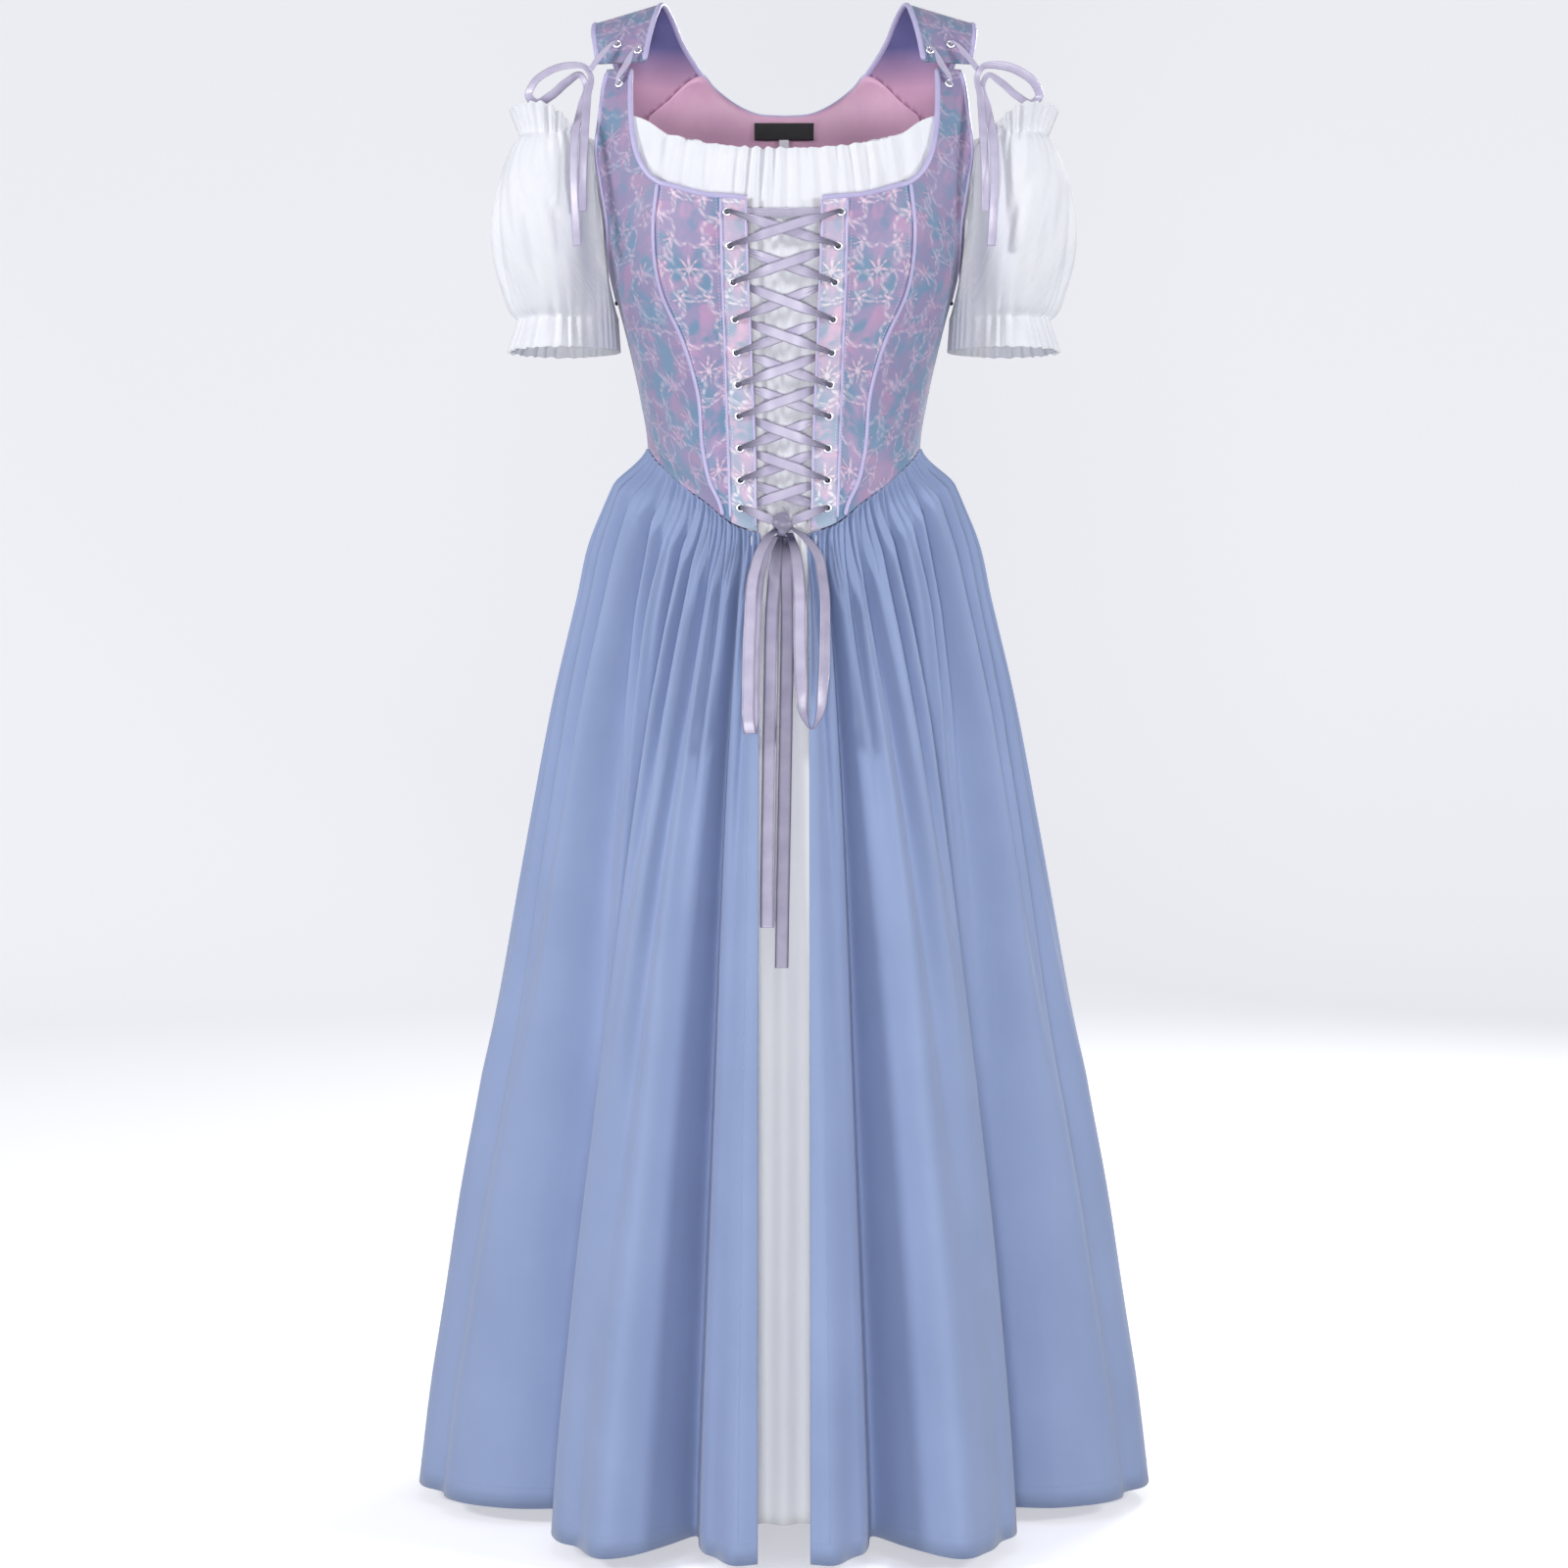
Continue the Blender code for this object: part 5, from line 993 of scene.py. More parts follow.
def laceControl(firstSide):
    # ribbon of the front lacing that leaves the top eyelet of one side: across, height, lift, width.
    # It comes out of the top eyelets, passes over the edges of the gap and goes in at the next eyelet;
    # from there on each crossing starts inside, and the last one ends inside too.
    heights, acrosses = eyeletRows["height"], eyeletRows["across"]
    inner, outer = (lace["inside"], lace["underEdge"]), (lace["outside"], lace["overEdge"])
    rows, last = [], len(heights) - 2
    if firstSide < 0:
        span = acrosses[0] - lace["behindStart"], lace["behindEnd"] - acrosses[0]
        for across in np.linspace(*span, lace["behindPoints"]):
            rows.append((across, heights[0], lace["underEdge"], lace["behindWidth"] * lace["width"]))
    rows.append((firstSide * acrosses[0], heights[0], lace["inside"], lace["inEyelet"]))
    for index in range(last + 1):
        side = firstSide * (-1) ** index
        over = lace["crossing"] * side * (-1) ** (index // 2)
        startHole, startEdge = inner if index > 0 else outer
        endHole, endEdge = inner if index == last else outer
        for along, width, share in zip(crossing["along"], crossing["width"], crossing["over"]):
            lift = mix(startEdge, endEdge, (along - lace["edgeShare"]) / lace["edgeSpan"])
            lift = startHole if along == 0.0 else endHole if along == 1.0 else lift
            across = mix(side * acrosses[index], -side * acrosses[index + 1], along)
            height = mix(heights[index], heights[index + 1], along)
            rows.append((across, height, lift + share * over, width * lace["width"]))
        if index < last:
            rows.append((-side * acrosses[index + 1], heights[index + 1], lace["inside"], lace["inEyelet"]))
    endAcross = firstSide * (-1) ** (last + 1) * acrosses[-1]
    for share, width, lift in zip(toKnot["along"], toKnot["width"], toKnot["lift"]):
        across, height = mix(endAcross, knot["across"], share), mix(heights[-1], knot["height"], share)
        rows.append((across, height, lace["outside"] + lift, width * lace["width"]))
    return throughPoints(rows, lace["points"])


def laceStrip(control):
    # the control rows laid on the bodice, with the ribbon's width up the cloth
    across, height, lift, width = control.T
    angle = frontAngle(across, height)
    places = figure(angle, height, lift)
    upwards = unit(figure(angle, height + tinyStep) - figure(angle, height - tinyStep))
    outwards = unit(figure(angle, height, 1.0) - figure(angle, height))
    return ribbonStrip(places, upwards, outwards, width, ribbonFold["lace"], ribbonFold["laceColumns"])


# Bow at the waist: half width of the opening in which its inner ribbons hang against the underskirt,
# the breadth over which they pass onto the overskirt, and the height below the seam over which they
# leave the bodice
bow = {"panelHalf": 0.008, "panelEase": 0.016, "seatedHeight": 0.03, "points": 220, "cordStep": 6}
loopLeft = table(
    "across height lift turn width",
    (-0.0058, -0.5088, 0.007, 20.0, 0.0055),
    (-0.0115, -0.5145, 0.0125, 15.0, 0.008),
    (-0.019, -0.526, 0.017, 10.0, 0.0095),
    (-0.027, -0.55, 0.017, 0.0, 0.011),
    (-0.031, -0.6, 0.015, 0.0, 0.0115),
    (-0.0325, -0.66, 0.014, 0.0, 0.0115),
    (-0.032, -0.69, 0.015, 0.0, 0.0115),
    (-0.0305, -0.699, 0.011, 0.0, 0.0115),
    (-0.029, -0.692, 0.006, 0.0, 0.0115),
    (-0.028, -0.66, 0.005, 0.0, 0.0115),
    (-0.0265, -0.6, 0.0055, 0.0, 0.011),
    (-0.022, -0.55, 0.007, 0.0, 0.0105),
    (-0.015, -0.53, 0.0075, 0.0, 0.0085),
    (-0.0085, -0.517, 0.006, 10.0, 0.0065),
)
loopRight = table(
    "across height lift turn width",
    (0.005, -0.514, 0.0085, -10.0, 0.0065),
    (0.01, -0.53, 0.011, 0.0, 0.009),
    (0.0135, -0.56, 0.011, 0.0, 0.0115),
    (0.0145, -0.62, 0.009, 0.0, 0.012),
    (0.016, -0.66, 0.008, 15.0, 0.0115),
    (0.019, -0.685, 0.008, 60.0, 0.011),
    (0.025, -0.695, 0.0085, 90.0, 0.011),
    (0.031, -0.685, 0.0085, 120.0, 0.011),
    (0.035, -0.66, 0.008, 155.0, 0.0105),
    (0.037, -0.61, 0.008, 165.0, 0.01),
    (0.036, -0.56, 0.01, 170.0, 0.0095),
    (0.03, -0.532, 0.012, 180.0, 0.009),
    (0.019, -0.518, 0.013, 185.0, 0.008),
    (0.0042, -0.5072, 0.0062, 190.0, 0.005),
)
tailShort = table(
    "across height lift turn width",
    (-0.004, -0.516, 0.005, 0.0, 0.007),
    (-0.007, -0.535, 0.007, 0.0, 0.01),
    (-0.0105, -0.58, 0.008, 0.0, 0.012),
    (-0.0125, -0.66, 0.007, 0.0, 0.0125),
    (-0.014, -0.76, 0.006, 0.0, 0.0125),
    (-0.015, -0.83, 0.0055, 0.0, 0.0125),
    (-0.0152, -0.873, 0.005, 0.0, 0.0125),
)
tailLong = table(
    "across height lift turn width",
    (0.001, -0.517, 0.0045, 0.0, 0.0065),
    (0.002, -0.54, 0.005, 0.0, 0.01),
    (0.003, -0.59, 0.004, 0.0, 0.012),
    (0.002, -0.67, 0.0035, 0.0, 0.012),
    (0.0005, -0.76, 0.003, 0.0, 0.012),
    (-0.001, -0.84, 0.0028, 0.0, 0.012),
    (-0.0022, -0.91, 0.0028, 0.0, 0.012),
)


def clothDepth(across, height, inner):
    # how far in front of the axis the cloth lies below the waist point, in the opening or over it
    panel = np.sqrt(smooth(panelRows, "height", "reach", height) ** 2 - across**2)
    belowSeam = np.minimum(height, waistSeam["height"][0] - skirt["seamGap"])
    over = np.sqrt(skirtRadius(np.radians(skirt["edgeDegrees"]), belowSeam) ** 2 - across**2)
    return mix(panel, over, ease((np.abs(across) - bow["panelHalf"]) / bow["panelEase"]) if inner else 1.0)


def hangingRibbon(rows, inner):
    # ribbon of the bow at the waist: turn is the angle of its width from sideways towards the back
    across, height, lift, turn, width = throughPoints(np.stack(list(rows.values()), -1), bow["points"]).T
    depth = clothDepth(across, height, inner) + lift
    waist = figure(frontAngle(across, height), height, lift)
    nearKnot = ease((height - waistSeam["height"][0]) / bow["seatedHeight"] + 1)
    depth = mix(depth, np.maximum(-waist[:, 1], depth), nearKnot)
    places = np.stack([across, -depth, height], -1)
    directions = np.stack([np.cos(np.radians(turn)), np.sin(np.radians(turn)), np.zeros_like(turn)], -1)
    normals = unit(np.cross(directions, np.gradient(places, axis=0)))
    strip = ribbonStrip(places, directions, normals, width, ribbonFold["bow"], ribbonFold["bowColumns"])
    return places, strip, width


# Shoulder lacing: places of its eyelets and knot, the bow's tilt in degrees, its ribbons' lifts off the
# strap and their widths
shoulder = {
    "frontEyelet": (0.157, -0.083), "knot": (0.1853, -0.0446, -0.0686), "bowTilt": 28.0, "bowWidth": 0.0085,
    "bowPoints": 260, "points": 120, "out": 0.0034, "swollen": 0.0054, "width": 0.006, "frontWidth": 0.007,
    "step": 0.1,
}
strapEyelets = table("share station", (0.42, 5.15), (0.82, 5.55))
shoulderBow = table(
    "x y z width",
    (0.1905, -0.074, -0.208, 0.008),
    (0.19, -0.0775, -0.17, 0.0085),
    (0.1885, -0.07, -0.13, 0.0085),
    (0.187, -0.056, -0.095, 0.008),
    (0.1855, -0.045, -0.072, 0.006),
    (0.19, -0.044, -0.0655, 0.006),
    (0.205, -0.045, -0.064, 0.008),
    (0.225, -0.045, -0.07, 0.0085),
    (0.24, -0.044, -0.082, 0.0085),
    (0.244, -0.042, -0.093, 0.0085),
    (0.238, -0.04, -0.099, 0.0085),
    (0.223, -0.039, -0.092, 0.0085),
    (0.208, -0.038, -0.079, 0.008),
    (0.195, -0.0385, -0.072, 0.006),
    (0.1905, -0.04, -0.079, 0.006),
    (0.1935, -0.052, -0.105, 0.008),
    (0.1975, -0.072, -0.135, 0.0085),
    (0.1985, -0.083, -0.175, 0.0085),
    (0.1965, -0.087, -0.215, 0.0085),
    (0.195, -0.085, -0.242, 0.0085),
)


def shoulderBowRibbon(side):
    # bow at a shoulder: tail, loop and second tail of one ribbon along its table of places
    x, y, z, width = throughPoints(np.stack(list(shoulderBow.values()), -1), shoulder["bowPoints"]).T
    places = np.stack([side * x, y, z], -1)
    backwards = np.array((0.0, 1.0, 0.0))
    flat = unit(np.cross(np.gradient(places, axis=0), backwards))
    tilt = np.radians(shoulder["bowTilt"])
    directions = unit(np.cos(tilt) * flat - np.sin(tilt) * backwards)
    normals = unit(np.cross(directions, np.gradient(places, axis=0)))
    strip = ribbonStrip(places, directions, normals, width, ribbonFold["bow"], ribbonFold["bowColumns"])
    return places, strip


def strapEyeletFrames(side):
    # place and outward direction of the shoulder eyelets on one side, the front strap's last
    u, v = strapEyelets["share"], strapEyelets["station"] / strapRows["station"][-1]
    place = strap(u, v)
    across = strap(u + shoulder["step"], v) - strap(u - shoulder["step"], v)
    forwards = strap(u, v + shoulder["step"]) - strap(u, v - shoulder["step"])
    outwards = unit(np.cross(across, forwards))
    height = np.array(shoulder["frontEyelet"][1])
    angle = frontAngle(np.array(shoulder["frontEyelet"][0]), height)
    front = figure(angle, height)
    flip = np.array((side, 1.0, 1.0))
    frontOutwards = unit(figure(angle, height, 1.0) - front)
    return np.vstack([place, front]) * flip, np.vstack([outwards, frontOutwards]) * flip


def shoulderLaceRibbon(side):
    # ribbon that laces a shoulder: in and out through the back strap, then in at the front strap
    place, outwards = strapEyeletFrames(1)
    outer, inner, front = range(3)
    start = np.array(shoulder["knot"])
    away, across, back = place[outer] - start, place[inner] - place[outer], place[inner] - place[front]
    out, swollen, wide, narrow = shoulder["out"], shoulder["swollen"], shoulder["width"], lace["inEyelet"]
    inside, rows = lace["inside"], []
    for at, clothAt, along, lift, width in (
        (start, outer, away, 0.0, wide),
        (mix(start, place[outer], 0.5), outer, away, swollen, wide),
        (place[outer], outer, across, out, narrow),
        (place[outer], outer, across, inside, narrow),
        (mix(place[outer], place[inner], 0.5), inner, across, inside, wide),
        (place[inner], inner, across, inside, narrow),
        (place[inner], inner, across, out, narrow),
        (mix(place[inner], place[front], 0.5), inner, back, swollen, shoulder["frontWidth"]),
        (place[front], front, back, out, narrow),
        (place[front], front, back, inside, narrow),
    ):
        square = unit(np.cross(outwards[clothAt], along))
        rows.append(np.concatenate([at + outwards[clothAt] * lift, square, outwards[clothAt], [width]]))
    made = throughPoints(rows, shoulder["points"])
    flip = np.array((side, 1.0, 1.0))
    path, square, facing = made[:, :3] * flip, unit(made[:, 3:6]) * flip, unit(made[:, 6:9]) * flip
    return ribbonStrip(path, square, facing, made[:, 9], ribbonFold["shoulder"], ribbonFold["bowColumns"])


# Eyelets: radius of the hole cut for them, faces round the ring, a direction that no eyelet faces, and
# the section of the rolled ring as radius and height
eyelet = {"holeRadius": 0.0029, "sides": 32, "aside": (0.3, 0.2, 0.9)}
eyeletSection = table(
    "radius rise",
    (0.0023, -0.0022),
    (0.0021, 0.0002),
    (0.0023, 0.0012),
    (0.0028, 0.0017),
    (0.0034, 0.0017),
    (0.0041, 0.0012),
    (0.0046, 0.0003),
    (0.0044, 0.0000),
    (0.0029, 0.0000),
    (0.0028, -0.0021),
    (0.0023, -0.0022),
)


def turnedRing(place, outwards):
    # ring turned about an axis: the section's radius round it and its height along it
    forwards = unit(np.cross(outwards, np.array(eyelet["aside"])))
    sideways = np.cross(outwards, forwards)
    radius, rise = eyeletSection["radius"], eyeletSection["rise"]

    def shape(u, v):
        index = np.rint(v * (len(radius) - 1)).astype(int)
        turn = 2 * np.pi * u[..., None]
        spread = radius[index][..., None] * (np.cos(turn) * forwards + np.sin(turn) * sideways)
        return place + spread + rise[index][..., None] * outwards

    return shape, eyelet["sides"], len(radius) - 1


# Steps of the sRGB curve
srgb = {"low": 0.04045, "slope": 12.92, "offset": 0.055, "power": 2.4}


def linear(code, alpha=1.0):
    # sRGB hex to linear: c / slope up to low, else ((c + offset) / (1 + offset)) to the power
    channels = [int(code[at : at + 2], 16) / 255 for at in (0, 2, 4)]
    low, slope, offset, power = srgb["low"], srgb["slope"], srgb["offset"], srgb["power"]
    return (*[c / slope if c <= low else ((c + offset) / (1 + offset)) ** power for c in channels], alpha)


def addNode(tree, kind, inputs=(), out=0, **settings):
    # adds a node with its settings, and sets or links its inputs by place or by name
    node = tree.nodes.new("ShaderNode" + kind)
    for name, value in settings.items():
        setattr(node, name, value)
    for name, value in inputs.items() if isinstance(inputs, dict) else enumerate(inputs):
        if isinstance(value, bpy.types.NodeSocket):
            tree.links.new(value, node.inputs[name])
        else:
            node.inputs[name].default_value = value
    return node.outputs[out]


def newMaterial(name, **sockets):
    # material with its Principled shader's own sockets set: returns material, tree and shader
    material = bpy.data.materials.new(name)
    material.use_nodes = True
    tree = material.node_tree
    shader = tree.nodes["Principled BSDF"]
    for socket, value in sockets.items():
        shader.inputs[socket.replace("_", " ")].default_value = value
    return material, tree, shader


# Textile fibre: its IOR and sheen, and the waves that a wave texture has in a unit at scale 1
fibre = {"ior": 1.5, "sheenRoughness": 0.4, "mottleEdges": (0.3, 0.7), "waves": 3.2}


def waveScale(pitch):
    # scale of a wave texture whose waves are a pitch apart
    return 1 / pitch / fibre["waves"]


def weaveHeight(tree, coords, pitch):
    # plain weave: warp and weft sines a thread pitch apart, the higher of the two on top
    wave = {"Vector": coords, "Scale": waveScale(pitch)}
    warp, weft = (addNode(tree, "TexWave", wave, out=1, bands_direction=way) for way in "XY")
    return addNode(tree, "Math", (warp, weft), operation="MAXIMUM")


def clothMaterial(name, look):
    # woven cloth: base colour mottled a little, thread relief at its pitch, soft crumple relief
    material, tree, shader = newMaterial(
        name, Roughness=look["roughness"], IOR=fibre["ior"], Sheen_Weight=look["sheen"],
        Sheen_Roughness=fibre["sheenRoughness"],
    )
    coords = addNode(tree, "UVMap", uv_map="cloth")
    spot = addNode(tree, "TexNoise", {"Vector": coords, "Scale": 1 / look["mottle"], "Detail": 3.0})
    low, high = fibre["mottleEdges"]
    share = addNode(tree, "MapRange", {"Value": spot, "From Min": low, "From Max": high})
    colours = {"Factor": share, "A": linear(look["colour"]), "B": linear(look["second"])}
    colour = addNode(tree, "Mix", colours, 2, data_type="RGBA")
    tree.links.new(colour, shader.inputs["Base Color"])
    stretch = addNode(tree, "Mapping", {"Vector": coords, "Scale": look["crumpleStretch"]})
    crumple = addNode(tree, "TexNoise", {"Vector": stretch, "Scale": 1 / look["crumple"], "Detail": 4.0})
    raised = {"Height": crumple, "Distance": look["crumpleDepth"], "Strength": 1.0}
    relief = addNode(tree, "Bump", raised)
    threads = weaveHeight(tree, coords, look["pitch"])
    raised = {"Height": threads, "Distance": look["threadDepth"], "Strength": 1.0, "Normal": relief}
    tree.links.new(addNode(tree, "Bump", raised), shader.inputs["Normal"])
    return material


# Plain-woven cotton and polyester, piece-dyed periwinkle: matt with a soft bloom; threads every
# 0.35 mm are too fine to show, so they are drawn 0.9 mm apart
skirtCloth = clothMaterial("piece_dyed_plain_weave", {
    "colour": "899AC1", "second": "90A1C8", "roughness": 0.78, "sheen": 0.25, "mottle": 0.12,
    "crumple": 0.03, "crumpleStretch": (1.0, 0.35, 1.0), "crumpleDepth": 0.0012,
    "pitch": 0.0009, "threadDepth": 0.00008,
})
# White crinkled plain weave of the blouse, sleeves and underskirt: light, matt, faintly creased
whiteCloth = clothMaterial("white_crinkle_weave", {
    "colour": "ECEDF2", "second": "E6E8EF", "roughness": 0.85, "sheen": 0.2, "mottle": 0.05,
    "crumple": 0.01, "crumpleStretch": (1.6, 0.5, 1.0), "crumpleDepth": 0.0011,
    "pitch": 0.0008, "threadDepth": 0.00007,
})
# The underskirt is of the same weave, pressed smoother; its colour is painted whiter, a lit copy of
# the white cloth for the shade of its recess
litWhiteCloth = clothMaterial("white_weave_painted_light", {
    "colour": "FAFAFC", "second": "F6F7FA", "roughness": 0.8, "sheen": 0.25, "mottle": 0.1,
    "crumple": 0.03, "crumpleStretch": (1.2, 0.3, 1.0), "crumpleDepth": 0.0007,
    "pitch": 0.0008, "threadDepth": 0.00006,
})
# Polyester satin lining: smooth, pink in the back and blue-violet up the straps
liningCloth = clothMaterial("satin_lining", {
    "colour": "DFB2CC", "second": "D8A6C6", "roughness": 0.42, "sheen": 0.15, "mottle": 0.04,
    "crumple": 0.02, "crumpleStretch": (1.0, 0.5, 1.0), "crumpleDepth": 0.001,
    "pitch": 0.0006, "threadDepth": 0.00003,
})
strapLining = clothMaterial("satin_strap_lining", {
    "colour": "5D5C90", "second": "6A68A0", "roughness": 0.45, "sheen": 0.05, "mottle": 0.03,
    "crumple": 0.012, "crumpleStretch": (1.0, 0.6, 1.0), "crumpleDepth": 0.0008,
    "pitch": 0.0006, "threadDepth": 0.00003,
})
# Down the straps the violet gives way to the pink of the back, between these heights
strapFade = {"low": -0.066, "high": -0.03, "pink": "D3A4C4"}
tree = strapLining.node_tree
shader = tree.nodes["Principled BSDF"]
height = addNode(tree, "SeparateXYZ", (addNode(tree, "TexCoord", out=3),), out=2)
fadeRange = {"Value": height, "From Min": strapFade["low"], "From Max": strapFade["high"]}
share = addNode(tree, "MapRange", fadeRange)
violet = shader.inputs["Base Color"].links[0].from_socket
colours = {"Factor": share, "A": linear(strapFade["pink"]), "B": violet}
tree.links.new(addNode(tree, "Mix", colours, 2, data_type="RGBA"), shader.inputs["Base Color"])
# Woven polyester label, black and bare
labelCloth = clothMaterial("black_label_taffeta", {
    "colour": "101012", "second": "1B1B1F", "roughness": 0.55, "sheen": 0.1, "mottle": 0.01,
    "crumple": 0.008, "crumpleStretch": (1.0, 1.0, 1.0), "crumpleDepth": 0.0003,
    "pitch": 0.0007, "threadDepth": 0.00008,
})


# Satin: its sheen and coat, the size of the patches in its colour, and how its threads waver
satin = {"sheen": 0.2, "sheenRoughness": 0.3, "coatRoughness": 0.35, "patch": 0.018, "waver": 0.6}


def satinMaterial(name, look):
    # satin ribbon or bias tape: lengthwise float threads give long highlights; painted shade darkens it
    # in its pleats, and towards its selvedges it darkens partly as a darker selvedge and partly as
    # painted shade
    material, tree, shader = newMaterial(
        name, Roughness=look["roughness"], IOR=fibre["ior"], Sheen_Weight=satin["sheen"],
        Sheen_Roughness=satin["sheenRoughness"], Coat_Weight=look["coat"],
        Coat_Roughness=satin["coatRoughness"],
    )
    coords = addNode(tree, "UVMap", uv_map="cloth")
    spot = addNode(tree, "TexNoise", {"Vector": coords, "Scale": 1 / satin["patch"], "Detail": 2.0})
    colours = {"Factor": spot, "A": linear(look["colour"]), "B": linear(look["second"])}
    colour = addNode(tree, "Mix", colours, 2, data_type="RGBA")
    # towards the edges darkened towards the fold colour, up to rim: partly a darker woven selvedge, partly
    # painted edge shade
    aside = addNode(tree, "Math", (addNode(tree, "SeparateXYZ", (coords,), out=0),), operation="ABSOLUTE")
    edge = {"Value": aside, "From Min": look["plain"], "From Max": look["selvedgeShade"], "To Max": look["rim"]}
    selvedgeShade = addNode(tree, "MapRange", edge)
    # painted shade: darkened towards the fold colour in the pleats and where a bow's ribbon leaves the knot
    pinch = addNode(tree, "Attribute", out=2, attribute_name="pinch")
    pinch = addNode(tree, "Math", (pinch, selvedgeShade), operation="MAXIMUM")
    colours = {"Factor": pinch, "A": colour, "B": linear(look["fold"])}
    tree.links.new(addNode(tree, "Mix", colours, 2, data_type="RGBA"), shader.inputs["Base Color"])
    wave = {"Vector": coords, "Scale": waveScale(look["pitch"]), "Distortion": satin["waver"]}
    threads = addNode(tree, "TexWave", wave, out=1, bands_direction="X")
    relief = addNode(tree, "Bump", {"Height": threads, "Distance": look["threadDepth"], "Strength": 1.0})
    tree.links.new(relief, shader.inputs["Normal"])
    return material


# Double-faced satin ribbon of the lacing and bows: pale lilac-grey with near-white highlights
ribbonSatin = satinMaterial("double_faced_satin_ribbon", {
    # fold is the colour of the painted shade in the pleats and at the edges
    "colour": "A9A1C0", "second": "D0CADF", "fold": "2E2C4C", "roughness": 0.28, "coat": 0.25,
    "plain": 0.0034, "selvedgeShade": 0.0054, "rim": 0.55,
    "pitch": 0.0007, "threadDepth": 0.00003,
})
# Bias-cut satin binding and piping: deeper lilac, rolled over the edge
bindingSatin = satinMaterial("bias_satin_binding", {
    "colour": "AFA8D2", "second": "C6C0E4", "fold": "6B6496", "roughness": 0.34, "coat": 0.12,
    "plain": 0.5, "selvedgeShade": 1.0, "rim": 0.0,
    "pitch": 0.0007, "threadDepth": 0.00003,
})
threadCotton = satinMaterial("twisted_sewing_thread", {
    "colour": "D9D2EA", "second": "EFEAF6", "fold": "9A93B8", "roughness": 0.5, "coat": 0.0,
    "plain": 0.5, "selvedgeShade": 1.0, "rim": 0.0,
    "pitch": 0.0004, "threadDepth": 0.00005,
})
# Nickel-plated brass eyelets, stamped and rolled: bright, with fine rolling marks 0.7 mm across
nickel = {
    "metallic": 0.9, "roughness": 0.3, "dull": "E4E6EB", "bright": "F8F9FB", "marks": 0.001 / 1.4,
    "markDepth": 0.00003,
}
eyeletMetal, tree, shader = newMaterial(
    "nickel_plated_eyelet", Metallic=nickel["metallic"], Roughness=nickel["roughness"]
)
coords = addNode(tree, "TexCoord", out=3)
marks = addNode(tree, "TexNoise", {"Vector": coords, "Scale": 1 / nickel["marks"], "Detail": 2.0})
colours = {"Factor": marks, "A": linear(nickel["dull"]), "B": linear(nickel["bright"])}
tree.links.new(addNode(tree, "Mix", colours, 2, data_type="RGBA"), shader.inputs["Base Color"])
raised = {"Height": marks, "Distance": nickel["markDepth"], "Strength": 1.0}
tree.links.new(addNode(tree, "Bump", raised), shader.inputs["Normal"])

# Brocade: a generic floral repeat, in millimetres from the corner of half a repeat. The repeat is
# mirrored sideways, and rosettes on its two edges lie half a repeat apart.
brocade = {
    "repeatWidth": 64.0, "repeatHeight": 96.0, "waver": 9.0, "waverSize": 19.0,
    "sheen": 0.3, "sheenRoughness": 0.35,
    # where lines and patches fade in, from none to full
    "ring": (1.1, 0.4), "vein": (0.55, 0.95), "rim": (0.8, 0.2), "cloud": (0.44, 0.56), "bloom": (0.5, 0.64),
    "stroke": (0.2, 0.8), "strokeLow": 0.35,
    # shares of a rosette's radius for its petals, ring and heart; and of a scroll's radius and width
    "petalWave": 0.42, "petalMean": 0.58, "ringInset": 0.3, "heart": (0.26, 0.14),
    "drawn": (-0.3, 0.4), "scroll": (1.8, 0.6),
    "cloudSize": 42.0, "bloomSize": 24.0, "strokeSize": 4.0, "strokeWaver": 7.0,
    "relief": 0.00035, "floatSize": 0.9, "floatDepth": 0.0001,
    "rosettes": (
        # x, y, radius, petals, turn, softness
        (0.0, 48.0, 13.5, 8, 0.4, 1.6),
        (32.0, 0.0, 11.5, 6, 0.9, 1.5),
        (32.0, 96.0, 11.5, 6, 0.9, 1.5),
        (15.0, 21.0, 7.5, 5, 0.2, 1.2),
        (19.0, 74.0, 7.0, 5, 1.4, 1.2),
        (30.0, 50.0, 8.0, 5, 0.5, 1.2),
    ),
    "scrolls": (
        # x, y, radius, half width of the line, degrees of its middle
        (14.0, 36.0, 9.0, 1.4, 200.0),
        (20.0, 32.0, 15.0, 1.0, 75.0),
        (13.0, 62.0, 10.0, 1.6, 20.0),
        (22.0, 60.0, 6.0, 1.2, 150.0),
        (8.0, 78.0, 8.5, 1.3, 300.0),
        (24.0, 86.0, 9.0, 1.5, 120.0),
        (8.0, 14.0, 9.0, 1.3, 60.0),
        (25.0, 14.0, 12.0, 1.5, 210.0),
        (4.0, 34.0, 17.0, 0.9, 320.0),
        (30.0, 72.0, 14.0, 1.2, 230.0),
    ),
}


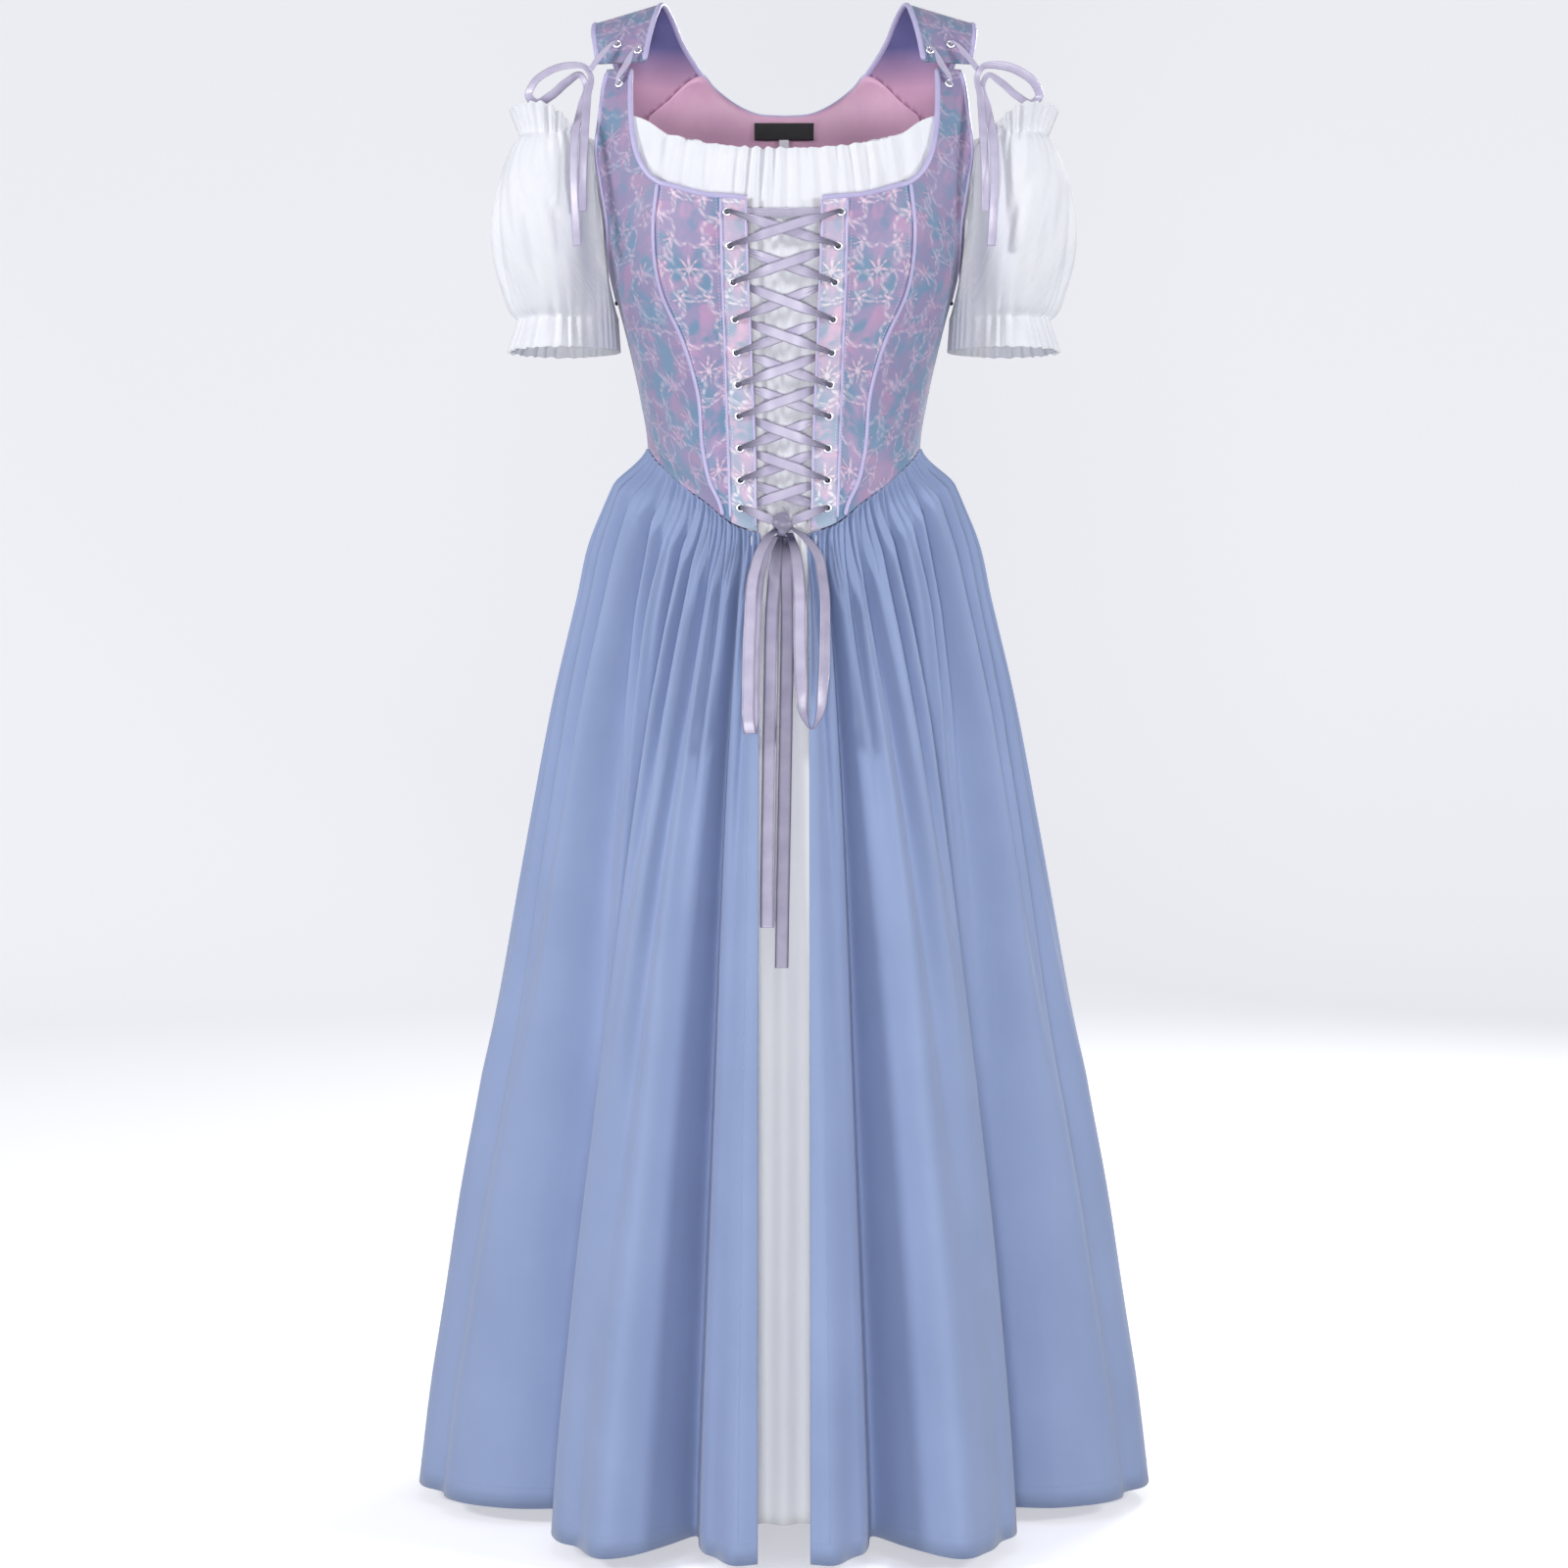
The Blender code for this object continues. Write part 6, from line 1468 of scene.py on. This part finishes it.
def brocadeMaterial(name, look):
    # jacquard: ground of two colours in cloudy patches, rosettes as polar waves r(1 + k cos(n a)),
    # scrolls as thin rings, and raised float threads where the pattern lies
    material, tree, shader = newMaterial(
        name, Roughness=look["roughness"], IOR=fibre["ior"], Sheen_Weight=brocade["sheen"],
        Sheen_Roughness=brocade["sheenRoughness"],
    )
    fades = {}
    for part in ("ring", "vein", "rim", "cloud", "bloom", "stroke"):
        low, high = brocade[part]
        fades[part] = {"From Min": low, "From Max": high}
    coords = addNode(tree, "UVMap", uv_map="cloth")
    size = 1000.0
    millimetres = addNode(tree, "VectorMath", {0: coords, "Scale": size}, operation="SCALE")
    noise = {"Vector": millimetres, "Scale": 1 / brocade["waverSize"], "Detail": 2.0}
    waver = addNode(tree, "TexNoise", noise, out=1)
    shift = addNode(tree, "VectorMath", (waver, (0.5, 0.5, 0.5)), operation="SUBTRACT")
    shift = addNode(tree, "VectorMath", {0: shift, "Scale": brocade["waver"]}, operation="SCALE")
    drawn = addNode(tree, "VectorMath", (millimetres, shift), operation="ADD")
    across = addNode(tree, "SeparateXYZ", (drawn,), out=0)
    upwards = addNode(tree, "SeparateXYZ", (drawn,), out=1)
    across = addNode(tree, "Math", (across, brocade["repeatWidth"] / 2), operation="PINGPONG")
    upwards = addNode(tree, "Math", (upwards, 0.0, brocade["repeatHeight"]), operation="WRAP")
    cell = addNode(tree, "CombineXYZ", (across, upwards, 0.0))

    petals, hearts, lines = 0.0, 0.0, 0.0
    for x, y, radius, count, turn, softness in brocade["rosettes"]:
        offset = addNode(tree, "VectorMath", (cell, (x, y, 0.0)), operation="SUBTRACT")
        distance = addNode(tree, "VectorMath", (offset,), 1, operation="LENGTH")
        side = addNode(tree, "SeparateXYZ", (offset,), out=0)
        rise = addNode(tree, "SeparateXYZ", (offset,), out=1)
        angle = addNode(tree, "Math", (rise, side), operation="ARCTAN2")
        wave = addNode(tree, "Math", (angle, float(count), turn), operation="MULTIPLY_ADD")
        wave = addNode(tree, "Math", (wave,), operation="COSINE")
        swing, mean = brocade["petalWave"] * radius, brocade["petalMean"] * radius
        reach = addNode(tree, "Math", (wave, swing, mean), operation="MULTIPLY_ADD")
        depth = addNode(tree, "Math", (reach, distance), operation="SUBTRACT")
        inside = addNode(tree, "MapRange", {"Value": depth, "From Min": 0.0, "From Max": softness})
        ring = addNode(tree, "Math", (depth, brocade["ringInset"] * radius), operation="SUBTRACT")
        ring = addNode(tree, "Math", (ring,), operation="ABSOLUTE")
        ring = addNode(tree, "MapRange", {"Value": ring, **fades["ring"]})
        vein = addNode(tree, "Math", (angle, float(count * 3), turn * 3), operation="MULTIPLY_ADD")
        vein = addNode(tree, "Math", (vein,), operation="COSINE")
        vein = addNode(tree, "MapRange", {"Value": vein, **fades["vein"]})
        vein = addNode(tree, "Math", (vein, inside), operation="MULTIPLY")
        edge = addNode(tree, "Math", (depth,), operation="ABSOLUTE")
        edge = addNode(tree, "MapRange", {"Value": edge, **fades["rim"]})
        edge = addNode(tree, "Math", (edge, ring), operation="MAXIMUM")
        edge = addNode(tree, "Math", (edge, vein), operation="MAXIMUM")
        low, high = (share * radius for share in brocade["heart"])
        heart = addNode(tree, "MapRange", {"Value": distance, "From Min": low, "From Max": high})
        petals = addNode(tree, "Math", (inside, petals), operation="MAXIMUM")
        hearts = addNode(tree, "Math", (heart, hearts), operation="MAXIMUM")
        lines = addNode(tree, "Math", (edge, lines), operation="MAXIMUM")
    for x, y, radius, half, degrees in brocade["scrolls"]:
        offset = addNode(tree, "VectorMath", (cell, (x, y, 0.0)), operation="SUBTRACT")
        distance = addNode(tree, "VectorMath", (offset,), 1, operation="LENGTH")
        middle = (float(np.cos(np.radians(degrees))), float(np.sin(np.radians(degrees))), 0.0)
        facing = addNode(tree, "VectorMath", (offset, middle), 1, operation="DOT_PRODUCT")
        low, high = (share * radius for share in brocade["drawn"])
        drawnPart = addNode(tree, "MapRange", {"Value": facing, "From Min": low, "From Max": high})
        ring = addNode(tree, "Math", (distance, radius), operation="SUBTRACT")
        ring = addNode(tree, "Math", (ring,), operation="ABSOLUTE")
        low, high = (share * half for share in brocade["scroll"])
        ring = addNode(tree, "MapRange", {"Value": ring, "From Min": low, "From Max": high})
        ring = addNode(tree, "Math", (ring, drawnPart), operation="MULTIPLY")
        lines = addNode(tree, "Math", (ring, lines), operation="MAXIMUM")

    noise = {"Vector": millimetres, "Scale": 1 / brocade["cloudSize"], "Detail": 3.0}
    cloud = addNode(tree, "TexNoise", noise)
    patch = addNode(tree, "MapRange", {"Value": cloud, **fades["cloud"]})
    colours = {"Factor": patch, "A": linear(look["steel"]), "B": linear(look["mauve"])}
    made = addNode(tree, "Mix", colours, 2, data_type="RGBA")
    noise = {"Vector": millimetres, "Scale": 1 / brocade["bloomSize"], "Detail": 2.0, "Distortion": 0.5}
    bloom = addNode(tree, "TexNoise", noise)
    blush = addNode(tree, "MapRange", {"Value": bloom, **fades["bloom"], "To Max": look["blush"]})
    colours = {"Factor": blush, "A": made, "B": linear(look["pink"])}
    made = addNode(tree, "Mix", colours, 2, data_type="RGBA")
    wave = {
        "Vector": millimetres, "Scale": waveScale(brocade["strokeSize"]), "Detail": 2.0,
        "Distortion": brocade["strokeWaver"],
    }
    strokes = addNode(tree, "TexWave", wave, out=1, bands_direction="DIAGONAL")
    strokes = addNode(tree, "MapRange", {"Value": strokes, **fades["stroke"], "To Min": brocade["strokeLow"]})
    lines = addNode(tree, "Math", (lines, strokes), operation="MULTIPLY")
    feathered = addNode(tree, "Math", (petals, strokes), operation="MULTIPLY")
    colours = {"Factor": bloom, "A": linear(look["petal"]), "B": linear(look["pink"])}
    petalColour = addNode(tree, "Mix", colours, 2, data_type="RGBA")
    for share, most, colour in (
        (feathered, look["petalShare"], petalColour),
        (lines, look["lineShare"], linear(look["light"])),
        (hearts, look["heartShare"], linear(look["heart"])),
    ):
        share = addNode(tree, "Math", (share, most), operation="MULTIPLY")
        made = addNode(tree, "Mix", {"Factor": share, "A": made, "B": colour}, 2, data_type="RGBA")
    tree.links.new(made, shader.inputs["Base Color"])

    raised = addNode(tree, "Math", (petals, lines), operation="MAXIMUM")
    relief = addNode(tree, "Bump", {"Height": raised, "Distance": brocade["relief"], "Strength": 1.0})
    wave = {"Vector": millimetres, "Scale": waveScale(brocade["floatSize"]), "Distortion": 1.0}
    floats = addNode(tree, "TexWave", wave, out=1, bands_direction="DIAGONAL")
    raised = {"Height": floats, "Distance": brocade["floatDepth"], "Strength": 1.0, "Normal": relief}
    tree.links.new(addNode(tree, "Bump", raised), shader.inputs["Normal"])
    return material


# Polyester and metallic-free jacquard brocade: steel blue and mauve ground under pink and near-white
# floats; brighter in front, where the photograph's light falls on it
litBrocadeFront = brocadeMaterial("jacquard_brocade_front_lit", {
    "steel": "6C8DAC", "mauve": "988EB4", "pink": "C595BC", "petal": "D6BDD6", "light": "F0DDEC",
    "heart": "F3E3F2", "blush": 0.65, "petalShare": 1.0, "lineShare": 0.5, "heartShare": 0.5,
    "roughness": 0.45,
})
# Shaded copy of the same brocade for the sides and back: painted shade, darker and duller than in front
shadedBrocadeSide = brocadeMaterial("jacquard_brocade_side_shaded", {
    "steel": "6C89A8", "mauve": "8B83A8", "pink": "B287AC", "petal": "ABA1C2", "light": "CBBFD6",
    "heart": "C9A8CE", "blush": 0.55, "petalShare": 0.9, "lineShare": 0.45, "heartShare": 0.4,
    "roughness": 0.5,
})
# Brightest lit copy for the placket: painted light, with painted highlights in its pale floats and hearts
litBrocadePlacket = brocadeMaterial("jacquard_brocade_placket_lit", {
    "steel": "9DB0C6", "mauve": "C0B4CE", "pink": "E8BFD8", "petal": "E4D4E6", "light": "FFF6FB",
    "heart": "FFF6FC", "blush": 0.8, "petalShare": 0.85, "lineShare": 0.7, "heartShare": 0.6,
    "roughness": 0.45,
})
print("materials made")

# Camera at the photograph's angle: level, 3 m in front, the whole dress in the frame
camera = {"distance": 3.0, "height": -0.638, "frameWidth": 1.52, "shift": -0.075, "sensor": 36.0}
view = bpy.data.cameras.new("photoCamera")
view.sensor_width = camera["sensor"]
view.lens = camera["sensor"] * camera["distance"] / camera["frameWidth"]
view.shift_y = camera["shift"]
cameraObject = bpy.data.objects.new("photoCamera", view)
cameraObject.location = (0.0, -camera["distance"], camera["height"])
cameraObject.rotation_euler = (np.pi / 2, 0.0, 0.0)
bpy.context.scene.collection.objects.link(cameraObject)
bpy.context.scene.camera = cameraObject

# Columns and rows of each piece's grid
grids = {
    "placket": (22, 260), "frontPanel": (30, 110), "sideFront": (56, 150), "back": (120, 64),
    "strap": (32, 52), "lining": (90, 28), "label": (40, 12), "tag": (10, 10), "blouse": (280, 56),
    "sleeve": (190, 96), "underskirt": (80, 90), "skirtFront": (230, 90), "skirtBack": (330, 84),
}
sides = (("right", 1.0), ("left", -1.0))


def addPair(name, patch, materials, nodeName, slot, leftShape=None, holes=(), **more):
    # the +X piece and its mirror image, each in place of its CAD node if it has one
    shape, columns, rows = patch
    for side, turn in sides:
        made = shape if side == "right" else leftShape or mirrored(shape)
        flip = np.array((turn, 1.0, 1.0))
        nodes = [f"{nodeName}_{side}"] if nodeName else []
        addPiece(
            f"{name}_{side}", [(made, columns, rows)], materials, nodes, slot,
            holes=[place * flip for place in holes], **more,
        )


def addCord(name, patch, node, pinch=None):
    # free ribbon: its piece
    piece = addPiece(
        name, [patch], [ribbonSatin], [node], "ribbon_satin", wall=lace["wall"], offset=0.0, pinch=pinch
    )


# Painted shade in the pleats: gains for the bow and for the lacing, more painted shade where a bow's
# ribbon leaves the knot, the share of its length over which that fades, and a low for the lacing
pleatShade = {"bow": 1.5, "bowStart": 0.7, "startFade": 0.035, "lace": 1.45, "laceLow": -0.1}


def paintedPleatShade(widths, full, low, gain, startGain=0.0):
    # how far painted shade darkens a ribbon in its pleats along its length: low + gain (1 - width / full),
    # with startGain more painted shade at its start, where a bow's ribbon leaves the knot, fading over a
    # share of its length
    narrow = low + gain * (1 - widths / full)
    last = len(widths) - 1

    def pinch(u, v):
        start = startGain * np.exp(-v / pleatShade["startFade"])
        return np.clip(narrow[np.rint(v * last).astype(int)] + start, 0, 1)

    return pinch


# Free ribbon ends and bows come first: their routes are those of the CAD solids
for node, rows, inner, farEnd in (
    ("bow_loop_left", loopLeft, False, "object"),
    ("bow_loop_right", loopRight, False, "object"),
    ("bow_tail_short", tailShort, True, "bare"),
    ("bow_tail_long", tailLong, True, "bare"),
):
    path, strip, widths = hangingRibbon(rows, inner)
    pinch = paintedPleatShade(widths, widths.max(), 0.0, pleatShade["bow"], pleatShade["bowStart"])
    addCord(f"{node}_ribbon", strip, node, pinch)
for side, turn in sides:
    path, strip = shoulderBowRibbon(turn)
    addCord(
        f"shoulder_bow_{side}_ribbon", strip, f"shoulder_bow_{side}"
    )
    addPiece(
        f"shoulder_lacing_{side}", [shoulderLaceRibbon(turn)], [ribbonSatin], [f"shoulder_lace_{side}"],
        "ribbon_satin", wall=lace["wall"], offset=0.0,
    )
    control = laceControl(turn)
    pinch = paintedPleatShade(control[:, 3], lace["width"], pleatShade["laceLow"], pleatShade["lace"])
    addPiece(
        f"lacing_ribbon_{side}", [laceStrip(control)], [ribbonSatin], [f"lace_{side}"], "ribbon_satin",
        wall=lace["wall"], offset=0.0, pinch=pinch,
    )


def knotForm(u, v):
    # knot: an ellipsoid with lengthwise pleats, its radius waved across the wrap
    turn, rise = 2 * np.pi * u, np.pi * (v - 0.5)
    place = np.array(knot["across"]), np.array(knot["height"])
    centre = figure(frontAngle(*place), place[1], knot["lift"])
    wave = np.cos(knot["pleats"] * rise + knot["pleatDrift"] * np.sin(turn)) * np.cos(rise)
    x, y, z = knot["radii"]
    level = np.cos(rise)
    spread = np.stack([x * level * np.sin(turn), -y * level * np.cos(turn), z * np.sin(rise)], -1)
    return centre + spread * (1 + knot["pleatDepth"] * wave)[..., None]


knotPatch = (knotForm, knot["columns"], knot["rows"])
addPiece("wrapped_bow_knot", [knotPatch], [ribbonSatin], ["bow_knot"], "ribbon_satin")
print("ribbons made")

# Bodice: brocade shells with satin-lined inner faces, the lining inside the back neck, the bare label
# and the tag below it
inside = {
    "liningMargin": 1 / 20, "liningFrom": 0.4, "liningWall": 0.001,
    "labelHeights": (-0.112, -0.095), "labelHalf": 0.029, "labelDepth": 0.00516, "labelWall": 0.0008,
    "tagHeights": (-0.1225, -0.1115), "tagHalf": 0.0048, "tagDepth": 0.0057, "tagWall": 0.0005,
}
eyeletAngle = frontAngle(eyeletRows["across"], eyeletRows["height"])
eyeletPlaces = figure(eyeletAngle, eyeletRows["height"])
eyeletOutwards = unit(figure(eyeletAngle, eyeletRows["height"], 1.0) - eyeletPlaces)
strapPlaces, strapOutwards = strapEyeletFrames(1)


def placketForm(u, v):
    return frontStrip(u, v, "gapEdge", "placketSeam")


def panelForm(u, v):
    return frontStrip(u, v, "placketSeam", "princessSeam")


def liningForm(u, v):
    # the back panel less a margin, moved inwards by its wall and a gap
    margin = inside["liningMargin"]
    lift = -(bodice["wall"] + bodice["liningGap"])
    return backPanel(mix(margin, 1 - margin, u), mix(inside["liningFrom"], 1.0, v), lift)


def labelForm(kind):
    # upright oblong on the back of the figure, moved inwards
    def shape(u, v):
        height = mix(*inside[kind + "Heights"], v)
        across = mix(inside[kind + "Half"], -inside[kind + "Half"], u)
        angle = backAngle - across / smooth(figureRows, "height", "backDepth", height)
        return figure(angle, height, -inside[kind + "Depth"])

    return shape


for name, form, grid, cloth, node, holes in (
    ("laced_placket", placketForm, "placket", litBrocadePlacket, "placket", eyeletPlaces),
    ("bodice_front_panel", panelForm, "frontPanel", litBrocadeFront, "front_panel", ()),
    ("bodice_side_front", sideFront, "sideFront", shadedBrocadeSide, "side_front", strapPlaces[2:]),
):
    addPair(
        name, (form, *grids[grid]), [cloth, liningCloth], node, "brocade", holes=holes,
        wall=bodice["wall"], inner=1,
    )
addPiece(
    "bodice_back_with_straps",
    [(backPanel, *grids["back"]), (strap, *grids["strap"]), (mirrored(strap), *grids["strap"])],
    [shadedBrocadeSide, strapLining], ["back_bodice"], "brocade", wall=bodice["wall"], inner=1,
    holes=[place * np.array((turn, 1.0, 1.0)) for place in strapPlaces[:2] for side, turn in sides],
)
for name, form, grid, cloth, node, slot, wall in (
    ("back_neck_lining", liningForm, "lining", liningCloth, "back_lining", "lining_cloth", "liningWall"),
    ("bare_neck_label", labelForm("label"), "label", labelCloth, "neck_label", "label_cloth", "labelWall"),
    ("small_white_tag", labelForm("tag"), "tag", whiteCloth, None, "white_cloth", "tagWall"),
):
    nodes = [node] if node else []
    addPiece(name, [(form, *grids[grid])], [cloth], nodes, slot, wall=inside[wall])

# Satin bindings, rolled over the edges, and the piping of the upright seams
for name, patch, node in (
    ("neckline_binding", edgeTube(*neckEdge(), binding), "neck_binding"),
    ("armhole_binding", edgeTube(*armholeEdge(), binding), "armhole_binding"),
    ("princess_seam_piping", edgeTube(*princessEdge(), princessPiping), "princess_piping"),
    ("gap_edge_piping", edgeTube(*stripLine("gapEdge"), gapPiping), None),
    ("placket_seam_piping", edgeTube(*stripLine("placketSeam"), placketPiping), None),
):
    addPair(name, patch, [bindingSatin], node, "satin_binding")
backNeck = edgeTube(*backNeckEdge(), binding)
addPiece("back_neck_satin_binding", [backNeck], [bindingSatin], ["back_neck_binding"], "satin_binding")
print("bodice made")

# Eyelets: rolled rings set over the holes
for side, turn in sides:
    flip = np.array((turn, 1.0, 1.0))
    for kind, digits, places, outwards in (
        ("eyelet", 2, eyeletPlaces * flip, eyeletOutwards * flip),
        ("shoulder_eyelet", 1, strapPlaces * flip, strapOutwards * flip),
    ):
        for index, frame in enumerate(zip(places, outwards)):
            node = f"{kind}_{side}_{index + 1:0{digits}d}"
            addPiece(f"rolled_{node}", [turnedRing(*frame)], [eyeletMetal], [node], "eyelet_metal")
print("eyelets made")


def skirtFrontLeft(u, v):
    # left front: the right one's mirror image, with its folds moved sideways
    return skirtFront(1 - u, v, 1.0) * leftwards


# White pieces and the skirt
for name, form, grid, cloth, node, slot, look in (
    ("gathered_blouse_front", blouseForm, "blouse", whiteCloth, "blouse_front", "white_cloth", blouse),
    (
        "white_underskirt_front", underskirtForm, "underskirt", litWhiteCloth, "underskirt_panel",
        "white_cloth", underskirt,
    ),
    ("overskirt_back", skirtBack, "skirtBack", skirtCloth, "skirt_back", "skirt_cloth", skirt),
):
    addPiece(name, [(form, *grids[grid])], [cloth], [node], slot, wall=look["wall"])
addPair(
    "puff_sleeve", (sleeveForm, *grids["sleeve"]), [whiteCloth], "sleeve", "white_cloth", wall=sleeve["wall"],
)
addPair(
    "overskirt_front", (skirtFront, *grids["skirtFront"]), [skirtCloth], "skirt_front", "skirt_cloth",
    leftShape=skirtFrontLeft, wall=skirt["wall"],
)
print("cloth made")
# Stitches: pitch, length and radius of each, sides and rings of their forms, the step by which the
# cloth's directions are found, and the points along a seam
stitch = {
    "pitch": 0.0032, "length": 0.0024, "radius": 0.00032, "sides": 5, "rings": 3, "step": 0.002,
    "points": 400,
}
hemStitch = dict(stitch, pitch=0.004, length=0.003)
seamLines = {
    # shares of the panel across and up, from the start of the seam to its end
    "princess": ((0.93, 0.93), (0.01, 0.99)), "panel": ((0.07, 0.07), (0.01, 0.99)),
    "placket": ((0.86, 0.86), (0.01, 0.99)), "gap": ((0.17, 0.17), (0.01, 0.99)),
    "hem": ((0.005, 0.995), (0.0125, 0.0125)), "edge": ((0.035, 0.035), (0.0125, 0.9625)),
    "cuff": ((0.0, 1.0), (sleeve["ruffleShare"], sleeve["ruffleShare"])),
    "header": ((0.0, 0.55), (1 - sleeve["ruffleShare"], 1 - sleeve["ruffleShare"])),
    "backHem": ((0.003, 0.997), (0.0125, 0.0125)),
}


def stitchRun(name, thread, slot, shape, u, v, look):
    # sewing along a line of a shape: slim ellipsoids one pitch apart, half sunk in the cloth
    place = shape(u, v)
    step = look["step"]
    sideways = shape(np.minimum(u + step, 1), v) - shape(np.maximum(u - step, 0), v)
    upwards = shape(u, np.minimum(v + step, 1)) - shape(u, np.maximum(v - step, 0))
    normal = unit(np.cross(sideways, upwards))
    arc = np.append(0.0, np.cumsum(np.linalg.norm(np.diff(place, axis=0), axis=-1)))
    middles = np.arange(look["pitch"] / 2, arc[-1], look["pitch"])

    def at(values):
        return np.stack([np.interp(middles, arc, values[:, axis]) for axis in range(3)], -1)

    def ellipsoid(centre, out, forwards, aside):
        def form(a, b):
            turn, rise = 2 * np.pi * a, np.pi * (b - 0.5)
            ring = np.cos(turn)[..., None] * out + np.sin(turn)[..., None] * aside
            rounded = look["radius"] * np.cos(rise)[..., None] * ring
            return centre + rounded + look["length"] / 2 * np.sin(rise)[..., None] * forwards

        return form, look["sides"], look["rings"]

    normals, along = unit(at(normal)), unit(np.gradient(at(place), axis=0))
    frames = zip(at(place), normals, along, np.cross(normals, along))
    addPiece(name, [ellipsoid(*frame) for frame in frames], [thread], [], slot)


for name, line, thread, slot, form in (
    ("princess_topstitch", "princess", threadCotton, "satin_binding", panelForm),
    ("panel_topstitch", "panel", threadCotton, "satin_binding", panelForm),
    ("placket_topstitch", "placket", threadCotton, "satin_binding", placketForm),
    ("gap_topstitch", "gap", threadCotton, "satin_binding", placketForm),
    ("skirt_hem_stitch", "hem", skirtCloth, "skirt_cloth", skirtFront),
    ("skirt_edge_stitch", "edge", skirtCloth, "skirt_cloth", skirtFront),
    ("cuff_elastic_stitch", "cuff", whiteCloth, "white_cloth", sleeveForm),
    ("header_elastic_stitch", "header", whiteCloth, "white_cloth", sleeveForm),
):
    across, upwards = (np.linspace(*span, stitch["points"]) for span in seamLines[line])
    stitchRun(f"{name}_right", thread, slot, form, across, upwards, stitch)
    leftForm = skirtFrontLeft if form is skirtFront else mirrored(form)
    stitchRun(f"{name}_left", thread, slot, leftForm, 1 - across, upwards, stitch)
across, upwards = (np.linspace(*span, stitch["points"]) for span in seamLines["backHem"])
stitchRun("back_hem_stitch", skirtCloth, "skirt_cloth", skirtBack, across, upwards, hemStitch)
print("stitches made")

# Pale round stage: a floor that turns up into a wall, all round the dress
stage = {
    "floor": -1.432, "radius": 4.2, "bend": 1.2, "wall": 4.0, "floorShare": 0.3, "bendShare": 0.4,
    "columns": 96, "rows": 40, "roughness": 0.9, "paint": "DCDDE2", "glow": "F4F4F8", "glowStrength": 0.55,
}


def stageForm(u, v):
    # floor, quarter round and wall, turned about the upright axis
    turn = 2 * np.pi * u
    onFloor, onBend = stage["floorShare"], stage["bendShare"]
    bendTurn = np.clip((v - onFloor) / onBend, 0, 1) * np.pi / 2
    bent = stage["radius"] + stage["bend"] * np.sin(bendTurn)
    radius = np.where(v < onFloor, v / onFloor * stage["radius"], bent)
    height = stage["floor"] + stage["bend"] * (1 - np.cos(bendTurn))
    onWall = onFloor + onBend
    height = height + np.clip((v - onWall) / (1 - onWall), 0, 1) * stage["wall"]
    return np.stack([-radius * np.sin(turn), -radius * np.cos(turn), height], -1)


# Matt white studio paint, rolled: even and without gloss, and it glows a little so that it stays pale
floorPaint, tree, shader = newMaterial(
    "matt_white_studio_paint", Roughness=stage["roughness"], Base_Color=linear(stage["paint"]),
    Emission_Color=linear(stage["glow"]), Emission_Strength=stage["glowStrength"],
)
stageMesh = makeMesh("studioStage", [(stageForm, stage["columns"], stage["rows"])])
stageObject = bpy.data.objects.new("studioStage", stageMesh)
stageMesh.materials.append(floorPaint)
bpy.context.scene.collection.objects.link(stageObject)
# As if it stood far away: it is seen, and mirrored in satin and metal, but doesn't fill the folds with light
stageObject.visible_diffuse = False

lights = {
    # place, aim, size, watts
    "leftLight": ((-2.8, -1.5, 0.5), (0.0, 0.0, -0.7), 0.7, 54.0),
    "rightLight": ((2.8, -1.5, 0.4), (0.0, 0.0, -0.7), 0.7, 43.0),
    "frontLight": ((-0.1, -3.3, -1.1), (0.0, 0.0, -1.0), 0.7, 44.0),
    "topLight": ((0.0, -0.8, 2.3), (0.0, 0.0, -0.6), 1.0, 6.0),
    "backLight": ((1.6, 2.8, 0.8), (0.0, 0.0, -0.7), 0.8, 50.0),
}
for name, (place, aim, size, watts) in lights.items():
    light = bpy.data.lights.new(name, "AREA")
    light.shape = "DISK"
    light.size = size
    light.energy = watts
    lamp = bpy.data.objects.new(name, light)
    away = np.array(place) - np.array(aim)
    lamp.location = place
    tilt = np.arctan2(np.hypot(away[0], away[1]), away[2])
    lamp.rotation_euler = (tilt, 0.0, np.arctan2(away[1], away[0]) + np.pi / 2)
    bpy.context.scene.collection.objects.link(lamp)
daylight = {"Color": linear("F2F4FA"), "Strength": 0.33}
world = bpy.data.worlds.new("softDaylight")
world.use_nodes = True
for socket, value in daylight.items():
    world.node_tree.nodes["Background"].inputs[socket].default_value = value
bpy.context.scene.world = world
bpy.context.scene.view_settings.view_transform = "Standard"
print("stage and lights made")
